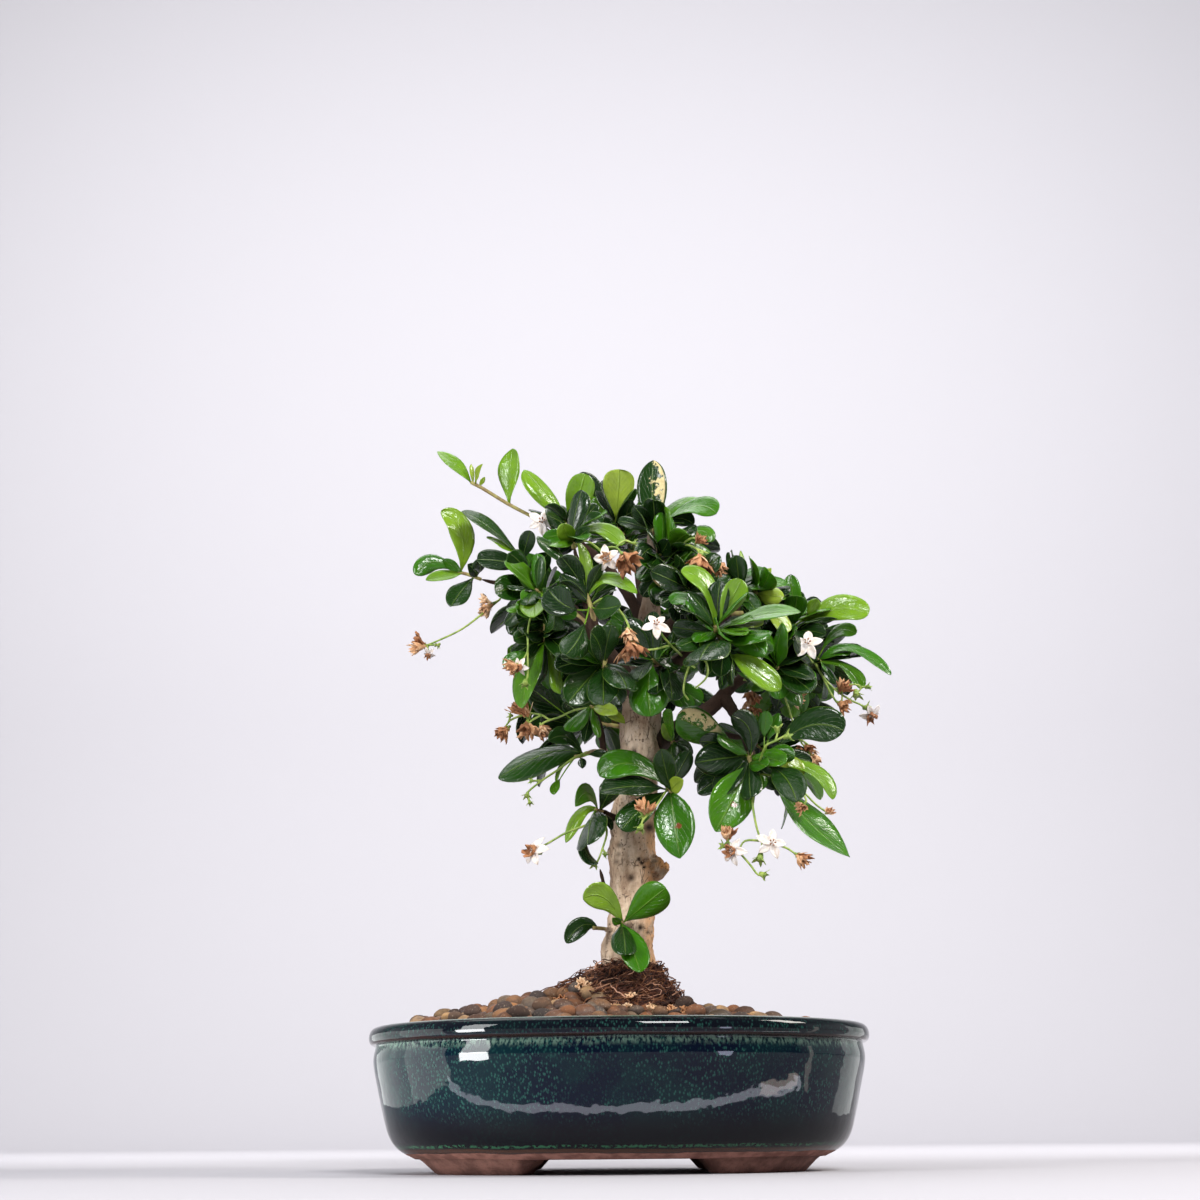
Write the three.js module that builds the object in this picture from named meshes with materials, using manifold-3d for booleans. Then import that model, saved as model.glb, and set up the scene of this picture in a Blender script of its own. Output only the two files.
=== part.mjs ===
import * as THREE from "three";
import { mergeVertices } from "three/addons/utils/BufferGeometryUtils.js";
import Module from "manifold-3d";

// A fukien tea bonsai in its oval glazed pot, at life size in millimetres.
// +Z is up and the front is towards -Y. The tables below have their origin on
// the surface that the feet stand on, under the middle of the pot.

const wasm = await Module();
wasm.setup();

// Driving dimensions of the pot
const POT_SIDES = 32;
const POT_SQUARENESS = 2.15; // 2 is an ellipse, more is squarer
const POT_NARROWER = 20; // the half depth is this much less than the half width
const FOOT_HEIGHT = 5.5;
const FLOOR_TOP = 12.5;
const DRAIN_X = 42;
const DRAIN_RADIUS = 8;
const DRAIN_SIDES = 12;
const LEAST_DEPTH = 0.7; // of half depth to half width, near the middle
const CLEARANCE = 0.3; // between pieces that rest against each other

// Height and half width of the pot's wall, from the underside, up the outside,
// over the lip and down the inside to the floor
const POT_WALL = [
  [FOOT_HEIGHT, 80.5],
  [8.6, 86.4],
  [12, 89.7],
  [17, 92],
  [34, 96.1],
  [43, 97.7],
  [48.4, 96.9],
  [49, 98.9],
  [51.5, 99.7],
  [54.2, 98.8],
  [55.5, 96.4],
  [55.2, 93.6],
  [53.4, 92.2],
  [40, 90],
  [20, 86.5],
  [FLOOR_TOP, 78],
];

// A foot's turns along the oval, the half widths of its top and its sole from
// the outside in, and the height of its cut ends
const FOOT_TURNS = [15, 20, 35, 50, 62.5, 66.5];
const FOOT_TOP = [81.8, 65.5];
const FOOT_SOLE = [75.5, 67.5];
const FOOT_END = 4.6;

// The soil's heights and half widths inside the pot, up to its domed top
const SOIL_WALL = [
  [FLOOR_TOP, 77.4],
  [22, 86.2],
  [48.5, 91],
];
const SOIL_TOP = [
  [51, 78],
  [55, 56],
  [59, 34],
  [60, 16],
];

// The drain screens, over the holes in the floor
const SCREEN_SIDE = 24;
const SCREEN_THICK = 1;
const SCREEN_HOLE = 6;
const SCREEN_PITCH = 9;

// The pebble layer is a honeycomb of bumps
const PEBBLE_SPACING = 7.8;
const PEBBLE_BUMP = 4.8;
const PEBBLE_BED = 1.6; // the lowest part between two pebbles, over the soil
const BUMP_SHARES = [0.85, 1.2]; // of the bump, from the flattest pebble to the highest
const HOLLOW_ROUGH = 0.5;
const TOP_SHIFT = 0.25; // of the spacing, off the honeycomb
const HOLLOW_SHIFT = 0.12;

const PEBBLE_WALL = [
  [45, 90.4],
  [80, 91.4],
];

// The mound of roots and coir: height, radius and the middle's X
const MOUND = [
  [52, 30, -2],
  [63, 28.5, -2.5],
  [67.5, 26.5, -2.5],
  [72, 20.5, 0.5],
  [76, 15.5, 3],
  [79.5, 12.8, 4.4],
];
const MOUND_SIDES = 12;
const MOUND_ROUGH = 0.08;
const MOUND_LIFT = 1.6;
const WISPS = [
  [[-8, -8, 74], [-13, -12, 79], [-16, -13, 78], [-15, -12, 71]],
  [[16, -6, 74], [20, -9, 77], [25, -9, 73], [24, -8, 67]],
  [[2, -12, 74], [5, -19, 72], [11, -22, 68], [16, -21, 62]],
  [[-4, 12, 74], [-10, 18, 74], [-15, 20, 67]],
];
const WISP_RADIUS = 0.55;

// The eye that the front view is drawn from. A place in the crown is written
// [x, y, z]: x and z as it is seen from there in the plane y = 0, and y how
// far behind that plane it really lies.
const EYE = new THREE.Vector3(-6, -750, 15);

// Trunk: places with the radius there
const TRUNK = [
  [3, 0, 40, 9],
  [3.5, 0, 66, 11.6],
  [4, 0, 80, 11.2],
  [4, 0, 86, 10.4],
  [5.5, 0, 98.5, 9.5],
  [6.5, 0, 109.5, 9.3],
  [6.5, 0, 119.5, 9.8],
  [6.5, 0, 129.5, 9.5],
  [8, 0, 147.5, 8.8],
  [10, 0, 162.5, 8.7],
  [11, 0, 188, 8.2],
  [12.5, 1, 199, 7.2],
  [14, 2, 216.5, 5.6],
  [16, 0, 234, 4],
  [17.5, -4, 248.5, 2.6],
  [16, -6, 263, 1.5],
];

// Branches: radius at the root, radius at the end, and the way they grow
const BRANCHES = [
  [4, 0.9, [[11, 0, 188], [0, -6, 207], [-16, -8, 223], [-31, -4, 235], [-46, 0, 241], [-57, 0, 244]]],
  [3.2, 1.1, [[12, 1, 194], [-2, 30, 211], [-16, 48, 229], [-27, 52, 243]]],
  [
    3.4,
    1.3,
    [[12, 0, 188], [4, -26, 200], [-4, -42, 209], [-8, -50, 220], [-14, -47, 244], [-17, -43, 258]],
  ],
  [2.6, 0.9, [[14, 2, 223], [-1, 4, 247], [-16, 2, 261], [-30, 0, 269]]],
  [2.8, 1, [[14, 2, 216], [11, 34, 243], [8, 44, 263]]],
  [4.4, 1.2, [[15, 0, 171], [31, 10, 180], [42, 12, 188], [52, 10, 198], [68, 6, 205], [84, 2, 209]]],
  [3.2, 1.2, [[13, 0, 194], [24, -28, 204], [35, -44, 213], [45, -50, 219]]],
  [2.8, 1, [[14, 2, 214], [32, -6, 229], [46, -12, 237], [58, -14, 238]]],
  [3, 1.1, [[13, 1, 199], [28, 34, 212], [46, 52, 225], [59, 56, 234]]],
  [3, 1.2, [[13, 1, 203], [15, 40, 222], [17, 60, 234]]],
  [2.4, 1.5, [[46, 12, 191], [53, 2, 179], [56, -10, 169], [59, -16, 160]]],
  [2, 1, [[31, 10, 180], [45, 38, 175], [56, 46, 173]]],
  [1.7, 1.1, [[6, 0, 157], [-3, -3, 162], [-6, -6, 176], [-8, -8, 186]]],
  [1.2, 0.9, [[-4, -4, 168], [-8, -6, 168], [-12, -8, 168]]],
  [1.6, 1.1, [[5, 0, 138], [-3, -6, 141], [-6, -8, 143]]],
  [1.7, 1.2, [[11, -3, 166], [17, -12, 158], [22, -16, 153]]],
  [2, 1, [[10, 2, 160], [5, 30, 174], [1, 42, 181]]],
  [1.6, 1.2, [[6, -4, 96], [4, -10, 96], [2, -13, 96]]],
  [1.2, 0.8, [[2, -4, 93], [-3, -7, 94], [-6, -8, 95]]],
  [0.9, 0.6, [[1, 0, 108], [-5, -2, 112], [-6, -3, 115], [-7, -3, 119]]],
  [5.6, 3.2, [[9, -1, 119], [16, -2, 118], [19, -2, 115]]],
  [3, 2.2, [[12, -2, 123], [16, -3, 121]]],
];
const TRUNK_SIDES = 10;
const BRANCH_SIDES = 4;
const TWIG_SIDES = 3;
const TWIG_RADIUS = 1.3;
const TWIG_TIP = 1;
const STALK_SIDES = 3;
const STALK_RADIUS = 0.8;
const SEATED = 0.85; // a twig's root is this share of the branch it grows from

const AXIS_STEP = 2; // between the places that a stem may grow from
const SEAT_STEP = 1.2; // between the places that a leaf may grow from
const SEAT_SPACE = 1.2;
const SHARED_SEAT = 6; // how much further a leaf goes for a place of its own

// Leaf blades: how far along and the share of the width there, up to the tip
const BLADE_OUTLINE = [
  [0, 0],
  [0.56, 0.94],
  [0.88, 0.9],
  [1, 0],
];
const BLADE_MIDDLE = 0.72;
const SMALL_WIDTH = 7; // a blade narrower than this has four corners
const SMALL_OUTLINE = [
  [0, 0],
  [0.6, 1],
  [1, 0],
];
const BLADE_SUNK = 0.8; // a blade starts this far behind the stem's axis
// How much detail is left out of a solid, from the best choice to none
const SMOOTH = [0.2, 0.16, 0.12, 0.1, 0.08, 0.06, 0.05, 0.04, 0.03, 0.02, 0];
const RESTING_SMOOTH = 0.1; // the most left out of the pot and what fills it
const LEAST_KEPT = 0.96; // of a solid's volume, when detail is left out
const WELD = 0.001; // corners nearer than this are one
const BLADE_THICK = 0.65;
const BLADE_RATIO = 0.46; // width to length of a blade seen square on
const BLADE_FOLD = 0.22; // how far the edges stand up from the rib
const BLADE_ARCH = 0.1;
const MOST_LENGTH = 24; // of a blade that points at the eye
const MOST_TOWARDS = 17; // how far its tip comes forward
const MOST_TURN = 1.1; // radians that a narrow blade turns to the sky
const PETIOLE_FROM = 2.5; // a leaf this far from its twig has a petiole

// Blades of different sprays keep this far apart, by bending to and fro
const BLADE_SPACE = 2.4;
const OWN_SPACE = 1.8; // between the outer parts of one spray's blades
const STEM_SPACE = 1.4;
const ROOT_SPACE = 1.5;
const BEND_STEP = 4;
const BEND_TRIES = 5;
const CELL = 12;
const ROOM_STEPS = 10; // places along a blade that are tried for room
const FIRST_STEP = 2;
const OUTER_FROM = 0.35; // the share of a blade's length where its outer part starts
const STEEP = 0.9; // how upright a stem is whose first side is turned to +X

// Tones of the leaves
const DARK = 0;
const MID = 1;
const LIGHT = 2;
const YOUNG = 3;

// Kinds of flower head
const STAR = "star";
const CREAM = "cream";
const HUSK = "husk";
const CUP = "cup";

// Their rings, as rise and reach to the head's radius, how deep the notches
// between petals are, if any, and how much they look towards the eye
const HEAD_SHAPES = {
  star: { rings: [[-0.15, 0.92], [0, 1]], notch: 0.45, towards: 8 },
  cream: { rings: [[-0.3, 1], [-0.1, 0.95]], notch: 0.5, towards: 6 },
  husk: { rings: [[-0.8, 0.25], [0, 0.6], [0.8, 0.95]], notch: 0, towards: 3 },
  cup: { rings: [[-0.9, 0.4], [0.9, 0.95]], notch: 0, towards: 3 },
};
const PETALS = 5;
const HEAD_ROOM = 0.7;

// Leafy sprays seen from the front. A leaf is written
// [base x, base z, tip x, tip z, width, tone, middle x, middle z] in the plane
// y = 0 of the front view, and starts from the nearest place on a twig. The
// lean is how far in front of its base a tip lies.
const SPRAYS = {
  top_left_tip: {
    lean: -2,
    twigs: [
      [[-29.5, 0, 269], [-35.5, 1, 272.5], [-46, 2, 278.5], [-57.5, 2, 286], [-62, 2, 288.5]],
    ],
    leaves: [
      [-62, 289, -77, 303, 5.5, LIGHT],
      [-45, 279, -44, 304, 9, LIGHT],
      [-58, 287, -56, 291, 2, YOUNG],
      [-61, 290, -62, 297, 2, YOUNG],
      [-60, 288, -57, 297, 2, YOUNG],
    ],
  },
  left_tip: {
    lean: -4,
    twigs: [
      [[-57, 0, 244], [-62, -1, 246], [-67, -2, 247.5]],
    ],
    leaves: [
      [-66, 249, -75, 275, 10.5, LIGHT, -66, 266],
      [-67, 247, -85, 246, 8, MID, -78, 252],
      [-67, 245, -81, 244, 4.5, LIGHT],
      [-67, 249, -74, 253, 4.5, MID],
      [-55, 245, -63, 251, 6, DARK],
      [-57, 243, -70, 232, 8.5, DARK, -65, 238],
      [-53, 244, -59, 253, 7, DARK],
    ],
  },
  left_upper: {
    lean: -4,
    twigs: [
      [[-32, -4, 234.5], [-36, -8, 245.5], [-40.5, -8, 254.5]],
    ],
    leaves: [
      [-41, 256, -66, 275, 5, DARK, -54, 268],
      [-42, 256, -55, 263, 3, LIGHT],
      [-38, 250, -59, 253, 8.5, DARK],
      [-33, 242, -51, 238, 11.5, DARK],
      [-33, 243, -44, 248, 4, MID],
      [-36, 248, -45, 256, 8, DARK],
      [-35, 246, -28, 256, 8, DARK],
      [-40, 253, -36, 266, 7, DARK],
    ],
  },
  left_lower: {
    lean: -6,
    twigs: [
      [[-29.5, -6, 233], [-31.5, -16, 236.5], [-33.5, -22, 239]],
      [[-30.5, -4, 233.5], [-29.5, -16, 224], [-29.5, -22, 216]],
    ],
    leaves: [
      [-32, 239, -34, 227, 10.5, LIGHT],
      [-34, 235, -47, 224, 6.5, DARK],
      [-34, 233, -46, 232, 6, DARK],
      [-31, 235, -40, 235, 6, MID],
      [-30, 233, -28, 222, 8.5, DARK],
      [-39, 215, -46, 204, 7, MID],
      [-29, 216, -39, 187, 9.5, MID, -36, 203],
      [-29, 215, -36, 204, 4, LIGHT],
      [-28, 212, -23, 193, 5, LIGHT],
      [-30, 221, -43, 217, 7.5, DARK],
      [-28, 217, -18, 207, 9.5, DARK],
      [-29, 223, -25, 234, 8.5, DARK],
      [-30, 220, -37, 212, 7, DARK],
    ],
  },
  top_left_mid: {
    lean: -4,
    twigs: [
      [[-16, 2, 261], [-19, 0, 265], [-20, -2, 269.5]],
    ],
    leaves: [
      [-21, 270, -39, 294, 8.5, LIGHT],
      [-23, 269, -36, 287, 6, DARK],
      [-18, 270, -12, 292, 12, LIGHT],
      [-16, 265, -7, 278, 7, DARK],
      [-21, 266, -29, 273, 6, DARK],
      [-17, 262, -4, 273, 7, DARK],
    ],
  },
  front_top: {
    lean: -4,
    twigs: [
      [[-17, -43, 257.5], [-17.5, -45, 260], [-18, -48, 262]],
    ],
    leaves: [
      [-18, 257, -22, 269, 7.5, LIGHT],
      [-16, 260, -10, 267, 5, DARK],
      [-15, 259, 4, 259, 5, LIGHT, -6, 266],
      [-18, 259, -31, 261, 6, MID, -25, 263],
    ],
  },
  front_stem: {
    lean: -4,
    twigs: [
      [[-7.5, -50, 219], [-9.5, -52, 229], [-12, -52, 238]],
    ],
    leaves: [
      [-11, 239, -15, 260, 5, LIGHT],
      [-17, 243, -33, 261, 4, DARK, -25, 257],
      [-10, 238, 10, 237, 5, LIGHT, -3, 244],
      [-13, 217, -28, 239, 13, DARK],
      [-9, 225, 3, 232, 7.5, DARK],
      [-10, 234, -23, 246, 8.5, DARK],
      [-8, 218, -21, 210, 10, DARK],
    ],
  },
  crown_top: {
    lean: 0,
    twigs: [
      [[9.5, 36, 253], [5.5, 26, 261.5], [1, 18, 268.5]],
    ],
    leaves: [
      [2, 273, 3, 294, 14, YOUNG],
      [0, 270, -7, 284, 5, DARK],
      [2, 268, -4, 289, 7, DARK],
      [5, 265, 17, 274, 7, DARK, 12, 274],
      [2, 266, -8, 270, 7, DARK],
      [4, 266, 8, 280, 8, DARK],
      [0, 271, -12, 280, 6, MID],
    ],
  },
  top_right: {
    lean: -3,
    twigs: [
      [[16, -6, 262], [17, -8, 264.5], [18, -9, 266.5]],
    ],
    leaves: [
      [17, 267, 18, 298, 13, DARK],
      [19, 267, 39, 277, 6, MID, 29, 278],
      [22, 261, 45, 273, 5, MID, 35, 275],
      [18, 262, 35, 268, 7, DARK, 27, 270],
      [16, 263, 2, 270, 5, DARK, 8, 268],
      [17, 266, 9, 277, 7, DARK],
    ],
  },
  top_right_low: {
    lean: -5,
    twigs: [
      [[17, -6, 251], [21, -14, 255], [24, -16, 257]],
    ],
    leaves: [
      [25, 257, 42, 260, 6, MID, 37, 265],
      [23, 252, 35, 259, 4, DARK],
      [21, 251, 24, 261, 6.5, DARK],
      [23, 255, 35, 250, 7, DARK],
      [20, 252, 11, 252, 8, DARK, 16, 257],
      [21, 254, 11, 243, 8, DARK],
      [24, 256, 42, 252, 6, MID, 34, 257],
    ],
  },
  centre_high: {
    lean: -6,
    twigs: [
      [[20, -8, 247.5], [25, -24, 241], [32.5, -34, 238.5]],
    ],
    leaves: [
      [33, 238, 16, 247, 10.5, DARK],
      [31, 238, 20, 232, 8.5, DARK],
      [33, 238, 45, 245, 7.5, DARK],
      [28, 239, 33, 252, 8, DARK],
      [26, 241, 18, 234, 7.5, DARK],
      [32, 237, 37, 229, 8.5, DARK],
    ],
  },
  centre_front: {
    lean: -3,
    twigs: [
      [[43.5, -50, 218], [43.5, -56, 220.5], [43, -58, 222.5]],
      [[44.5, -50, 218], [46, -56, 215], [49, -56, 210.5]],
    ],
    leaves: [
      [43, 222, 32, 238, 7, DARK],
      [44, 223, 29, 247, 7, LIGHT, 40, 240],
      [42, 221, 24, 233, 5.5, MID, 33, 233],
      [42, 219, 25, 222, 7.5, DARK],
      [39, 216, 27, 213, 6, DARK],
      [46, 225, 55, 243, 9.5, LIGHT],
      [46, 221, 80, 228, 5, MID, 62, 227],
      [46, 220, 64, 224, 4.5, YOUNG],
      [46, 216, 64, 209, 9.5, MID, 56, 216],
      [50, 208, 70, 194, 9.5, LIGHT],
      [46, 213, 45, 200, 8.5, DARK],
      [46, 216, 36, 207, 8.5, DARK],
      [48, 211, 39, 200, 7.5, DARK],
      [47, 213, 56, 202, 7, DARK],
    ],
  },
  centre_low: {
    lean: -5,
    twigs: [
      [[24, -28, 203], [20, -38, 205.5], [16, -44, 207.5]],
    ],
    leaves: [
      [27, 204, 12, 198, 7, LIGHT],
      [11, 208, 15, 183, 16, MID],
      [36, 210, 17, 208, 10, DARK],
      [21, 206, 24, 190, 8.5, DARK],
      [16, 208, 17, 229, 8.5, DARK],
      [14, 209, 4, 224, 8.5, DARK],
      [19, 208, 32, 220, 7.5, DARK],
    ],
  },
  centre_left_low: {
    lean: -5,
    twigs: [
      [[-4, -42, 207.5], [-4.5, -46, 206], [-5.5, -48, 204]],
    ],
    leaves: [
      [-6, 207, -20, 189, 13.5, DARK],
      [-3, 204, -5, 188, 12.5, DARK],
      [-8, 210, -25, 204, 9.5, DARK],
      [-2, 208, 5, 195, 10, DARK],
      [-4, 209, -10, 220, 8.5, DARK],
      [-6, 208, -1, 223, 8.5, DARK],
      [-7, 206, -15, 217, 7.5, DARK],
    ],
  },
  right_top_inner: {
    lean: -3,
    twigs: [
      [[46.5, -12, 237.5], [51, -20, 238.5], [55, -24, 238]],
    ],
    leaves: [
      [54, 238, 53, 254, 8.5, DARK],
      [58, 240, 55, 256, 2.5, LIGHT],
      [50, 239, 42, 251, 7, DARK],
      [49, 237, 37, 239, 7, DARK],
      [55, 237, 61, 228, 7, DARK],
      [46, 238, 39, 255, 4.5, MID],
    ],
  },
  right_top_outer: {
    lean: -4,
    twigs: [
      [[58, -14, 238], [60, -18, 237.5], [62, -20, 236.5]],
    ],
    leaves: [
      [61, 238, 68, 248, 4.5, YOUNG],
      [60, 235, 73, 235, 7.5, YOUNG],
      [63, 231, 74, 219, 6.5, YOUNG, 69, 226],
      [62, 235, 67, 228, 6, DARK],
      [59, 237, 65, 247, 5, DARK],
    ],
  },
  right_upper: {
    lean: -3,
    twigs: [
      [[69.5, 6, 205.5], [74, -2, 215], [77.5, -6, 225.5]],
    ],
    leaves: [
      [77, 228, 76, 245, 7.5, MID],
      [76, 226, 68, 241, 5, DARK],
      [79, 226, 81, 237, 4.5, DARK],
      [79, 225, 109, 227, 11, LIGHT, 95, 230],
      [85, 225, 87, 234, 5.5, LIGHT],
      [75, 218, 63, 219, 7.5, DARK],
      [77, 222, 90, 218, 7, DARK],
    ],
  },
  right_tip: {
    lean: -3,
    twigs: [
      [[84.5, 2, 208.5], [86, 1, 207], [87.5, 0, 206]],
    ],
    leaves: [
      [87, 212, 103, 218, 5.5, MID, 95, 220],
      [88, 209, 117, 200, 4, MID, 101, 212],
      [87, 206, 104, 194, 4.5, MID, 98, 203],
      [85, 206, 94, 196, 4.5, DARK],
      [84, 207, 77, 216, 7, DARK],
      [84, 208, 74, 202, 7.5, DARK],
    ],
  },
  right_low: {
    lean: -5,
    twigs: [
      [[68.5, 6, 204.5], [69, -10, 204], [69, -18, 203.5]],
    ],
    leaves: [
      [69, 204, 83, 193, 11, DARK],
      [68, 205, 84, 209, 8.5, DARK],
      [68, 204, 62, 192, 7.5, DARK],
      [68, 207, 65, 216, 7.5, DARK],
      [70, 204, 78, 187, 7, MID],
      [66, 207, 55, 204, 7.5, DARK],
    ],
  },
  low_left_out: {
    lean: -2,
    twigs: [
      [[-10.5, -7, 167.5], [-14, -10, 166.5], [-17, -12, 166]],
    ],
    leaves: [
      [-12, 168, -49, 157, 10.5, DARK, -28, 168],
      [-13, 169, -28, 173, 7, DARK, -20, 175],
      [-13, 168, -25, 155, 2, LIGHT, -21, 164],
      [-25, 158, -26, 150, 4, MID],
      [-10, 168, -14, 161, 3.5, DARK, -13, 165],
      [-11, 169, -2, 166, 3.5, DARK],
    ],
  },
  low_left_top: {
    lean: -3,
    twigs: [
      [[-8, -8, 185.5], [-9.5, -10, 187], [-10.5, -11, 187.5]],
    ],
    leaves: [
      [-11, 186, -20, 177, 6.5, MID],
      [-10, 185, -13, 172, 6, DARK],
      [-9, 186, -7, 174, 4, MID],
      [-8, 188, 1, 184, 6, YOUNG],
      [-6, 187, 4, 180, 4, YOUNG],
    ],
  },
  low_left_foot: {
    lean: -3,
    twigs: [
      [[-5.5, -8, 142.5], [-7, -11, 143], [-8.5, -14, 143.5]],
    ],
    leaves: [
      [-7, 144, -17, 145, 7.5, MID, -12, 151],
      [-7, 143, -21, 130, 4.5, LIGHT, -15, 143],
      [-7, 143, -12, 129, 8.5, DARK],
      [-10, 132, -8, 121, 5.5, DARK, -14, 127],
      [-6, 144, 0, 157, 8.5, DARK],
      [-5, 142, -2, 135, 3.5, DARK],
    ],
  },
  low_front: {
    lean: -5,
    twigs: [
      [[20.5, -16, 153.5], [22, -19, 152], [23, -23, 151]],
    ],
    leaves: [
      [21, 153, -7, 158, 10.5, LIGHT, 7, 163],
      [18, 152, 2, 135, 11, DARK],
      [22, 152, 26, 123, 16.5, MID],
      [23, 152, 28, 156, 6.5, YOUNG],
      [22, 153, 19, 169, 9, DARK],
      [23, 153, 31, 168, 7.5, DARK],
      [19, 154, -7, 151, 8.5, DARK],
    ],
  },
  low_right_in: {
    lean: -5,
    twigs: [
      [[56, -11, 168], [56, -18, 165.5], [56, -20, 162.5]],
    ],
    leaves: [
      [53, 175, 26, 183, 14.5, MID, 39, 178],
      [59, 165, 49, 183, 10, DARK, 57, 177],
      [56, 167, 33, 163, 14, DARK],
      [55, 159, 41, 134, 17.5, MID],
      [54, 162, 34, 150, 8.5, DARK],
      [57, 160, 56, 148, 8.5, DARK],
      [52, 173, 35, 172, 8.5, DARK],
    ],
  },
  low_right_out: {
    lean: -3,
    twigs: [
      [[59, -16, 160.5], [60.5, -18, 161.5], [62, -18, 162]],
    ],
    leaves: [
      [63, 172, 96, 176, 14.5, DARK, 79, 180],
      [60, 164, 75, 165, 7.5, MID, 67, 167],
      [62, 161, 78, 157, 6.5, YOUNG, 71, 163],
      [63, 167, 82, 163, 8.5, DARK],
      [61, 153, 75, 146, 8.5, DARK, 70, 155],
      [61, 152, 96, 123, 10, MID, 77, 138],
      [64, 161, 85, 147, 5.5, MID, 78, 157],
      [63, 163, 90, 147, 5, LIGHT, 82, 160],
      [61, 173, 64, 185, 6, MID],
      [62, 172, 69, 184, 5, MID],
      [61, 157, 67, 155, 5, DARK],
    ],
  },
  trunk_right: {
    lean: -3,
    twigs: [
      [[19, 8, 173], [22, 4, 172.5], [24.5, -2, 172]],
    ],
    leaves: [
      [24, 171, 20, 180, 5, LIGHT],
      [24, 172, 23, 163, 6.5, DARK],
      [25, 172, 31, 163, 6.5, DARK],
      [26, 173, 30, 180, 6, DARK],
      [23, 174, 24, 185, 5, MID],
    ],
  },
  sprout: {
    lean: -4,
    twigs: [
      [[2.5, -13, 96], [2, -16, 96.5], [1.5, -19, 97]],
    ],
    leaves: [
      [3, 96, -14, 107, 10.5, LIGHT, -5, 107],
      [6, 97, 20, 111, 13, MID, 12, 104],
      [2, 95, 3, 84, 10, DARK],
      [1, 96, 9, 77, 11, MID],
      [0, 96, -2, 99, 3.5, MID],
    ],
  },
  sprout_left: {
    lean: -3,
    twigs: [
      [[-5, -8, 94.5], [-7, -9, 94.8], [-10, -11, 95]],
    ],
    leaves: [
      [-6, 95, -21, 89, 7.5, DARK, -14, 96],
    ],
  },
};
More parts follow.
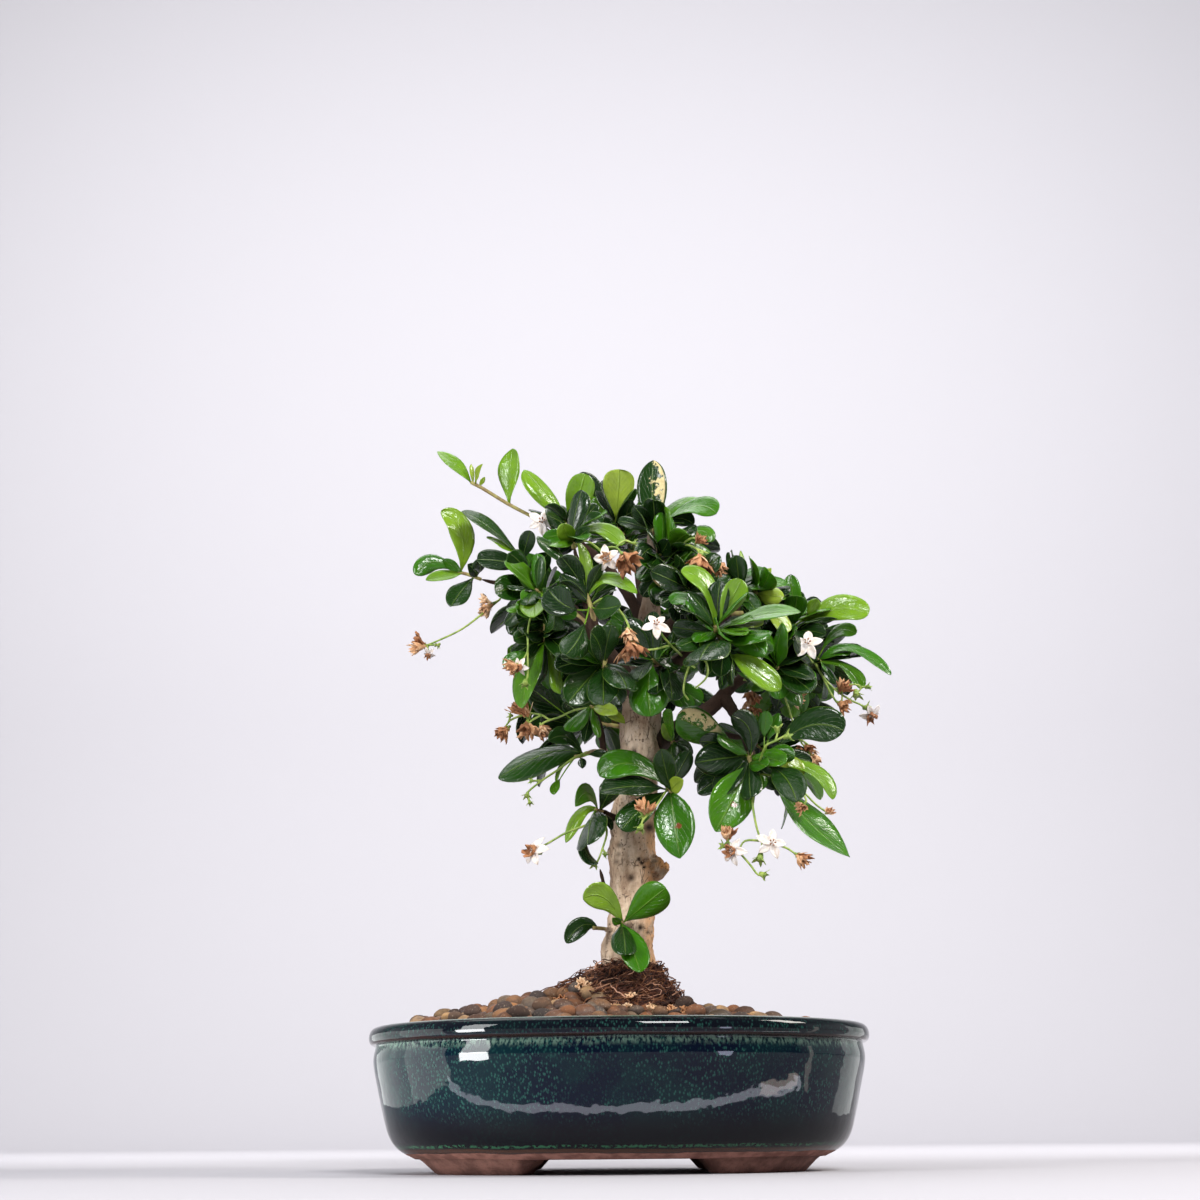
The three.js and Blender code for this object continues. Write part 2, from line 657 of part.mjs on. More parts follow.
const BLOOMS = {
  top_left: {
    stalks: [
      [[-23, 0, 267], [-28, -10, 266], [-31, -16, 270]],
    ],
    heads: [
      [STAR, -31, -17, 270, 6, 0, 0],
    ],
  },
  top: {
    stalks: [
      [[-17, -43, 260], [-12, -50, 261], [-6, -56, 257], [-3, -58, 253]],
      [[-6, -56, 257], [1, -58, 258], [4, -59, 254]],
      [[1, -58, 258], [5, -58, 261], [8, -58, 260]],
    ],
    heads: [
      [CREAM, -3, -60, 253, 5.5, -2, -2],
      [HUSK, 5, -60, 252, 5, 2, -6],
      [CUP, 9, -58, 260, 1.5, 6, 0],
    ],
  },
  top_right: {
    stalks: [
      [[24, -15, 257], [30, -28, 259], [36, -38, 257], [38, -42, 252]],
      [[36, -38, 257], [42, -40, 254], [45, -40, 250]],
      [[30, -28, 259], [34, -34, 262], [37, -36, 261]],
    ],
    heads: [
      [HUSK, 37, -43, 251, 5.5, -2, -8],
      [HUSK, 45, -41, 249, 3.5, 4, -5],
      [HUSK, 37, -37, 261, 2.5, 3, 3],
    ],
  },
  centre: {
    stalks: [
      [[29, -36, 208], [24, -56, 214], [20, -64, 219], [18, -67, 222]],
      [[24, -56, 214], [15, -66, 212], [9, -68, 213]],
    ],
    heads: [
      [STAR, 18, -68, 223, 5.5, 0, 2],
    ],
  },
  centre_left: {
    stalks: [
      [[-10, -49, 232], [-4, -58, 235], [2, -64, 230], [6, -67, 223]],
    ],
    heads: [
      [HUSK, 6, -68, 219, 4, 0, -8],
      [HUSK, 7, -69, 213, 4.5, 1, -9],
    ],
  },
  right: {
    stalks: [
      [[84, 2, 209], [84, -12, 206], [82, -22, 210], [82, -25, 214]],
      [[82, 2, 208], [88, -6, 200], [93, -8, 194], [100, -8, 189], [104, -8, 187]],
      [[93, -8, 194], [99, -8, 196], [104, -8, 195]],
      [[88, -6, 200], [92, -8, 191], [95, -8, 188]],
    ],
    heads: [
      [STAR, 82, -26, 214, 6.5, 0, 2],
      [CREAM, 108, -8, 183, 5, 4, -9],
      [CUP, 106, -8, 186, 2.5, 10, 0],
      [CUP, 102, -8, 192, 3, 1, -9],
      [CUP, 107, -8, 195, 2, 10, 2],
      [HUSK, 96, -9, 195, 3.5, 4, 8],
      [HUSK, 96, -9, 187, 3.5, 6, -5],
    ],
  },
  left: {
    stalks: [
      [[-47, 0, 241], [-49, -8, 235], [-53, -12, 233]],
      [[-49, -8, 235], [-56, -12, 229], [-65, -13, 222], [-75, -13, 217], [-80, -13, 215]],
    ],
    heads: [
      [HUSK, -54, -13, 232, 3.5, -5, -4],
      [HUSK, -83, -13, 215, 4, -9, 1],
      [CREAM, -79, -14, 211, 3, -2, -8],
      [CUP, -75, -13, 215, 1.5, -4, -5],
    ],
  },
  left_hanging: {
    stalks: [
      [[-30, -8, 233], [-35, -28, 229], [-37, -32, 220], [-37, -34, 212], [-39, -35, 208]],
      [[-37, -34, 212], [-37, -35, 201]],
    ],
    heads: [
      [CREAM, -40, -36, 205, 4, -6, -4],
      [HUSK, -43, -36, 205, 3.5, -7, -2],
      [CUP, -38, -35, 198, 2.5, -1, -10],
    ],
  },
  low_left: {
    stalks: [
      [[-10, -9, 187], [-17, -12, 186], [-27, -14, 182], [-31, -14, 184], [-36, -14, 185]],
      [[-27, -14, 182], [-31, -14, 180]],
      [[-31, -14, 184], [-36, -15, 181]],
      [[-36, -14, 185], [-42, -14, 183], [-45, -14, 181]],
    ],
    heads: [
      [HUSK, -38, -15, 186, 4.5, -3, 6],
      [HUSK, -37, -16, 178, 4.5, 0, -8],
      [HUSK, -47, -14, 177, 4, -8, -8],
      [HUSK, -30, -14, 178, 3.5, 5, -8],
      [CUP, -44, -14, 184, 1.5, -6, 1],
    ],
  },
  right_inner: {
    stalks: [
      [[54, 9, 198], [60, -4, 197], [59, -8, 193]],
      [[60, -4, 197], [66, -6, 194], [73, -8, 191]],
    ],
    heads: [
      [HUSK, 58, -9, 191, 4, -1, -10],
      [HUSK, 58, -8, 185, 3, 2, -8],
      [HUSK, 76, -8, 190, 3.5, 9, 0],
    ],
  },
  foot_left: {
    stalks: [
      [[-6, -8, 143], [-11, -18, 138], [-21, -22, 134], [-28, -24, 130], [-32, -24, 128]],
      [[-6, -9, 142], [-4, -14, 135], [-6, -16, 127], [-8, -17, 122]],
      [[-6, -16, 127], [-5, -17, 126]],
    ],
    heads: [
      [CREAM, -34, -25, 127, 6, -6, 2],
      [CUP, -5, -17, 125, 1.5, 4, -2],
      [CUP, -9, -17, 121, 2, -3, -6],
    ],
  },
  low_right: {
    stalks: [
      [[59, -16, 160], [57, -30, 151], [57, -32, 142], [60, -32, 130], [64, -33, 129]],
      [[60, -32, 130], [53, -32, 130], [50, -33, 126]],
      [[60, -32, 130], [60, -32, 125]],
      [[50, -33, 126], [55, -33, 120], [58, -33, 116]],
      [[64, -33, 129], [70, -33, 127], [73, -33, 125]],
      [[50, -33, 126], [46, -33, 130]],
      [[60, -17, 159], [66, -26, 157], [76, -28, 152], [83, -28, 145], [87, -28, 142]],
      [[76, -28, 152], [79, -29, 147], [78, -29, 145]],
      [[61, -18, 162], [63, -36, 170], [67, -38, 172], [71, -38, 174]],
      [[67, -38, 172], [68, -38, 175]],
    ],
    heads: [
      [STAR, 64, -34, 129, 6, 1, 0],
      [CREAM, 48, -34, 126, 5.5, -5, 0],
      [CUP, 59, -32, 123, 3, -3, -10],
      [CUP, 60, -33, 116, 2.5, 8, -4],
      [HUSK, 76, -33, 123, 3.5, 8, -6],
      [HUSK, 46, -33, 133, 3.5, 0, 8],
      [CUP, 44, -33, 128, 2, -8, 2],
      [HUSK, 88, -28, 142, 2, 3, 2],
      [HUSK, 77, -29, 144, 2.5, -4, -2],
      [CUP, 72, -38, 174, 2.5, 7, 2],
      [CUP, 68, -38, 177, 2.5, -1, 9],
    ],
  },
  low_front: {
    stalks: [
      [[22, -16, 153], [18, -34, 147], [14, -38, 142], [13, -38, 142]],
      [[14, -38, 142], [11, -38, 139]],
    ],
    heads: [
      [HUSK, 12, -39, 144, 3.5, -1, 8],
      [CUP, 10, -38, 136, 2.5, -4, -9],
      [CUP, 11, -38, 141, 1.5, -7, 1],
    ],
  },
  buds_left: {
    stalks: [
      [[-12, -8, 168], [-18, -16, 165], [-25, -18, 160], [-31, -18, 156], [-37, -18, 151]],
      [[-31, -18, 156], [-34, -18, 156]],
    ],
    heads: [
      [CUP, -37, -18, 150, 2, -1, -6],
      [CUP, -36, -18, 147, 1.5, 2, -6],
      [CUP, -35, -18, 156, 1.5, -3, 0],
    ],
  },
  low_back_right: {
    stalks: [
      [[66, 7, 204], [72, 20, 190], [77, 22, 173], [82, 22, 166]],
      [[77, 22, 173], [81, 22, 170]],
    ],
    heads: [
      [HUSK, 83, 22, 164, 3.5, 3, -8],
      [HUSK, 81, 22, 169, 3, 4, -6],
      [HUSK, 78, 21, 167, 2.5, -3, -3],
    ],
  },
  tendrils: {
    stalks: [
      [[39, -46, 214], [35, -60, 211], [31, -66, 203], [29, -66, 194], [31, -64, 190]],
      [[35, -60, 211], [39, -68, 206], [39, -70, 200], [34, -68, 195]],
      [[35, -60, 211], [32, -66, 206], [34, -68, 204]],
    ],
    heads: [
    ],
  },
};

// Sprays at the back of the crown: a root on a branch, and the twigs' tips
const BACK_SPRAYS = {
  back_left_high: [[-16, 48, 229], [[-34, 54, 252], [-12, 66, 250]]],
  back_left_low: [[-2, 30, 211], [[-34, 40, 208], [-14, 62, 204]]],
  back_top: [[8, 44, 263], [[-8, 46, 282], [22, 50, 277]]],
  back_middle: [[15, 40, 222], [[2, 68, 222], [26, 74, 214]]],
  back_right_high: [[46, 52, 225], [[48, 64, 250], [28, 70, 246]]],
  back_right: [[59, 56, 234], [[84, 48, 236], [74, 66, 222]]],
  back_right_side: [[68, 6, 205], [[88, 28, 218], [80, 40, 200]]],
  back_right_low: [[56, 46, 173], [[76, 46, 168], [60, 64, 180]]],
  back_low: [[1, 42, 181], [[-22, 40, 186], [8, 58, 188]]],
};
const BACK_LEAVES = 3; // on each twig
const BACK_LENGTHS = [25, 32];
const BACK_LEAN = 0.7;
const BACK_SAG = 2;
const BACK_FROM = 0.4; // the lowest leaf's share of the twig
const BACK_FORK = 0.4; // where the second twig leaves the first
const BACK_DARK = 0.7; // the share of the leaves that are dark
const BACK_TURN = 1 / 3; // radians from one try to the next
const GOLDEN_ANGLE = 2.39996;

const COLOURS = {
  glaze: [0x12272b, 0.12],
  soil: [0x3b2a20, 0.95],
  pebbles: [0x8f8172, 0.7],
  root_mound: [0x6b4029, 0.95],
  bark: [0x9c8a78, 0.85],
  screen: [0x1c1f1e, 0.6],
  petal: [0xe8e2dc, 0.6],
  withered: [0xb98a55, 0.75],
  calyx: [0x7d9a3c, 0.6],
};
const LEAF_COLOURS = [0x1f4423, 0x37702b, 0x7fa23c, 0x93a83a];
const LEAF_ROUGHNESS = 0.4;

const UP = new THREE.Vector3(0, 0, 1);
const RIGHT = new THREE.Vector3(1, 0, 0);
const vector = ([x, y, z]) => new THREE.Vector3(x, y, z);
const clamp = (value, low, high) => Math.min(high, Math.max(low, value));
const taper = (from, to) => (share) => from + (to - from) * share;

// The real place of something seen at x and z in the plane y = 0
function seen([x, y, z]) {
  const place = new THREE.Vector3(x, 0, z);
  return place.sub(EYE).multiplyScalar((y - EYE.y) / -EYE.y).add(EYE);
}

// Where a real place is seen in the plane y = 0
function frontPlace(place) {
  return place.clone().sub(EYE).multiplyScalar(-EYE.y / (place.y - EYE.y)).add(EYE);
}

// Numbers between 0 and 1 in a fixed order
function drawsFrom(seed) {
  let state = seed;
  return () => {
    state = (Math.imul(state, 1664525) + 1013904223) >>> 0;
    return state / 4294967296;
  };
}

// One column of a table at a value of another, which falls or rises
function lookUp(rows, by, value, column) {
  const rising = rows[0][by] < rows.at(-1)[by] ? rows : [...rows].reverse();
  const above = rising.findIndex((row) => row[by] > value);
  if (above === 0) return rising[0][column];
  if (above < 0) return rising.at(-1)[column];
  const [low, high] = [rising[above - 1], rising[above]];
  return taper(low[column], high[column])((value - low[by]) / (high[by] - low[by]));
}

// Solids

function solidOf(geometry) {
  const bare = new THREE.BufferGeometry();
  bare.setAttribute("position", geometry.getAttribute("position"));
  bare.setIndex(geometry.index);
  const merged = mergeVertices(bare);
  return new wasm.Manifold(
    new wasm.Mesh({
      numProp: 3,
      vertProperties: merged.attributes.position.array,
      triVerts: Uint32Array.from(merged.index.array),
    }),
  );
}

// A closed solid from points and triangles, with its faces turned out
function closed(points, triangles) {
  const volume = triangles.reduce((sum, [a, b, c]) => {
    return sum + points[a].dot(points[b].clone().cross(points[c]));
  }, 0);
  const geometry = new THREE.BufferGeometry().setFromPoints(points);
  geometry.setIndex(triangles.flatMap(([a, b, c]) => (volume < 0 ? [a, c, b] : [a, b, c])));
  return solidOf(geometry);
}

// A skin over rings of points, with the ends closed round their middles or,
// on thin pieces, by plain facets
function skin(rings, middles = true) {
  const count = rings[0].length;
  const points = rings.flat();
  const triangles = [];
  for (let row = 0; row < rings.length - 1; row += 1) {
    for (let i = 0; i < count; i += 1) {
      const a = row * count + i;
      const b = row * count + ((i + 1) % count);
      triangles.push([a, b, b + count], [a, b + count, a + count]);
    }
  }
  const last = (rings.length - 1) * count;
  if (middles) {
    const middle = (ring) => ring.reduce((sum, p) => sum.add(p), new THREE.Vector3()).divideScalar(count);
    points.push(middle(rings[0]), middle(rings.at(-1)));
    for (let i = 0; i < count; i += 1) {
      const next = (i + 1) % count;
      triangles.push([points.length - 2, next, i], [points.length - 1, last + i, last + next]);
    }
  } else {
    for (let i = 1; i < count - 1; i += 1) {
      triangles.push([0, i + 1, i], [last, last + i, last + i + 1]);
    }
  }
  return closed(points, triangles);
}

// A stem through places, a little longer at both ends where it is grown
function stem(places, radii, sides, grow = 0) {
  const last = places.length - 1;
  const curve = new THREE.CatmullRomCurve3(places, false, "centripetal");
  const normal = new THREE.Vector3();
  const rings = places.map((place, row) => {
    const forward = curve.getTangent(row / last);
    if (row === 0) normal.crossVectors(forward, Math.abs(forward.z) > STEEP ? RIGHT : UP);
    normal.projectOnPlane(forward).normalize();
    const binormal = forward.clone().cross(normal);
    const radius = taper(...radii)(row / last) + grow;
    const end = row === 0 ? -grow : row === last ? grow : 0;
    return Array.from({ length: sides }, (_, i) => {
      const turn = (2 * Math.PI * i) / sides;
      const out = normal.clone().multiplyScalar(Math.cos(turn)).addScaledVector(binormal, Math.sin(turn));
      return place.clone().addScaledVector(forward, end).addScaledVector(out, radius);
    });
  });
  return skin(rings, false);
}

const union = (solids) => wasm.Manifold.union(solids);

// The greatest body of a solid, without scraps
function largest(solid) {
  const bodies = solid.decompose();
  return bodies.reduce((best, body) => (body.volume() > best.volume() ? body : best));
}

// Pot, soil and what lies on it

// A point of the pot's plan, at a turn and for a half width
function ovalPoint(turn, halfWidth, z) {
  const power = (value) => Math.sign(value) * Math.abs(value) ** (2 / POT_SQUARENESS);
  const halfDepth = Math.max(halfWidth - POT_NARROWER, halfWidth * LEAST_DEPTH);
  return new THREE.Vector3(halfWidth * power(Math.cos(turn)), halfDepth * power(Math.sin(turn)), z);
}

function ovalRing([z, halfWidth]) {
  return Array.from({ length: POT_SIDES }, (_, i) => ovalPoint((2 * Math.PI * i) / POT_SIDES, halfWidth, z));
}

function solidPart(geometry, x, y, z) {
  geometry.translate(x, y, z);
  geometry.deleteAttribute("normal");
  geometry.deleteAttribute("uv");
  return solidOf(geometry);
}

// One foot, square to the oval, with its ends cut back
function foot(signX, signY) {
  const last = FOOT_TURNS.length - 1;
  const sections = FOOT_TURNS.map((degrees, i) => {
    const turn = THREE.MathUtils.degToRad(degrees);
    const low = i === 0 || i === last ? FOOT_END : 0;
    const corner = (halfWidth, z) => {
      return ovalPoint(turn, halfWidth, z).multiply(new THREE.Vector3(signX, signY, 1));
    };
    return [
      corner(FOOT_TOP[0], FOOT_HEIGHT + 1),
      corner(FOOT_TOP[1], FOOT_HEIGHT + 1),
      corner(FOOT_SOLE[1], low),
      corner(FOOT_SOLE[0], low),
    ];
  });
  return skin(sections, false);
}

function potSolid() {
  const wall = skin(POT_WALL.map(ovalRing));
  const feet = [foot(1, -1), foot(1, 1), foot(-1, 1), foot(-1, -1)];
  const drains = [-1, 1].map((side) => {
    const hole = new THREE.CylinderGeometry(DRAIN_RADIUS, DRAIN_RADIUS, 2 * FLOOR_TOP, DRAIN_SIDES);
    return solidPart(hole.rotateX(Math.PI / 2), side * DRAIN_X, 0, FLOOR_TOP);
  });
  return union([wall, ...feet]).subtract(union(drains));
}

const SCREEN_Z = FLOOR_TOP + CLEARANCE + SCREEN_THICK / 2;

function screenPlate(side, grow) {
  const wide = SCREEN_SIDE + 2 * grow;
  return solidPart(new THREE.BoxGeometry(wide, wide, SCREEN_THICK + 2 * grow), side * DRAIN_X, 0, SCREEN_Z);
}

function screenSolid(side) {
  const holes = [];
  for (const row of [-0.5, 0.5]) {
    for (const column of [-0.5, 0.5]) {
      const hole = new THREE.BoxGeometry(SCREEN_HOLE, SCREEN_HOLE, SCREEN_HOLE);
      holes.push(solidPart(hole, side * DRAIN_X + column * SCREEN_PITCH, row * SCREEN_PITCH, SCREEN_Z));
    }
  }
  return screenPlate(side, 0).subtract(union(holes));
}

function soilBody(grow = 0) {
  const wall = SOIL_WALL.map(([z, half]) => ovalRing([z + CLEARANCE, half]));
  const top = SOIL_TOP.map(([z, half]) => ovalRing([z + grow, half]));
  return skin([...wall, ...top]);
}

function moundBody(grow = 0) {
  const draw = drawsFrom(41);
  const rings = MOUND.map(([z, radius, x], row) => {
    const ring = [];
    for (let i = 0; i < MOUND_SIDES; i += 1) {
      const turn = (2 * Math.PI * (i + (row % 2) / 2)) / MOUND_SIDES;
      const reach = radius * taper(1 - MOUND_ROUGH, 1 + MOUND_ROUGH)(draw()) + grow;
      const lift = row > 1 ? MOUND_LIFT * (draw() - 0.5) : 0;
      ring.push(new THREE.Vector3(x + reach * Math.cos(turn), reach * Math.sin(turn), z + lift + grow));
    }
    return ring;
  });
  return skin(rings);
}

// A sheet of bumps on a honeycomb, where each third point is a pebble's top
// and the six points round it are the hollows between pebbles
function pebbleField() {
  const draw = drawsFrom(7);
  const [wallTop, halfWidth] = SOIL_WALL.at(-1);
  const rowSpacing = PEBBLE_SPACING * Math.sqrt(0.75);
  const rows = Math.ceil((2 * (halfWidth - POT_NARROWER)) / rowSpacing) + 1;
  const columns = Math.ceil((2 * halfWidth) / PEBBLE_SPACING) + 1;
  const points = [];
  for (let row = 0; row <= rows; row += 1) {
    for (let column = 0; column <= columns; column += 1) {
      const x = (column + (row % 2) / 2 - columns / 2) * PEBBLE_SPACING;
      const y = (row - rows / 2) * rowSpacing;
      const isTop = (column + 2 * row - Math.floor(row / 2)) % 3 === 0;
      const across = Math.hypot(x / halfWidth, y / (halfWidth - POT_NARROWER));
      const soil = lookUp(SOIL_TOP, 1, across * halfWidth, 0);
      const bump = isTop ? PEBBLE_BUMP * taper(...BUMP_SHARES)(draw()) : HOLLOW_ROUGH * draw();
      const shift = PEBBLE_SPACING * (isTop ? TOP_SHIFT : HOLLOW_SHIFT);
      const place = new THREE.Vector3(shift * (draw() - 0.5), shift * (draw() - 0.5), PEBBLE_BED + bump);
      points.push(place.add(new THREE.Vector3(x, y, soil)));
    }
  }
  const wide = columns + 1;
  const count = points.length;
  const lower = points.map((p) => new THREE.Vector3(p.x, p.y, wallTop - PEBBLE_SPACING));
  const triangles = [];
  for (let row = 0; row < rows; row += 1) {
    for (let column = 0; column < columns; column += 1) {
      const a = row * wide + column;
      const [b, c, d] = [a + 1, a + wide, a + wide + 1];
      const faces = row % 2 ? [[a, b, d], [a, d, c]] : [[a, b, c], [b, d, c]];
      for (const [p, q, r] of faces) triangles.push([p, q, r], [p + count, r + count, q + count]);
    }
  }
  const rim = [];
  for (let column = 0; column < columns; column += 1) {
    rim.push([column, column + 1], [rows * wide + column + 1, rows * wide + column]);
  }
  for (let row = 0; row < rows; row += 1) {
    rim.push([row * wide + columns, (row + 1) * wide + columns], [(row + 1) * wide, row * wide]);
  }
  for (const [p, q] of rim) triangles.push([p, p + count, q + count], [p, q + count, q]);
  return closed([...points, ...lower], triangles);
}

// Trunk and branches are one grown piece, and their axes carry the sprays

const trunkPlaces = TRUNK.map(seen);

function trunkBody(grow) {
  const rings = trunkPlaces.map((middle, row) => {
    const end = row === 0 ? -grow : row === TRUNK.length - 1 ? grow : 0;
    return Array.from({ length: TRUNK_SIDES }, (_, i) => {
      const turn = (2 * Math.PI * i) / TRUNK_SIDES;
      const reach = TRUNK[row][3] + grow;
      return middle.clone().add(new THREE.Vector3(reach * Math.cos(turn), reach * Math.sin(turn), end));
    });
  });
  return skin(rings, false);
}

const branches = BRANCHES.map(([root, end, places]) => ({ radii: [root, end], places: places.map(seen) }));

function treeBody(grow = 0) {
  const arms = branches.map(({ radii, places }) => stem(places, radii, BRANCH_SIDES, grow));
  return union([trunkBody(grow), ...arms]);
}

// Spots along a stem, with the radius and the way it grows there
function along({ places, radii }, step = AXIS_STEP) {
  const last = places.length - 1;
  const spots = [];
  for (let row = 0; row < last; row += 1) {
    const [from, to] = [places[row], places[row + 1]];
    const forward = to.clone().sub(from).normalize();
    const pieces = Math.ceil(from.distanceTo(to) / step);
    for (let i = row === 0 ? 0 : 1; i <= pieces; i += 1) {
      const radius = taper(...radii)((row + i / pieces) / last);
      spots.push({ place: from.clone().lerp(to, i / pieces), radius, forward });
    }
  }
  return spots;
}

const trunkAxis = along({ places: trunkPlaces, radii: [0, 0] }).map(({ place }) => {
  return { place, radius: lookUp(TRUNK, 2, frontPlace(place).z, 3) };
});
const treeAxes = [...trunkAxis, ...branches.flatMap((branch) => along(branch))];

function nearest(spots, measure) {
  return spots.reduce((best, spot) => (measure(spot) < measure(best) ? spot : best));
}

const axisAt = (axes, place) => nearest(axes, (spot) => spot.place.distanceTo(place));

// Whether a place lies clear of the tree's skin
const outside = (place) => treeAxes.every((spot) => spot.place.distanceTo(place) > spot.radius + SEAT_SPACE);

// A stem from the middle of what it grows from
function growFrom(axes, places, radii) {
  const real = places.map(seen);
  const seat = axisAt(axes, real[0]);
  real[0] = seat.place;
  return { places: real, radii: [Math.min(radii[0], SEATED * seat.radius), radii[1]] };
}

// Room that stems, heads and blades take, kept in cells

const cells = new Map();

function cellKeys(place, reach) {
  const [i, j, k] = place.toArray().map((value) => Math.floor(value / CELL));
  const keys = [];
  for (let a = -reach; a <= reach; a += 1) {
    for (let b = -reach; b <= reach; b += 1) {
      for (let c = -reach; c <= reach; c += 1) keys.push(`${i + a},${j + b},${k + c}`);
    }
  }
  return keys;
}

function take(owner, spots) {
  for (const spot of spots) {
    const [key] = cellKeys(spot.place, 0);
    if (!cells.has(key)) cells.set(key, []);
    cells.get(key).push({ ...spot, owner });
  }
}

// How many spots of a blade are too near something else. A blade may meet the
// stems round its own root, and the lower part of its own spray's blades.
function crowding(leaf, spots) {
  let count = 0;
  for (const { place, outer } of spots) {
    for (const key of cellKeys(place, 1)) {
      for (const other of cells.get(key) ?? []) {
        const own = other.owner === leaf.owner;
        const space = other.radius ? other.radius + STEM_SPACE : own ? OWN_SPACE : BLADE_SPACE;
        const allowed = own
          ? !outer || !other.outer
          : other.radius && other.place.distanceTo(leaf.from) < other.radius + ROOT_SPACE;
        if (!allowed && other.place.distanceTo(place) < space) count += 1;
      }
    }
  }
  return count;
}

// Blades

const ribOf = (leaf) => new THREE.QuadraticBezierCurve3(leaf.from, leaf.bend, leaf.tip);

// The share of the rib at a share of the blade, past the leaf's bare stalk
const onRib = (leaf, share) => leaf.bare + (1 - leaf.bare) * share;

// A place on a blade: how far along, and how far out from the rib on one side
function onBlade(leaf, rib, share, out) {
  const forward = rib.getTangent(share);
  const side = forward.clone().cross(leaf.face).normalize();
  const raised = side.clone().cross(forward);
  const place = rib.getPoint(share).addScaledVector(side, out);
  return { place: place.addScaledVector(raised, Math.abs(out) * BLADE_FOLD), raised };
}

const outlineOf = (leaf) => (leaf.width < SMALL_WIDTH ? SMALL_OUTLINE : BLADE_OUTLINE);
const halfWidth = (leaf, share) => (leaf.width / 2) * lookUp(outlineOf(leaf), 0, share, 1);

// A blade's two faces run together at the root. A small one is flat on each
// side of its widest part, and a larger one folds round a middle on the rib.
function bladeBody(leaf, grow = 0) {
  const rib = ribOf(leaf);
  const root = leaf.from.clone().addScaledVector(rib.getTangent(0), -BLADE_SUNK - grow);
  const tip = onBlade(leaf, rib, 1, 0);
  tip.place.addScaledVector(rib.getTangent(1), grow);
  const edges = (side) => {
    return outlineOf(leaf).slice(1, -1).map(([share]) => {
      return onBlade(leaf, rib, onRib(leaf, share), side * (halfWidth(leaf, share) + grow));
    });
  };
  const rim = [...edges(1), tip, ...edges(-1).reverse()];
  const isSmall = leaf.width < SMALL_WIDTH;
  const corners = isSmall ? rim : [...rim, onBlade(leaf, rib, onRib(leaf, BLADE_MIDDLE), 0)];
  const depth = BLADE_THICK / 2 + grow;
  const upper = corners.map(({ place, raised }) => place.clone().addScaledVector(raised, depth));
  const lower = corners.map(({ place, raised }) => place.clone().addScaledVector(raised, -depth));
  const count = corners.length;
  const rootAt = 2 * count;
  const last = rim.length - 1;
  const fans = isSmall ? [[0, 1, 2]] : rim.map((_, p) => [p, (p + 1) % rim.length, count - 1]);
  fans.push([rootAt, 0, last]);
  const below = (corner) => (corner === rootAt ? corner : corner + count);
  const triangles = [[rootAt, count, 0], [rootAt, last, last + count]];
  for (const [p, q, r] of fans) triangles.push([p, q, r], [below(p), below(r), below(q)]);
  for (let p = 0; p < last; p += 1) triangles.push([p, p + count, p + 1 + count], [p, p + 1 + count, p + 1]);
  return closed([...upper, ...lower, root], triangles);
}

function bladeSpots(leaf) {
  const rib = ribOf(leaf);
  const spots = [];
  for (let step = FIRST_STEP; step <= ROOM_STEPS; step += 1) {
    const share = step / ROOM_STEPS;
    for (const side of [-1, 0, 1]) {
      const { place } = onBlade(leaf, rib, onRib(leaf, share), side * halfWidth(leaf, share));
      spots.push({ place, radius: 0, outer: share > OUTER_FROM });
    }
  }
  return spots;
}

// The way that a blade's upper side looks, square to its length: at the eye
// where it is seen as broad as it is, and turned to the sky where narrower
function facing(base, tip, seenWidth) {
  const forward = tip.clone().sub(base);
  const length = forward.length();
  forward.normalize();
  const square = EYE.clone().sub(base).projectOnPlane(forward).normalize();
  const sideways = forward.clone().cross(square);
  if (sideways.z < 0) sideways.negate();
  const turn = Math.min(Math.acos(clamp(seenWidth / (BLADE_RATIO * length), 0, 1)), MOST_TURN);
  const face = square.multiplyScalar(Math.cos(turn)).addScaledVector(sideways, Math.sin(turn));
  return { face, width: Math.min(seenWidth / Math.cos(turn), Math.max(seenWidth, BLADE_RATIO * length)) };
}

// A leaf of the front view, with its tip some way behind its first place
function frontLeaf(owner, row, from, lean, behind) {
  const [baseX, baseZ, tipX, tipZ, seenWidth, tone, middleX, middleZ] = row;
  const span = Math.hypot(tipX - baseX, tipZ - baseZ);
  const wholeSpan = Math.min(MOST_LENGTH, seenWidth / BLADE_RATIO);
  const towards = Math.min(MOST_TOWARDS, Math.sqrt(Math.max(0, wholeSpan ** 2 - span ** 2)));
  const tipY = from.y + (lean * span) / MOST_LENGTH - towards + behind;
  const base = seen([baseX, from.y, baseZ]);
  const tip = seen([tipX, tipY, tipZ]);
  const stalk = Math.max(0, from.distanceTo(base) - PETIOLE_FROM);
  const bare = stalk / (stalk + base.distanceTo(tip));
  const bend = base.clone().lerp(tip, 0.5);
  const { face, width } = facing(base, tip, seenWidth);
  if (middleX === undefined) {
    bend.addScaledVector(face, BLADE_ARCH * base.distanceTo(tip));
  } else {
    const bendX = 2 * middleX - (baseX + tipX) / 2;
    const bendZ = 2 * middleZ - (baseZ + tipZ) / 2;
    bend.copy(seen([bendX, (base.y + tipY) / 2, bendZ]));
  }
  return { owner, from, bend, tip, face, width, tone, bare };
}

// Of the ways that a leaf may grow, the first that is clear, or the clearest
function settle(ways) {
  let best = null;
  let least = Infinity;
  for (const leaf of ways) {
    const count = crowding(leaf, bladeSpots(leaf));
    if (count < least) {
      best = leaf;
      least = count;
    }
    if (count === 0) break;
  }
  take(best.owner, bladeSpots(best));
  return best;
}

// 0, then to and fro by growing steps
const TO_AND_FRO = Array.from({ length: 2 * BEND_TRIES + 1 }, (_, i) => Math.ceil(i / 2) * (i % 2 ? -1 : 1));

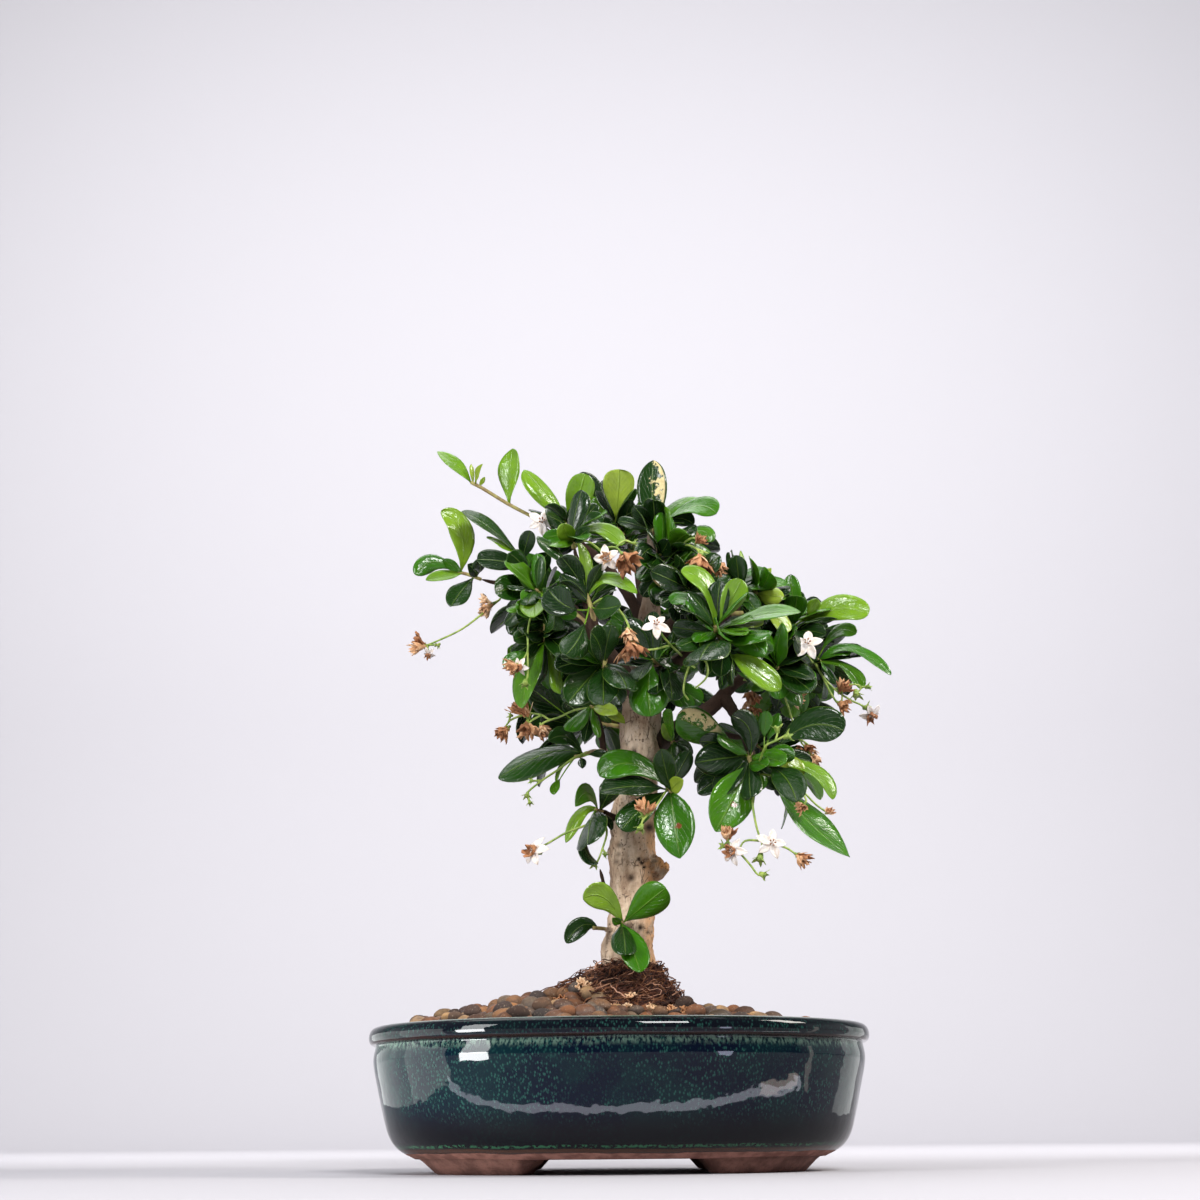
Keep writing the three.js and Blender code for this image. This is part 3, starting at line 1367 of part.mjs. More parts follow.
// Each leaf grows from the nearest place on a twig, and no two from the same
function frontLeaves(owner, twigs, { lean, leaves }) {
  const spots = twigs.flatMap((twig) => along(twig, SEAT_STEP)).filter(({ place }) => outside(place));
  const seats = spots.map(({ place }) => ({ place, front: frontPlace(place), leaves: 0 }));
  return leaves.map(([baseX, baseZ, ...rest]) => {
    const away = ({ front }) => Math.hypot(front.x - baseX, front.z - baseZ);
    const seat = nearest(seats, (spot) => away(spot) + SHARED_SEAT * spot.leaves);
    seat.leaves += 1;
    const row = [baseX, baseZ, ...rest];
    return settle(TO_AND_FRO.map((step) => frontLeaf(owner, row, seat.place, lean, step * BEND_STEP)));
  });
}

// A leaf at the back leans out from its twig towards the twig's end
function backLeaf(owner, from, forward, turn, length, tone) {
  const across = forward.clone().cross(UP).normalize();
  const over = across.clone().cross(forward);
  const radial = across.multiplyScalar(Math.cos(turn)).addScaledVector(over, Math.sin(turn));
  const way = radial.addScaledVector(forward, BACK_LEAN).normalize();
  const tip = from.clone().addScaledVector(way, length);
  const face = UP.clone().add(forward).projectOnPlane(way).normalize();
  const bend = from.clone().lerp(tip, 0.5).addScaledVector(face, BLADE_ARCH * length);
  return { owner, from, bend, tip, face, width: BLADE_RATIO * length, tone, bare: 0 };
}

function backLeaves(owner, twigs, draw) {
  return twigs.flatMap((twig, order) => {
    const spots = along(twig);
    return Array.from({ length: BACK_LEAVES }, (_, i) => {
      const share = taper(BACK_FROM, 1)(i / (BACK_LEAVES - 1));
      const { place, forward } = spots[Math.round(share * (spots.length - 1))];
      const length = taper(...BACK_LENGTHS)(draw());
      const turn = (i + order / 2) * GOLDEN_ANGLE;
      const tone = draw() < BACK_DARK ? DARK : MID;
      const leafAt = (step) => backLeaf(owner, place, forward, turn + step * BACK_TURN, length, tone);
      return settle(TO_AND_FRO.map(leafAt));
    });
  });
}

// Flower heads

function headBody([kind, x, y, z, radius, tiltX, tiltZ], grow = 0) {
  const { rings, notch, towards } = HEAD_SHAPES[kind];
  const way = new THREE.Vector3(tiltX, -towards, tiltZ).normalize();
  const turn = new THREE.Quaternion().setFromUnitVectors(UP, way);
  const count = notch ? 2 * PETALS : PETALS;
  const placed = rings.map(([rise, reach], row) => {
    const end = row === 0 ? -grow : row === rings.length - 1 ? grow : 0;
    return Array.from({ length: count }, (_, i) => {
      const angle = (2 * Math.PI * i) / count;
      const wide = radius * reach * (i % 2 && notch ? notch : 1) + grow;
      const place = new THREE.Vector3(wide * Math.cos(angle), wide * Math.sin(angle), rise * radius + end);
      return place.applyQuaternion(turn).add(seen([x, y, z]));
    });
  });
  return skin(placed, Boolean(notch));
}

// Stalks that reach into their heads, with more of them where heads share one
function reachHeads(stalks, heads) {
  const ends = stalks.map(({ places }) => places.at(-1));
  const necks = [];
  for (const [, x, y, z] of heads) {
    const place = seen([x, y, z]);
    const end = nearest(ends, (candidate) => candidate.distanceTo(place));
    const stalk = stalks[ends.indexOf(end)];
    if (stalk.places.at(-1) === end) stalk.places.push(place);
    else necks.push({ places: [end, place], radii: [STALK_RADIUS, STALK_RADIUS] });
  }
  return [...stalks, ...necks];
}

// Everything that grows, with the stems first and the blades bent round them

// The first stem grows from the axes given, and the others from those before
// it, in the open
function growAll(axes, rows, radii) {
  const stems = [];
  for (const places of rows) {
    const earlier = stems.flatMap((stalk) => along(stalk)).filter(({ place }) => outside(place));
    stems.push(growFrom(stems.length ? earlier : axes, places, radii));
  }
  return stems;
}

const sprays = Object.entries(SPRAYS).map(([key, row]) => {
  return { owner: `leaves_${key}`, twigs: growAll(treeAxes, row.twigs, [TWIG_RADIUS, TWIG_TIP]), row };
});

const backSprays = Object.entries(BACK_SPRAYS).map(([key, [seat, tips]]) => {
  const { place, radius } = axisAt(treeAxes, vector(seat));
  const [mainTip, sideTip] = tips.map(vector);
  const middle = place.clone().lerp(mainTip, BACK_FORK).addScaledVector(UP, BACK_SAG);
  const root = Math.min(TWIG_RADIUS, SEATED * radius);
  const main = { places: [place, middle, mainTip], radii: [root, TWIG_TIP] };
  const bent = middle.clone().lerp(sideTip, 0.5).addScaledVector(UP, BACK_SAG);
  const side = { places: [middle, bent, sideTip], radii: [SEATED * TWIG_TIP, TWIG_TIP] };
  return { owner: `leaves_${key}`, twigs: [main, side] };
});

const twigAxes = [...sprays, ...backSprays].flatMap(({ twigs }) => twigs.flatMap((twig) => along(twig)));

const blooms = Object.entries(BLOOMS).map(([key, { stalks, heads }]) => {
  const stems = growAll([...treeAxes, ...twigAxes], stalks, [STALK_RADIUS, STALK_RADIUS]);
  return { owner: `bloom_${key}`, stems: reachHeads(stems, heads), heads };
});

take("tree", treeAxes);
for (const { owner, twigs } of [...sprays, ...backSprays]) take(owner, twigs.flatMap((twig) => along(twig)));
for (const { owner, stems, heads } of blooms) {
  take(owner, stems.flatMap((stalk) => along(stalk)));
  take(owner, heads.map(([, x, y, z, radius]) => ({ place: seen([x, y, z]), radius: radius * HEAD_ROOM })));
}
for (const spray of sprays) spray.blades = frontLeaves(spray.owner, spray.twigs, spray.row);
const backDraw = drawsFrom(5);
for (const spray of backSprays) spray.blades = backLeaves(spray.owner, spray.twigs, backDraw);

function twigBody({ twigs }, grow = 0) {
  return union(twigs.map(({ places, radii }) => stem(places, radii, TWIG_SIDES, grow)));
}

const leafBody = ({ blades }, grow = 0) => union(blades.map((leaf) => bladeBody(leaf, grow)));

function bloomBody({ stems, heads }, grow = 0) {
  return union([
    ...stems.map(({ places, radii }) => stem(places, radii, STALK_SIDES, grow)),
    ...heads.map((head) => headBody(head, grow)),
  ]);
}

// The same pieces, grown by the clearance, to cut their room out of others
const grownTree = treeBody(CLEARANCE);
const leafy = [...sprays, ...backSprays];
for (const spray of leafy) {
  spray.grownTwigs = twigBody(spray, CLEARANCE);
  spray.grown = spray.grownTwigs.add(leafBody(spray, CLEARANCE));
}
for (const bloom of blooms) bloom.grown = bloomBody(bloom, CLEARANCE);

// A bloom makes its room in the blades, but gives way to one that it would
// cut off its twig
const allBlooms = union(blooms.map(({ grown }) => grown));
const before = leafy.map(({ grownTwigs }) => grownTwigs).concat(grownTree);
for (const spray of leafy) {
  const twigs = twigBody(spray);
  const blades = spray.blades.map((leaf) => {
    const whole = bladeBody(leaf);
    const cut = largest(whole.subtract(allBlooms));
    if (!cut.intersect(twigs).isEmpty()) return cut;
    before.push(bladeBody(leaf, CLEARANCE));
    return whole;
  });
  spray.solid = union([...blades, twigs]).subtract(grownTree);
}
const givenWay = union(before);
for (const bloom of blooms) bloom.solid = bloomBody(bloom).subtract(givenWay);

// What still meets an earlier spray or bloom gives way to it
for (const kind of [blooms, leafy]) {
  kind.forEach((later, i) => {
    for (const earlier of kind.slice(0, i)) later.solid = later.solid.subtract(earlier.grown);
    later.solid = largest(later.solid);
  });
}

function commonest(tones) {
  const count = (tone) => tones.filter((other) => other === tone).length;
  return nearest([DARK, MID, LIGHT, YOUNG], (tone) => -count(tone));
}

function bloomColour(heads) {
  const kinds = heads.map(([kind]) => kind);
  if (kinds.includes(STAR)) return COLOURS.petal;
  return kinds.includes(CREAM) || kinds.includes(HUSK) ? COLOURS.withered : COLOURS.calyx;
}

const grownSoil = soilBody(CLEARANCE);
const soil = soilBody()
  .subtract(grownTree)
  .subtract(union([-1, 1].map((side) => screenPlate(side, CLEARANCE))));
const wisps = WISPS.map((places) => stem(places.map(vector), [WISP_RADIUS, WISP_RADIUS], STALK_SIDES));
const mound = union([moundBody(), ...wisps]).subtract(grownSoil).subtract(grownTree);
const pebbles = pebbleField()
  .intersect(skin(PEBBLE_WALL.map(ovalRing)))
  .subtract(grownSoil)
  .subtract(moundBody(CLEARANCE));

function geometryOf(solid) {
  const { numProp, vertProperties, triVerts } = solid.getMesh();
  const geometry = new THREE.BufferGeometry();
  geometry.setAttribute("position", new THREE.BufferAttribute(vertProperties, numProp));
  geometry.setIndex(new THREE.BufferAttribute(triVerts, 1));
  return geometry;
}

// Whether each edge has just two faces once close corners are one
function isSound(solid) {
  const corners = mergeVertices(geometryOf(solid), WELD).index.array;
  const faces = new Map();
  for (let at = 0; at < corners.length; at += 3) {
    const [a, b, c] = corners.slice(at, at + 3);
    if (a === b || b === c || c === a) continue;
    for (const [p, q] of [[a, b], [b, c], [c, a]]) {
      const edge = p < q ? `${p} ${q}` : `${q} ${p}`;
      faces.set(edge, (faces.get(edge) ?? 0) + 1);
    }
  }
  return [...faces.values()].every((count) => count === 2);
}

// A solid with less detail, but sound and with nothing cut off
function lightened(solid, most) {
  const least = LEAST_KEPT * solid.volume();
  const details = SMOOTH.filter((detail) => detail <= most);
  const lighter = details.map((detail) => largest(solid.asOriginal().simplify(detail)));
  return lighter.find((light) => light.volume() > least && isSound(light)) ?? solid;
}

function piece(name, solid, [color, roughness], most = SMOOTH[0]) {
  const geometry = geometryOf(lightened(largest(solid), most));
  geometry.computeVertexNormals();
  const material = new THREE.MeshStandardMaterial({ color, roughness, metalness: 0, flatShading: true });
  material.name = name;
  const mesh = new THREE.Mesh(geometry, material);
  mesh.name = name;
  return mesh;
}

const bonsai = new THREE.Group();
bonsai.name = "fukien_tea_bonsai";
bonsai.add(
  piece("pot", potSolid(), COLOURS.glaze, RESTING_SMOOTH),
  piece("soil", soil, COLOURS.soil, RESTING_SMOOTH),
  piece("pebbles", pebbles, COLOURS.pebbles, RESTING_SMOOTH),
  piece("root_mound", mound, COLOURS.root_mound, RESTING_SMOOTH),
  piece("drain_screen_left", screenSolid(-1), COLOURS.screen),
  piece("drain_screen_right", screenSolid(1), COLOURS.screen),
  piece("trunk", treeBody(), COLOURS.bark),
  ...blooms.map(({ owner, solid, heads }) => piece(owner, solid, bloomColour(heads))),
  ...leafy.map(({ owner, solid, blades }) => {
    const tone = commonest(blades.map((leaf) => leaf.tone));
    return piece(owner, solid, [LEAF_COLOURS[tone], LEAF_ROUGHNESS]);
  }),
);

// The origin goes under the middle of all that the piece fills
const middle = new THREE.Box3().setFromObject(bonsai).getCenter(new THREE.Vector3());
bonsai.position.set(-middle.x, -middle.y, 0);

export default bonsai;
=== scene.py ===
"""Looks of a fukien tea bonsai in its glazed pot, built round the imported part.

Tables and shapes are in millimetres, with their origin on the surface that
the feet stand on, under the middle of the pot. They are put in the part's own
frame, in metres, when a mesh is made.
"""

import math
import random

import bmesh
import bpy
import numpy as np
from mathutils import Matrix, Vector, kdtree, noise


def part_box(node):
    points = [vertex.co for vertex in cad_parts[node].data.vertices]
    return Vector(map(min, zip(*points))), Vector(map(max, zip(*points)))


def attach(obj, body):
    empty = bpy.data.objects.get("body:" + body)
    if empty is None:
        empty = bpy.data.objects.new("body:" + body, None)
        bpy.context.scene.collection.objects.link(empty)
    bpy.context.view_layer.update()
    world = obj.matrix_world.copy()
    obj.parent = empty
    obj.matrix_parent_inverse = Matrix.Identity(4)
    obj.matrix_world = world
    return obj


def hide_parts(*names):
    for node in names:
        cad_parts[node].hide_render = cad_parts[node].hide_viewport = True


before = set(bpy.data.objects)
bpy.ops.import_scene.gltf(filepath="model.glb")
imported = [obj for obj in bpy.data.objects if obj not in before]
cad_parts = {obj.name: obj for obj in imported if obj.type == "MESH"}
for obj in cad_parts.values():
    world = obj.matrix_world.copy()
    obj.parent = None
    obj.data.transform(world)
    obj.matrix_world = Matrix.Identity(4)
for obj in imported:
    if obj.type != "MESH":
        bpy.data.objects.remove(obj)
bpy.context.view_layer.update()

# Tones of the leaves, from the oldest to the youngest
DARK = 0
MID = 1
LIGHT = 2
YOUNG = 3

# Kinds of flower head
STAR = "star"
CREAM = "cream"
HUSK = "husk"
CUP = "cup"

# Materials
LEAF, EATEN_LEAF, SPOTTED_LEAF = "leaf", "eaten leaf", "spotted leaf"
BARK, TWIG, PETAL, WITHERED, CALYX = "bark", "twig", "petal", "withered", "calyx"
GLAZE, CLAY, PEBBLES, COIR, SOIL = "glaze", "clay", "pebble", "coir", "soil"
SCREEN, FLOOR = "screen", "floor"

# The eye of the photograph. A place in the crown is written [x, y, z]: x and z
# as it is seen from the eye in the plane y = 0, and y how far behind that
# plane it really lies.
EYE = np.array([-6.0, -750.0, 15.0])
EYE_PITCH = math.radians(16.3)
EYE_ROLL = math.radians(-0.5)
LENS = 54.6
SENSOR = 36.0

# Tables that the part's solids are built from too: the trunk's places with
# the radius there, and branches as radius at the root, at the end, and places
TRUNK = [
    [3, 0, 40, 9], [3.5, 0, 66, 11.6], [4, 0, 80, 11.2], [4, 0, 86, 10.4], [5.5, 0, 98.5, 9.5],
    [6.5, 0, 109.5, 9.3], [6.5, 0, 119.5, 9.8], [6.5, 0, 129.5, 9.5], [8, 0, 147.5, 8.8],
    [10, 0, 162.5, 8.7], [11, 0, 188, 8.2], [12.5, 1, 199, 7.2], [14, 2, 216.5, 5.6], [16, 0, 234, 4],
    [17.5, -4, 248.5, 2.6], [16, -6, 263, 1.5],
]
BRANCHES = [
    [4, 0.9, [[11, 0, 188], [0, -6, 207], [-16, -8, 223], [-31, -4, 235], [-46, 0, 241], [-57, 0, 244]]],
    [3.2, 1.1, [[12, 1, 194], [-2, 30, 211], [-16, 48, 229], [-27, 52, 243]]],
    [3.4, 1.3, [
        [12, 0, 188], [4, -26, 200], [-4, -42, 209], [-8, -50, 220], [-14, -47, 244], [-17, -43, 258],
    ]],
    [2.6, 0.9, [[14, 2, 223], [-1, 4, 247], [-16, 2, 261], [-30, 0, 269]]],
    [2.8, 1, [[14, 2, 216], [11, 34, 243], [8, 44, 263]]],
    [4.4, 1.2, [[15, 0, 171], [31, 10, 180], [42, 12, 188], [52, 10, 198], [68, 6, 205], [84, 2, 209]]],
    [3.2, 1.2, [[13, 0, 194], [24, -28, 204], [35, -44, 213], [45, -50, 219]]],
    [2.8, 1, [[14, 2, 214], [32, -6, 229], [46, -12, 237], [58, -14, 238]]],
    [3, 1.1, [[13, 1, 199], [28, 34, 212], [46, 52, 225], [59, 56, 234]]],
    [3, 1.2, [[13, 1, 203], [15, 40, 222], [17, 60, 234]]],
    [2.4, 1.5, [[46, 12, 191], [53, 2, 179], [56, -10, 169], [59, -16, 160]]],
    [2, 1, [[31, 10, 180], [45, 38, 175], [56, 46, 173]]],
    [1.7, 1.1, [[6, 0, 157], [-3, -3, 162], [-6, -6, 176], [-8, -8, 186]]],
    [1.2, 0.9, [[-4, -4, 168], [-8, -6, 168], [-12, -8, 168]]],
    [1.6, 1.1, [[5, 0, 138], [-3, -6, 141], [-6, -8, 143]]],
    [1.7, 1.2, [[11, -3, 166], [17, -12, 158], [22, -16, 153]]],
    [2, 1, [[10, 2, 160], [5, 30, 174], [1, 42, 181]]],
    [1.6, 1.2, [[6, -4, 96], [4, -10, 96], [2, -13, 96]]],
    [1.2, 0.8, [[2, -4, 93], [-3, -7, 94], [-6, -8, 95]]],
    [0.9, 0.6, [[1, 0, 108], [-5, -2, 112], [-6, -3, 115], [-7, -3, 119]]],
    [5.6, 3.2, [[9, -1, 119], [16, -2, 118], [19, -2, 115]]],
    [3, 2.2, [[12, -2, 123], [16, -3, 121]]],
]
# Leafy sprays: the lean, which is how far a leaf's tip lies behind its base, or in
# front of it below zero, the twigs, and the leaves as [base x, base z, tip x,
# tip z, seen width, tone] and, where the rib is bent, the x and z of its middle
SPRAYS = {
    "top_left_tip": (-2, [
        [[-29.5, 0, 269], [-35.5, 1, 272.5], [-46, 2, 278.5], [-57.5, 2, 286], [-62, 2, 288.5]],
    ], [
        [-62, 289, -77, 303, 5.5, LIGHT], [-45, 279, -44, 304, 9, LIGHT], [-58, 287, -56, 291, 2, YOUNG],
        [-61, 290, -62, 297, 2, YOUNG], [-60, 288, -57, 297, 2, YOUNG],
    ]),
    "left_tip": (-4, [
        [[-57, 0, 244], [-62, -1, 246], [-67, -2, 247.5]],
    ], [
        [-66, 249, -75, 275, 10.5, LIGHT, -66, 266], [-67, 247, -85, 246, 8, MID, -78, 252],
        [-67, 245, -81, 244, 4.5, LIGHT], [-67, 249, -74, 253, 4.5, MID], [-55, 245, -63, 251, 6, DARK],
        [-57, 243, -70, 232, 8.5, DARK, -65, 238], [-53, 244, -59, 253, 7, DARK],
    ]),
    "left_upper": (-4, [
        [[-32, -4, 234.5], [-36, -8, 245.5], [-40.5, -8, 254.5]],
    ], [
        [-41, 256, -66, 275, 5, DARK, -54, 268], [-42, 256, -55, 263, 3, LIGHT],
        [-38, 250, -59, 253, 8.5, DARK], [-33, 242, -51, 238, 11.5, DARK], [-33, 243, -44, 248, 4, MID],
        [-36, 248, -45, 256, 8, DARK], [-35, 246, -28, 256, 8, DARK], [-40, 253, -36, 266, 7, DARK],
    ]),
    "left_lower": (-6, [
        [[-29.5, -6, 233], [-31.5, -16, 236.5], [-33.5, -22, 239]],
        [[-30.5, -4, 233.5], [-29.5, -16, 224], [-29.5, -22, 216]],
    ], [
        [-32, 239, -34, 227, 10.5, LIGHT], [-34, 235, -47, 224, 6.5, DARK], [-34, 233, -46, 232, 6, DARK],
        [-31, 235, -40, 235, 6, MID], [-30, 233, -28, 222, 8.5, DARK], [-39, 215, -46, 204, 7, MID],
        [-29, 216, -39, 187, 9.5, MID, -36, 203], [-29, 215, -36, 204, 4, LIGHT],
        [-28, 212, -23, 193, 5, LIGHT], [-30, 221, -43, 217, 7.5, DARK], [-28, 217, -18, 207, 9.5, DARK],
        [-29, 223, -25, 234, 8.5, DARK], [-30, 220, -37, 212, 7, DARK],
    ]),
    "top_left_mid": (-4, [
        [[-16, 2, 261], [-19, 0, 265], [-20, -2, 269.5]],
    ], [
        [-21, 270, -39, 294, 8.5, LIGHT], [-23, 269, -36, 287, 6, DARK], [-18, 270, -12, 292, 12, LIGHT],
        [-16, 265, -7, 278, 7, DARK], [-21, 266, -29, 273, 6, DARK], [-17, 262, -4, 273, 7, DARK],
    ]),
    "front_top": (-4, [
        [[-17, -43, 257.5], [-17.5, -45, 260], [-18, -48, 262]],
    ], [
        [-18, 257, -22, 269, 7.5, LIGHT], [-16, 260, -10, 267, 5, DARK],
        [-15, 259, 4, 259, 5, LIGHT, -6, 266], [-18, 259, -31, 261, 6, MID, -25, 263],
    ]),
    "front_stem": (-4, [
        [[-7.5, -50, 219], [-9.5, -52, 229], [-12, -52, 238]],
    ], [
        [-11, 239, -15, 260, 5, LIGHT], [-17, 243, -33, 261, 4, DARK, -25, 257],
        [-10, 238, 10, 237, 5, LIGHT, -3, 244], [-13, 217, -28, 239, 13, DARK],
        [-9, 225, 3, 232, 7.5, DARK], [-10, 234, -23, 246, 8.5, DARK], [-8, 218, -21, 210, 10, DARK],
    ]),
    "crown_top": (0, [
        [[9.5, 36, 253], [5.5, 26, 261.5], [1, 18, 268.5]],
    ], [
        [2, 273, 3, 294, 14, YOUNG], [0, 270, -7, 284, 5, DARK], [2, 268, -4, 289, 7, DARK],
        [5, 265, 17, 274, 7, DARK, 12, 274], [2, 266, -8, 270, 7, DARK], [4, 266, 8, 280, 8, DARK],
        [0, 271, -12, 280, 6, MID],
    ]),
    "top_right": (-3, [
        [[16, -6, 262], [17, -8, 264.5], [18, -9, 266.5]],
    ], [
        [17, 267, 18, 298, 13, DARK], [19, 267, 39, 277, 6, MID, 29, 278],
        [22, 261, 45, 273, 5, MID, 35, 275], [18, 262, 35, 268, 7, DARK, 27, 270],
        [16, 263, 2, 270, 5, DARK, 8, 268], [17, 266, 9, 277, 7, DARK],
    ]),
    "top_right_low": (-5, [
        [[17, -6, 251], [21, -14, 255], [24, -16, 257]],
    ], [
        [25, 257, 42, 260, 6, MID, 37, 265], [23, 252, 35, 259, 4, DARK], [21, 251, 24, 261, 6.5, DARK],
        [23, 255, 35, 250, 7, DARK], [20, 252, 11, 252, 8, DARK, 16, 257], [21, 254, 11, 243, 8, DARK],
        [24, 256, 42, 252, 6, MID, 34, 257],
    ]),
    "centre_high": (-6, [
        [[20, -8, 247.5], [25, -24, 241], [32.5, -34, 238.5]],
    ], [
        [33, 238, 16, 247, 10.5, DARK], [31, 238, 20, 232, 8.5, DARK], [33, 238, 45, 245, 7.5, DARK],
        [28, 239, 33, 252, 8, DARK], [26, 241, 18, 234, 7.5, DARK], [32, 237, 37, 229, 8.5, DARK],
    ]),
    "centre_front": (-3, [
        [[43.5, -50, 218], [43.5, -56, 220.5], [43, -58, 222.5]],
        [[44.5, -50, 218], [46, -56, 215], [49, -56, 210.5]],
    ], [
        [43, 222, 32, 238, 7, DARK], [44, 223, 29, 247, 7, LIGHT, 40, 240],
        [42, 221, 24, 233, 5.5, MID, 33, 233], [42, 219, 25, 222, 7.5, DARK], [39, 216, 27, 213, 6, DARK],
        [46, 225, 55, 243, 9.5, LIGHT], [46, 221, 80, 228, 5, MID, 62, 227], [46, 220, 64, 224, 4.5, YOUNG],
        [46, 216, 64, 209, 9.5, MID, 56, 216], [50, 208, 70, 194, 9.5, LIGHT],
        [46, 213, 45, 200, 8.5, DARK], [46, 216, 36, 207, 8.5, DARK], [48, 211, 39, 200, 7.5, DARK],
        [47, 213, 56, 202, 7, DARK],
    ]),
    "centre_low": (-5, [
        [[24, -28, 203], [20, -38, 205.5], [16, -44, 207.5]],
    ], [
        [27, 204, 12, 198, 7, LIGHT], [11, 208, 15, 183, 16, MID], [36, 210, 17, 208, 10, DARK],
        [21, 206, 24, 190, 8.5, DARK], [16, 208, 17, 229, 8.5, DARK], [14, 209, 4, 224, 8.5, DARK],
        [19, 208, 32, 220, 7.5, DARK],
    ]),
    "centre_left_low": (-5, [
        [[-4, -42, 207.5], [-4.5, -46, 206], [-5.5, -48, 204]],
    ], [
        [-6, 207, -20, 189, 13.5, DARK], [-3, 204, -5, 188, 12.5, DARK], [-8, 210, -25, 204, 9.5, DARK],
        [-2, 208, 5, 195, 10, DARK], [-4, 209, -10, 220, 8.5, DARK], [-6, 208, -1, 223, 8.5, DARK],
        [-7, 206, -15, 217, 7.5, DARK],
    ]),
    "right_top_inner": (-3, [
        [[46.5, -12, 237.5], [51, -20, 238.5], [55, -24, 238]],
    ], [
        [54, 238, 53, 254, 8.5, DARK], [58, 240, 55, 256, 2.5, LIGHT], [50, 239, 42, 251, 7, DARK],
        [49, 237, 37, 239, 7, DARK], [55, 237, 61, 228, 7, DARK], [46, 238, 39, 255, 4.5, MID],
    ]),
    "right_top_outer": (-4, [
        [[58, -14, 238], [60, -18, 237.5], [62, -20, 236.5]],
    ], [
        [61, 238, 68, 248, 4.5, YOUNG], [60, 235, 73, 235, 7.5, YOUNG],
        [63, 231, 74, 219, 6.5, YOUNG, 69, 226], [62, 235, 67, 228, 6, DARK], [59, 237, 65, 247, 5, DARK],
    ]),
    "right_upper": (-3, [
        [[69.5, 6, 205.5], [74, -2, 215], [77.5, -6, 225.5]],
    ], [
        [77, 228, 76, 245, 7.5, MID], [76, 226, 68, 241, 5, DARK], [79, 226, 81, 237, 4.5, DARK],
        [79, 225, 109, 227, 11, LIGHT, 95, 230], [85, 225, 87, 234, 5.5, LIGHT],
        [75, 218, 63, 219, 7.5, DARK], [77, 222, 90, 218, 7, DARK],
    ]),
    "right_tip": (-3, [
        [[84.5, 2, 208.5], [86, 1, 207], [87.5, 0, 206]],
    ], [
        [87, 212, 103, 218, 5.5, MID, 95, 220], [88, 209, 117, 200, 4, MID, 101, 212],
        [87, 206, 104, 194, 4.5, MID, 98, 203], [85, 206, 94, 196, 4.5, DARK], [84, 207, 77, 216, 7, DARK],
        [84, 208, 74, 202, 7.5, DARK],
    ]),
    "right_low": (-5, [
        [[68.5, 6, 204.5], [69, -10, 204], [69, -18, 203.5]],
    ], [
        [69, 204, 83, 193, 11, DARK], [68, 205, 84, 209, 8.5, DARK], [68, 204, 62, 192, 7.5, DARK],
        [68, 207, 65, 216, 7.5, DARK], [70, 204, 78, 187, 7, MID], [66, 207, 55, 204, 7.5, DARK],
    ]),
    "low_left_out": (-2, [
        [[-10.5, -7, 167.5], [-14, -10, 166.5], [-17, -12, 166]],
    ], [
        [-12, 168, -49, 157, 10.5, DARK, -28, 168], [-13, 169, -28, 173, 7, DARK, -20, 175],
        [-13, 168, -25, 155, 2, LIGHT, -21, 164], [-25, 158, -26, 150, 4, MID],
        [-10, 168, -14, 161, 3.5, DARK, -13, 165], [-11, 169, -2, 166, 3.5, DARK],
    ]),
    "low_left_top": (-3, [
        [[-8, -8, 185.5], [-9.5, -10, 187], [-10.5, -11, 187.5]],
    ], [
        [-11, 186, -20, 177, 6.5, MID], [-10, 185, -13, 172, 6, DARK], [-9, 186, -7, 174, 4, MID],
        [-8, 188, 1, 184, 6, YOUNG], [-6, 187, 4, 180, 4, YOUNG],
    ]),
    "low_left_foot": (-3, [
        [[-5.5, -8, 142.5], [-7, -11, 143], [-8.5, -14, 143.5]],
    ], [
        [-7, 144, -17, 145, 7.5, MID, -12, 151], [-7, 143, -21, 130, 4.5, LIGHT, -15, 143],
        [-7, 143, -12, 129, 8.5, DARK], [-10, 132, -8, 121, 5.5, DARK, -14, 127],
        [-6, 144, 0, 157, 8.5, DARK], [-5, 142, -2, 135, 3.5, DARK],
    ]),
    "low_front": (-5, [
        [[20.5, -16, 153.5], [22, -19, 152], [23, -23, 151]],
    ], [
        [21, 153, -7, 158, 10.5, MID, 7, 163], [18, 152, 2, 135, 11, DARK], [22, 152, 26, 123, 16.5, MID],
        [23, 152, 28, 156, 6.5, YOUNG], [22, 153, 19, 169, 9, DARK], [23, 153, 31, 168, 7.5, DARK],
        [19, 154, -7, 151, 8.5, DARK],
    ]),
    "low_right_in": (-5, [
        [[56, -11, 168], [56, -18, 165.5], [56, -20, 162.5]],
    ], [
        [53, 175, 26, 183, 14.5, MID, 39, 178], [59, 165, 49, 183, 10, DARK, 57, 177],
        [56, 167, 33, 163, 14, DARK], [55, 159, 41, 134, 17.5, MID], [54, 162, 34, 150, 8.5, DARK],
        [57, 160, 56, 148, 8.5, DARK], [52, 173, 35, 172, 8.5, DARK],
    ]),
    "low_right_out": (-3, [
        [[59, -16, 160.5], [60.5, -18, 161.5], [62, -18, 162]],
    ], [
        [63, 172, 96, 176, 14.5, DARK, 79, 180], [60, 164, 75, 165, 7.5, MID, 67, 167],
        [62, 161, 78, 157, 6.5, YOUNG, 71, 163], [63, 167, 82, 163, 8.5, DARK],
        [61, 153, 75, 146, 8.5, DARK, 70, 155], [61, 152, 96, 123, 10, MID, 77, 138],
        [64, 161, 85, 147, 5.5, MID, 78, 157], [63, 163, 90, 147, 5, LIGHT, 82, 160],
        [61, 173, 64, 185, 6, MID], [62, 172, 69, 184, 5, MID], [61, 157, 67, 155, 5, DARK],
    ]),
    "trunk_right": (-3, [
        [[19, 8, 173], [22, 4, 172.5], [24.5, -2, 172]],
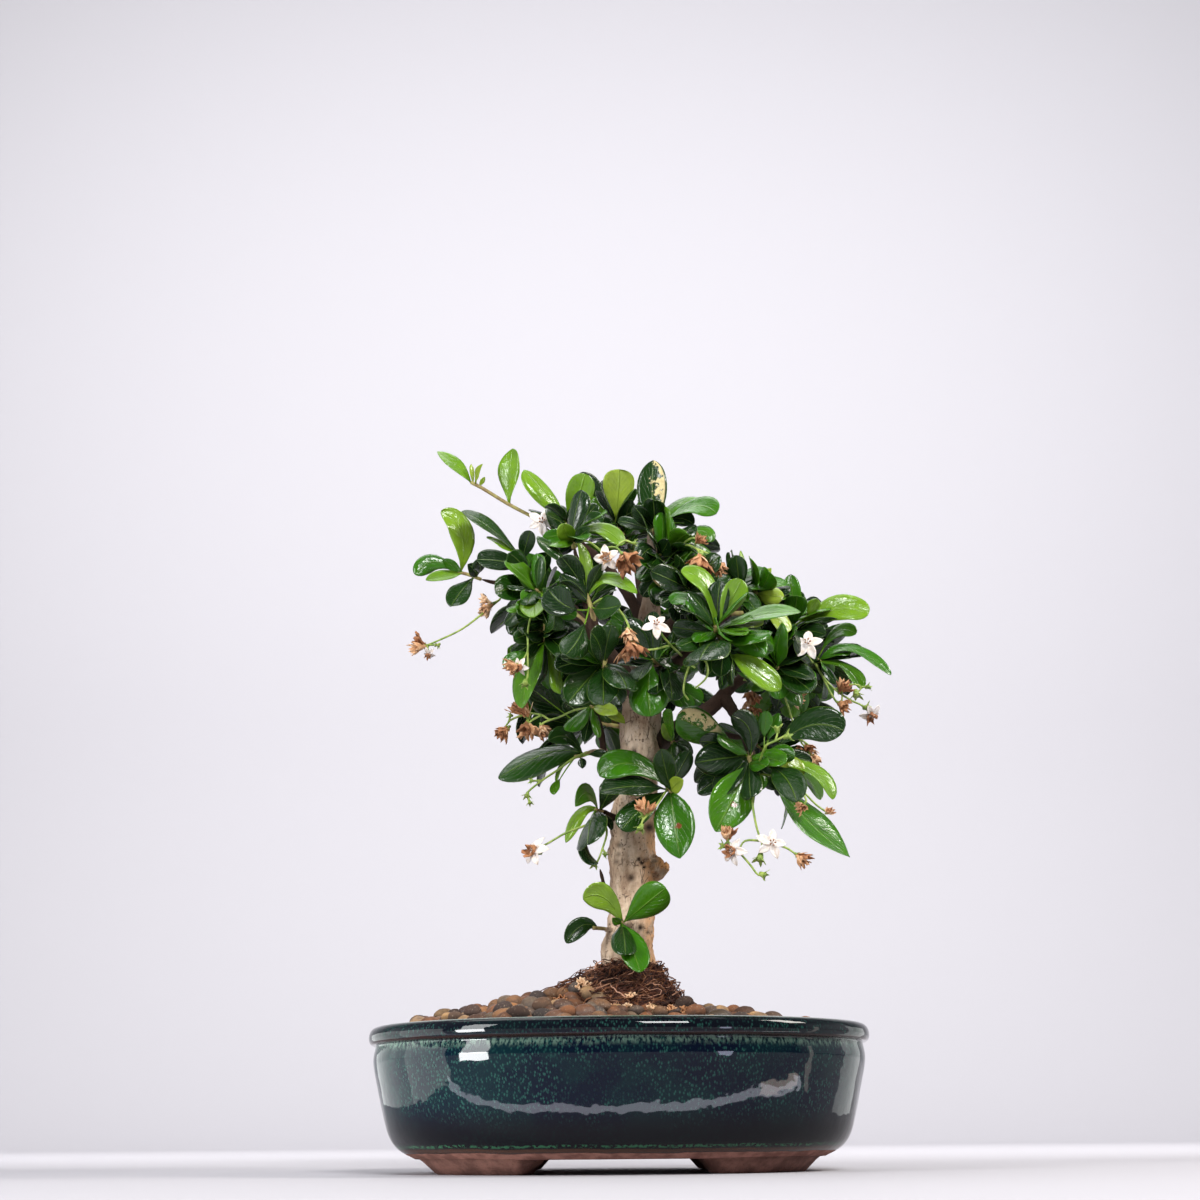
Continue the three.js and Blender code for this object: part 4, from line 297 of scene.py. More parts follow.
    ], [
        [24, 171, 20, 180, 5, LIGHT], [24, 172, 23, 163, 6.5, DARK], [25, 172, 31, 163, 6.5, DARK],
        [26, 173, 30, 180, 6, DARK], [23, 174, 24, 185, 5, MID],
    ]),
    "sprout": (-4, [
        [[2.5, -13, 96], [2, -16, 96.5], [1.5, -19, 97]],
    ], [
        [3, 96, -14, 107, 10.5, LIGHT, -5, 107], [6, 97, 20, 111, 13, MID, 12, 104],
        [2, 95, 3, 84, 10, DARK], [1, 96, 9, 77, 11, MID], [0, 96, -2, 99, 3.5, MID],
    ]),
    "sprout_left": (-3, [
        [[-5, -8, 94.5], [-7, -9, 94.8], [-10, -11, 95]],
    ], [
        [-6, 95, -21, 89, 7.5, DARK, -14, 96],
    ]),
}
# Blooms: stalks, and heads as [kind, x, y, z, radius, tilt x, tilt z]
BLOOMS = {
    "top_left": ([
        [[-23, 0, 267], [-28, -10, 266], [-31, -16, 270]],
    ], [
        [STAR, -31, -17, 270, 6, 0, 0],
    ]),
    "top": ([
        [[-17, -43, 260], [-12, -50, 261], [-6, -56, 257], [-3, -58, 253]],
        [[-6, -56, 257], [1, -58, 258], [4, -59, 254]], [[1, -58, 258], [5, -58, 261], [8, -58, 260]],
    ], [
        [CREAM, -3, -60, 253, 5.5, -2, -2], [HUSK, 5, -60, 252, 5, 2, -6], [CUP, 9, -58, 260, 1.5, 6, 0],
    ]),
    "top_right": ([
        [[24, -15, 257], [30, -28, 259], [36, -38, 257], [38, -42, 252]],
        [[36, -38, 257], [42, -40, 254], [45, -40, 250]], [[30, -28, 259], [34, -34, 262], [37, -36, 261]],
    ], [
        [HUSK, 37, -43, 251, 5.5, -2, -8], [HUSK, 45, -41, 249, 3.5, 4, -5],
        [HUSK, 37, -37, 261, 2.5, 3, 3],
    ]),
    "centre": ([
        [[29, -36, 208], [24, -56, 214], [20, -64, 219], [18, -67, 222]],
        [[24, -56, 214], [15, -66, 212], [9, -68, 213]],
    ], [
        [STAR, 18, -68, 223, 5.5, 0, 2],
    ]),
    "centre_left": ([
        [[-10, -49, 232], [-4, -58, 235], [2, -64, 230], [6, -67, 223]],
    ], [
        [HUSK, 6, -68, 219, 4, 0, -8], [HUSK, 7, -69, 213, 4.5, 1, -9],
    ]),
    "right": ([
        [[84, 2, 209], [84, -12, 206], [82, -22, 210], [82, -25, 214]],
        [[82, 2, 208], [88, -6, 200], [93, -8, 194], [100, -8, 189], [104, -8, 187]],
        [[93, -8, 194], [99, -8, 196], [104, -8, 195]], [[88, -6, 200], [92, -8, 191], [95, -8, 188]],
    ], [
        [STAR, 82, -26, 214, 6.5, 0, 2], [CREAM, 108, -8, 183, 5, 4, -9], [CUP, 106, -8, 186, 2.5, 10, 0],
        [CUP, 102, -8, 192, 3, 1, -9], [CUP, 107, -8, 195, 2, 10, 2], [HUSK, 96, -9, 195, 3.5, 4, 8],
        [HUSK, 96, -9, 187, 3.5, 6, -5],
    ]),
    "left": ([
        [[-47, 0, 241], [-49, -8, 235], [-53, -12, 233]],
        [[-49, -8, 235], [-56, -12, 229], [-65, -13, 222], [-75, -13, 217], [-80, -13, 215]],
    ], [
        [HUSK, -54, -13, 232, 3.5, -5, -4], [HUSK, -83, -13, 215, 4, -9, 1],
        [CREAM, -79, -14, 211, 3, -2, -8], [CUP, -75, -13, 215, 1.5, -4, -5],
    ]),
    "left_hanging": ([
        [[-30, -8, 233], [-35, -28, 229], [-37, -32, 220], [-37, -34, 212], [-39, -35, 208]],
        [[-37, -34, 212], [-37, -35, 201]],
    ], [
        [CREAM, -40, -36, 205, 4, -6, -4], [HUSK, -43, -36, 205, 3.5, -7, -2],
        [CUP, -38, -35, 198, 2.5, -1, -10],
    ]),
    "low_left": ([
        [[-10, -9, 187], [-17, -12, 186], [-27, -14, 182], [-31, -14, 184], [-36, -14, 185]],
        [[-27, -14, 182], [-31, -14, 180]], [[-31, -14, 184], [-36, -15, 181]],
        [[-36, -14, 185], [-42, -14, 183], [-45, -14, 181]],
    ], [
        [HUSK, -38, -15, 186, 4.5, -3, 6], [HUSK, -37, -16, 178, 4.5, 0, -8],
        [HUSK, -47, -14, 177, 4, -8, -8], [HUSK, -30, -14, 178, 3.5, 5, -8],
        [CUP, -44, -14, 184, 1.5, -6, 1],
    ]),
    "right_inner": ([
        [[54, 9, 198], [60, -4, 197], [59, -8, 193]], [[60, -4, 197], [66, -6, 194], [73, -8, 191]],
    ], [
        [HUSK, 58, -9, 191, 4, -1, -10], [HUSK, 58, -8, 185, 3, 2, -8], [HUSK, 76, -8, 190, 3.5, 9, 0],
    ]),
    "foot_left": ([
        [[-6, -8, 143], [-11, -18, 138], [-21, -22, 134], [-28, -24, 130], [-32, -24, 128]],
        [[-6, -9, 142], [-4, -14, 135], [-6, -16, 127], [-8, -17, 122]], [[-6, -16, 127], [-5, -17, 126]],
    ], [
        [CREAM, -34, -25, 127, 6, -6, 2], [CUP, -5, -17, 125, 1.5, 4, -2], [CUP, -9, -17, 121, 2, -3, -6],
    ]),
    "low_right": ([
        [[59, -16, 160], [57, -30, 151], [57, -32, 142], [60, -32, 130], [64, -33, 129]],
        [[60, -32, 130], [53, -32, 130], [50, -33, 126]], [[60, -32, 130], [60, -32, 125]],
        [[50, -33, 126], [55, -33, 120], [58, -33, 116]], [[64, -33, 129], [70, -33, 127], [73, -33, 125]],
        [[50, -33, 126], [46, -33, 130]],
        [[60, -17, 159], [66, -26, 157], [76, -28, 152], [83, -28, 145], [87, -28, 142]],
        [[76, -28, 152], [79, -29, 147], [78, -29, 145]],
        [[61, -18, 162], [63, -36, 170], [67, -38, 172], [71, -38, 174]], [[67, -38, 172], [68, -38, 175]],
    ], [
        [STAR, 64, -34, 129, 6, 1, 0], [CREAM, 48, -34, 126, 5.5, -5, 0], [CUP, 59, -32, 123, 3, -3, -10],
        [CUP, 60, -33, 116, 2.5, 8, -4], [HUSK, 76, -33, 123, 3.5, 8, -6], [HUSK, 46, -33, 133, 3.5, 0, 8],
        [CUP, 44, -33, 128, 2, -8, 2], [HUSK, 88, -28, 142, 2, 3, 2], [HUSK, 77, -29, 144, 2.5, -4, -2],
        [CUP, 72, -38, 174, 2.5, 7, 2], [CUP, 68, -38, 177, 2.5, -1, 9],
    ]),
    "low_front": ([
        [[22, -16, 153], [18, -34, 147], [14, -38, 142], [13, -38, 142]], [[14, -38, 142], [11, -38, 139]],
    ], [
        [HUSK, 12, -39, 144, 3.5, -1, 8], [CUP, 10, -38, 136, 2.5, -4, -9], [CUP, 11, -38, 141, 1.5, -7, 1],
    ]),
    "buds_left": ([
        [[-12, -8, 168], [-18, -16, 165], [-25, -18, 160], [-31, -18, 156], [-37, -18, 151]],
        [[-31, -18, 156], [-34, -18, 156]],
    ], [
        [CUP, -37, -18, 150, 2, -1, -6], [CUP, -36, -18, 147, 1.5, 2, -6], [CUP, -35, -18, 156, 1.5, -3, 0],
    ]),
    "low_back_right": ([
        [[66, 7, 204], [72, 20, 190], [77, 22, 173], [82, 22, 166]], [[77, 22, 173], [81, 22, 170]],
    ], [
        [HUSK, 83, 22, 164, 3.5, 3, -8], [HUSK, 81, 22, 169, 3, 4, -6], [HUSK, 78, 21, 167, 2.5, -3, -3],
    ]),
    "tendrils": ([
        [[39, -46, 214], [35, -60, 211], [31, -66, 203], [29, -66, 194], [31, -64, 190]],
        [[35, -60, 211], [39, -68, 206], [39, -70, 200], [34, -68, 195]],
        [[35, -60, 211], [32, -66, 206], [34, -68, 204]],
    ], []),
}
# Sprays at the back: the seat on a branch, and the tips of the two twigs
BACK_SPRAYS = {
    "back_left_high": [[-16, 48, 229], [[-34, 54, 252], [-12, 66, 250]]],
    "back_left_low": [[-2, 30, 211], [[-34, 40, 208], [-14, 62, 204]]],
    "back_top": [[8, 44, 263], [[-8, 46, 282], [22, 50, 277]]],
    "back_middle": [[15, 40, 222], [[2, 68, 222], [26, 74, 214]]],
    "back_right_high": [[46, 52, 225], [[48, 64, 250], [28, 70, 246]]],
    "back_right": [[59, 56, 234], [[84, 48, 236], [74, 66, 222]]],
    "back_right_side": [[68, 6, 205], [[88, 28, 218], [80, 40, 200]]],
    "back_right_low": [[56, 46, 173], [[76, 46, 168], [60, 64, 180]]],
    "back_low": [[1, 42, 181], [[-22, 40, 186], [8, 58, 188]]],
}

# How the solids' leaves and stems are placed
TWIG_RADII = (1.3, 1.0)
STALK_RADII = (0.8, 0.8)
SEATED = 0.85  # a twig's root is this share of the branch it grows from
AXIS_STEP = 2.0
SEAT_STEP = 1.2
SEAT_SPACE = 1.2
SHARED_SEAT = 6.0  # how much further a leaf goes for a place of its own
BLADE_RATIO = 0.46  # width to length of a blade seen square on
BLADE_FOLD = 0.22
BLADE_ARCH = 0.1
BLADE_HALF_THICK = 0.33
SMALL_WIDTH = 7
BLADE_CORNERS = [[0.56, 0.94], [0.88, 0.9], [1.0, 0.0]]
SMALL_CORNERS = [[0.6, 1.0], [1.0, 0.0]]
MOST_LENGTH = 24.0
MOST_TOWARDS = 17.0
MOST_TURN = 1.1
PETIOLE_FROM = 2.5
BEND_STEP = 4.0
TURN_STEP = 1 / 3
BEND_TRIES = 5
FAR_CORNER = 3.0  # a corner further than this from the solid counts no more
BACK_LEAVES = 3
BACK_LENGTHS = (25.0, 32.0)
BACK_LEAN = 0.7
BACK_SAG = 2.0
BACK_FROM = 0.4
BACK_FORK = 0.4
BACK_DARK = 0.7
GOLDEN_ANGLE = 2.39996
PETALS = 5

UP = np.array([0.0, 0.0, 1.0])
MM_PER_METRE = 1000.0
ANY_TURN = (0, 6)  # nearly a whole turn
RIGHT = np.array([1.0, 0.0, 0.0])
BEHIND = np.array([0.0, 1.0, 0.0])
STEEP = 0.9

pot_low, pot_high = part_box("pot")
POT_PLACE = np.array([(pot_low.x + pot_high.x) / 2, (pot_low.y + pot_high.y) / 2, 0.0])

# Each draw is the last one times the factor plus the step, kept in the range
DRAW_FACTOR = 1664525
DRAW_STEP = 1013904223
DRAW_RANGE = 4294967296


def draws_from(seed):
    """Numbers between 0 and 1 in a fixed order, the same as the solids drew."""
    state = seed
    while True:
        state = (state * DRAW_FACTOR + DRAW_STEP) % DRAW_RANGE
        yield state / DRAW_RANGE


def unit(v):
    return v / max(np.linalg.norm(v), 1e-9)


def held(value, low=0.0, high=1.0):
    return min(high, max(low, value))


def between(ends, share):
    return ends[0] + (ends[1] - ends[0]) * share


def circled(first, second, turn):
    """A way in the plane of two others."""
    return first * math.cos(turn) + second * math.sin(turn)


def around(axis):
    """Two ways square to an axis and to each other."""
    first = unit(np.cross(axis, UP if abs(axis[2]) < STEEP else RIGHT))
    return first, np.cross(axis, first)


def seen(place):
    """The real place of something seen at x and z in the plane y = 0."""
    x, y, z = place
    return EYE + (np.array([x, 0.0, z]) - EYE) * (y - EYE[1]) / -EYE[1]


def front_place(place):
    """Where a real place is seen in the plane y = 0."""
    return EYE + (place - EYE) * -EYE[1] / (place[1] - EYE[1])


def scene_place(place):
    """A real place in the scene's own frame, in metres."""
    return Vector((np.array(place, float) / MM_PER_METRE + POT_PLACE).tolist())


def look_up(rows, by, value, column):
    """One column of a table at a value of another, which rises."""
    return float(np.interp(value, [row[by] for row in rows], [row[column] for row in rows]))


def bumps(place, size):
    """Smooth noise from -1 to 1 with lumps of about that size."""
    return noise.noise(Vector(place / size))


def lumps(place, rows):
    """How far lumps stand out: each is how high, how wide, how flat, 1 being round, and a shift."""
    high = 0.0
    for height, size, flat, shift in rows:
        high += height * bumps(place * np.array([1.0, 1.0, flat]) + shift, size)
    return high


# Meshes


class Piece:
    """Faces in several materials, which become one mesh object."""

    def __init__(self, name):
        self.name = name
        self.points = []
        self.faces = []
        self.kinds = []
        self.marks = []

    def add(self, points, faces, kind, marks=None):
        """Points in millimetres, and four marks a point that the materials read."""
        start = len(self.points)
        self.points.extend(points)
        self.faces.extend([tuple(start + i for i in face) for face in faces])
        self.kinds.extend([kind] * len(faces))
        self.marks.extend(np.zeros((len(points), 4)) if marks is None else marks)

    def build(self, node=None):
        """The mesh object, in place of a solid of the part or as an object of its own."""
        mesh = bpy.data.meshes.new(self.name)
        places = (np.array(self.points) + POT_PLACE * MM_PER_METRE) / MM_PER_METRE
        mesh.from_pydata(places.tolist(), [], self.faces)
        used = list(dict.fromkeys(self.kinds))
        for kind in used:
            mesh.materials.append(LOOKS[kind])
        mesh.polygons.foreach_set("material_index", [used.index(kind) for kind in self.kinds])
        mesh.polygons.foreach_set("use_smooth", [True] * len(self.faces))
        marks = mesh.attributes.new("marks", "FLOAT_COLOR", "POINT")
        marks.data.foreach_set("color", np.array(self.marks, np.float32).ravel())
        mesh.validate()
        mesh.update()
        made = bpy.data.objects.new(self.name, mesh)
        bpy.context.scene.collection.objects.link(made)
        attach(made, "root")
        if node:
            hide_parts(node)
        return made


def ring_faces(rings, sides, closed=True):
    """Faces between rings of points, and over both ends if it is closed."""
    faces = []
    for row in range(rings - 1):
        for i in range(sides):
            a = row * sides + i
            b = row * sides + (i + 1) % sides
            faces.append((a, b, b + sides, a + sides))
    if closed:
        faces.append(tuple(range(sides - 1, -1, -1)))
        faces.append(tuple(range((rings - 1) * sides, rings * sides)))
    return faces


def add_sheet(piece, upper, lower, rows, columns, kind, marks):
    """A thin sheet with an upper and a lower side, closed round its rim."""
    wide = columns + 1
    count = len(upper)
    faces = []
    for i in range(rows):
        for j in range(columns):
            a = i * wide + j
            faces.append((a, a + wide, a + wide + 1, a + 1))
            faces.append((a + count, a + count + 1, a + count + wide + 1, a + count + wide))
    rim = [i * wide for i in range(rows + 1)] + [rows * wide + j for j in range(1, wide)]
    rim += [i * wide + columns for i in range(rows - 1, -1, -1)] + list(range(columns - 1, 0, -1))
    for a, b in zip(rim, rim[1:] + rim[:1]):
        faces.append((a, a + count, b + count, b))
    piece.add(upper + lower, faces, kind, marks + marks)


def smooth_path(places, steps):
    """Places on a smooth curve through the given ones, with steps between each two."""
    spread = [2 * places[0] - places[1], *places, 2 * places[-1] - places[-2]]
    path = []
    for row in range(1, len(spread) - 2):
        before, start, end, after = spread[row - 1 : row + 3]
        length = np.linalg.norm(end - start)
        lead = unit((end - before) / 2) * length
        follow = unit((after - start) / 2) * length
        for step in range(steps):
            t = step / steps
            a, b = 2 * t**3 - 3 * t**2 + 1, t**3 - 2 * t**2 + t
            c, d = 3 * t**2 - 2 * t**3, t**3 - t**2
            path.append(a * start + b * lead + c * end + d * follow)
    path.append(places[-1])
    return path


COARSE_SKIN = 2.2
FINE_SKIN = 0.9


def add_tube(piece, path, radius_at, sides, kind, rough=0.0, marks_at=None):
    """A tube along a path, with its radius given along it and a rough skin."""
    last = len(path) - 1
    normal = None
    points, marks = [], []
    for row, middle in enumerate(path):
        forward = unit(path[min(row + 1, last)] - path[max(row - 1, 0)])
        if normal is None:
            normal = np.cross(forward, RIGHT if abs(forward[2]) > STEEP else UP)
        normal = unit(normal - forward * (normal @ forward))
        across = np.cross(forward, normal)
        share = row / last
        for i in range(sides):
            out = circled(normal, across, 2 * math.pi * i / sides)
            reach = radius_at(share)
            if rough:
                skin = middle + out * reach
                reach += rough * bumps(skin, COARSE_SKIN) + rough * bumps(skin, FINE_SKIN) / 2
            points.append(middle + out * reach)
            marks.append(marks_at(share, i / sides) if marks_at else (share, i / sides, 0, 0))
    piece.add(points, ring_faces(len(path), sides), kind, marks)


# Stems, placed as the part's solids are


def along(places, radii, step=AXIS_STEP):
    """Spots on a stem as (place, radius, the way it grows)."""
    last = len(places) - 1
    spots = []
    for row in range(last):
        start, end = places[row], places[row + 1]
        length = np.linalg.norm(end - start)
        pieces = math.ceil(length / step)
        for i in range(0 if row == 0 else 1, pieces + 1):
            share = (row + i / pieces) / last
            spots.append((start + (end - start) * i / pieces, between(radii, share), (end - start) / length))
    return spots


trunk_axis = []
for place, _, forward in along([seen(row[:3]) for row in TRUNK], (0, 0)):
    trunk_axis.append((place, look_up(TRUNK, 2, front_place(place)[2], 3), forward))
branches = [([seen(place) for place in places], (root, end)) for root, end, places in BRANCHES]
tree_axes = trunk_axis + [spot for branch in branches for spot in along(*branch)]
tree_points = np.array([place for place, _, _ in tree_axes])
tree_radii = np.array([radius for _, radius, _ in tree_axes])


def outside(place):
    """Whether a place lies clear of the tree's skin."""
    return bool(np.all(np.linalg.norm(tree_points - place, axis=1) > tree_radii + SEAT_SPACE))


def nearest(spots, place):
    distances = np.linalg.norm(np.array([spot[0] for spot in spots]) - place, axis=1)
    return spots[int(np.argmin(distances))]


def grow_all(axes, rows, radii):
    """Stems of which the first grows from the axes, and the others from those before."""
    stems = []
    for row in rows:
        real = [seen(place) for place in row]
        earlier = [spot for stem in stems for spot in along(*stem) if outside(spot[0])]
        place, radius, _ = nearest(earlier if stems else axes, real[0])
        real[0] = place
        stems.append((real, (min(radii[0], SEATED * radius), radii[1])))
    return stems


def back_twigs(seat, tips):
    """A twig from a branch at the back, and a second one that leaves it."""
    place, radius, _ = nearest(tree_axes, np.array(seat, float))
    main_tip, side_tip = (np.array(tip, float) for tip in tips)
    middle = place + (main_tip - place) * BACK_FORK + UP * BACK_SAG
    bent = (middle + side_tip) / 2 + UP * BACK_SAG
    main = ([place, middle, main_tip], (min(TWIG_RADII[0], SEATED * radius), TWIG_RADII[1]))
    side = ([middle, bent, side_tip], (SEATED * TWIG_RADII[1], TWIG_RADII[1]))
    return [main, side]


twigs_of = {key: grow_all(tree_axes, twigs, TWIG_RADII) for key, (_, twigs, _) in SPRAYS.items()}
for key, (seat, tips) in BACK_SPRAYS.items():
    twigs_of[key] = back_twigs(seat, tips)
twig_axes = [spot for twigs in twigs_of.values() for twig in twigs for spot in along(*twig)]


# Leaves, placed as the part's solids are


class Leaf:
    """A blade on a curved rib, with the way its upper side looks."""

    def __init__(self, base, bend, tip, face, width, tone, bare=0.0):
        self.base = base
        self.bend = bend
        self.tip = tip
        self.face = face
        self.width = width
        self.tone = tone
        self.bare = bare  # the share of the rib that is stalk
        self.pointed = 0.5
        self.kind = LEAF

    def rib(self, share):
        """Place, forward, side and raised ways at a share of the rib."""
        rest = 1 - share
        place = rest * rest * self.base + 2 * rest * share * self.bend + share * share * self.tip
        forward = unit(rest * (self.bend - self.base) + share * (self.tip - self.bend))
        side = unit(np.cross(forward, self.face))
        return place, forward, side, np.cross(side, forward)

    def blade(self, share):
        """The same at a share of the blade, which starts where the stalk ends."""
        return self.rib(self.bare + (1 - self.bare) * share)

    def corners(self):
        """The corners that its solid has at the tip and along both edges."""
        found = []
        for share, wide in SMALL_CORNERS if self.width < SMALL_WIDTH else BLADE_CORNERS:
            place, _, side, raised = self.blade(share)
            out = wide * self.width / 2
            for way in (-1, 1) if wide else (1,):
                edge = place + side * way * out + raised * out * BLADE_FOLD
                found += [edge + raised * BLADE_HALF_THICK, edge - raised * BLADE_HALF_THICK]
        return found


def facing(base, tip, seen_width):
    """The way a blade's upper side looks, and its real width."""
    forward = unit(tip - base)
    length = np.linalg.norm(tip - base)
    square = EYE - base
    square = unit(square - forward * (square @ forward))
    sideways = np.cross(forward, square)
    if sideways[2] < 0:
        sideways = -sideways
    turn = min(math.acos(held(seen_width / (BLADE_RATIO * length))), MOST_TURN)
    widest = max(seen_width, BLADE_RATIO * length)
    return circled(square, sideways, turn), min(seen_width / math.cos(turn), widest)


def front_leaf(row, seat, lean, behind):
    """A leaf as its row tells it, from a seat on a twig, with its tip so far behind."""
    base_x, base_z, tip_x, tip_z, seen_width, tone = row[:6]
    span = math.hypot(tip_x - base_x, tip_z - base_z)
    whole = min(MOST_LENGTH, seen_width / BLADE_RATIO)
    towards = min(MOST_TOWARDS, math.sqrt(max(0.0, whole**2 - span**2)))
    tip_y = seat[1] + lean * span / MOST_LENGTH - towards + behind
    base = seen([base_x, seat[1], base_z])
    tip = seen([tip_x, tip_y, tip_z])
    length = np.linalg.norm(tip - base)
    stalk = max(0.0, np.linalg.norm(seat - base) - PETIOLE_FROM)
    face, width = facing(base, tip, seen_width)
    bend = (base + tip) / 2 + face * BLADE_ARCH * length
    if len(row) > 6:
        bend_x = 2 * row[6] - (base_x + tip_x) / 2
        bend_z = 2 * row[7] - (base_z + tip_z) / 2
        bend = seen([bend_x, (base[1] + tip_y) / 2, bend_z])
    return Leaf(seat, bend, tip, face, width, tone, stalk / (stalk + length))


def back_leaf(seat, forward, turn, length, tone):
    """A leaf that leans out from its twig towards the twig's end."""
    across = unit(np.cross(forward, UP))
    way = unit(circled(across, np.cross(across, forward), turn) + forward * BACK_LEAN)
    tip = seat + way * length
    face = UP + forward
    face = unit(face - way * (face @ way))
    bend = (seat + tip) / 2 + face * BLADE_ARCH * length
    return Leaf(seat, bend, tip, face, BLADE_RATIO * length, tone)


def corner_tree(corners):
    """Corners to look up the nearest of."""
    tree = kdtree.KDTree(len(corners))
    for at, corner in enumerate(corners):
        tree.insert(corner, at)
    tree.balance()
    return tree


def node_tree(key):
    """The corners of a spray's solid."""
    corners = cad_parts["leaves_" + key].data.vertices
    return corner_tree([(np.array(corner.co) - POT_PLACE) * MM_PER_METRE for corner in corners])


def settled(ways, tree):
    """Of the ways that a leaf may grow, the one that its solid took."""
    misses = [sum(min(tree.find(corner)[2], FAR_CORNER) for corner in leaf.corners()) for leaf in ways]
    return ways[int(np.argmin(misses))]


TO_AND_FRO = [math.ceil(i / 2) * (1 if i % 2 == 0 else -1) for i in range(2 * BEND_TRIES + 1)]


def front_leaves(key, lean, rows):
    """Each leaf grows from the nearest place on a twig, where a place that is taken already counts as
    further away.
    """
    tree = node_tree(key)
    spots = [spot[0] for twig in twigs_of[key] for spot in along(*twig, SEAT_STEP) if outside(spot[0])]
    fronts = np.array([front_place(spot) for spot in spots])
    shared = np.zeros(len(spots))
    leaves = []
    for row in rows:
        away = np.hypot(fronts[:, 0] - row[0], fronts[:, 2] - row[1])
        at = int(np.argmin(away + SHARED_SEAT * shared))
        shared[at] += 1
        ways = [front_leaf(row, spots[at], lean, step * BEND_STEP) for step in TO_AND_FRO]
        leaves.append(settled(ways, tree))
    return leaves


def back_leaves(key, draw):
    """Leaves that spiral round the two twigs of a spray at the back."""
    tree = node_tree(key)
    leaves = []
    for order, twig in enumerate(twigs_of[key]):
        spots = along(*twig)
        for i in range(BACK_LEAVES):
            share = BACK_FROM + (1 - BACK_FROM) * i / (BACK_LEAVES - 1)
            place, _, forward = spots[math.floor(share * (len(spots) - 1) + 0.5)]
            length = between(BACK_LENGTHS, next(draw))
            turn = (i + order / 2) * GOLDEN_ANGLE
            tone = DARK if next(draw) < BACK_DARK else MID
            ways = [back_leaf(place, forward, turn + step * TURN_STEP, length, tone) for step in TO_AND_FRO]
            leaves.append(settled(ways, tree))
    return leaves


# Fine leaves

FINE_GRID = (14, 8)  # rows along the blade and columns across it
FILLER_GRID = (8, 4)
RIM_THICK = 0.16
RIB_THICK = 0.3
TIP_CLOSER = 1.7  # above 1, rows are closer together near the tip
POINTED = (0.0, 0.8)
# The outline's form, each for a blunt and for a pointed leaf: where it is
# widest, and the powers of its rise, its fall and its tip
WIDEST = (0.69, 0.52)
RISE = (1.2, 0.95)
FALL = (2.6, 2.1)
TIP = (0.46, 0.76)
TIP_WIDTH = 0.04
WAVES = (0.01, 0.06)
WAVE_TURNS = 9
CURLS = [0.0, 0.1, 0.5]
PUFFED = 0.05
# The stalk runs on as the rib that stands out below
STALK_THICK = 0.385
STALK_TAPER = 0.6
STALK_SUNK = 0.15
RIB_END = 0.8
RIB_SIDES = 5
RIB_STEPS = 6
FILLER_STEPS = 3
LEAST_STALK = 0.03
STALK_TONE = 1.6
TWIG_END = 0.8  # a fine twig tapers further than its solid
TWIG_SIDES = 8
TWIG_ROUGH = 0.08
STEM_STEPS = 4
# Leaves that stand out, by where their tips are seen: x, z, how pointed they
# are, and their kind
TOLD_LEAVES = [
    [26, 183, 0.3, EATEN_LEAF], [18.6, 292, 0.7, EATEN_LEAF], [25, 124, 1.0, SPOTTED_LEAF],
    [41, 135.5, 1.0, SPOTTED_LEAF], [-50, 160, 0.4, LEAF], [96, 177, 0.0, LEAF], [96, 124, 1.0, LEAF],
    [-77, 303, 0.9, LEAF], [-44, 304, 0.4, LEAF], [110, 227, 0.2, LEAF],
]


def blade_width(share, pointed):
    """Half width at a share of the blade, as a share of the greatest."""
    widest = between(WIDEST, pointed)
    if share < widest:
        return math.sin(math.pi / 2 * share / widest) ** between(RISE, pointed)
    past = (share - widest) / (1 - widest)
    return max(0.0, 1 - past ** between(FALL, pointed)) ** between(TIP, pointed)


def tell_leaves(leaves, draw):
    """Each leaf gets its own shape of tip, and those that stand out are told apart."""
    for leaf in leaves:
        leaf.pointed = 1.0 if leaf.width < SMALL_WIDTH else draw.uniform(*POINTED)
    tips = np.array([front_place(leaf.tip) for leaf in leaves])
    for x, z, pointed, kind in TOLD_LEAVES:
        leaf = leaves[int(np.argmin(np.hypot(tips[:, 0] - x, tips[:, 2] - z)))]
        leaf.pointed = pointed
        leaf.kind = kind


def add_blade(piece, leaf, grid, draw):
    """A thin blade folded along its rib, with a wavy edge that may curl down."""
    rows, columns = grid
    wave = draw.uniform(*WAVES)
    curl = draw.choice(CURLS)
    phase = draw.uniform(*ANY_TURN)
    shade = draw.random()
    upper, lower, marks = [], [], []
    for i in range(rows + 1):
        share = 1 - (1 - i / rows) ** TIP_CLOSER
        place, _, side, raised = leaf.blade(share)
        wide = max(blade_width(share, leaf.pointed), TIP_WIDTH) * leaf.width / 2
        for j in range(columns + 1):
            across = 2 * j / columns - 1
            out = wide * across
            edge = abs(across) ** 3
            lift = abs(out) * BLADE_FOLD - curl * wide * edge
            lift += wave * leaf.width * edge * math.sin(share * WAVE_TURNS + phase + 2 * across)
            lift -= PUFFED * wide * (1 - (2 * abs(across) - 1) ** 2)
            middle = place + side * out + raised * lift
            thick = RIM_THICK / 2 + (1 - abs(across)) ** 2 * (RIB_THICK - RIM_THICK) / 2
            upper.append(middle + raised * thick)
            lower.append(middle - raised * thick)
            marks.append((share, across / 2 + 0.5, leaf.tone / YOUNG, shade))
    add_sheet(piece, upper, lower, rows, columns, leaf.kind, marks)


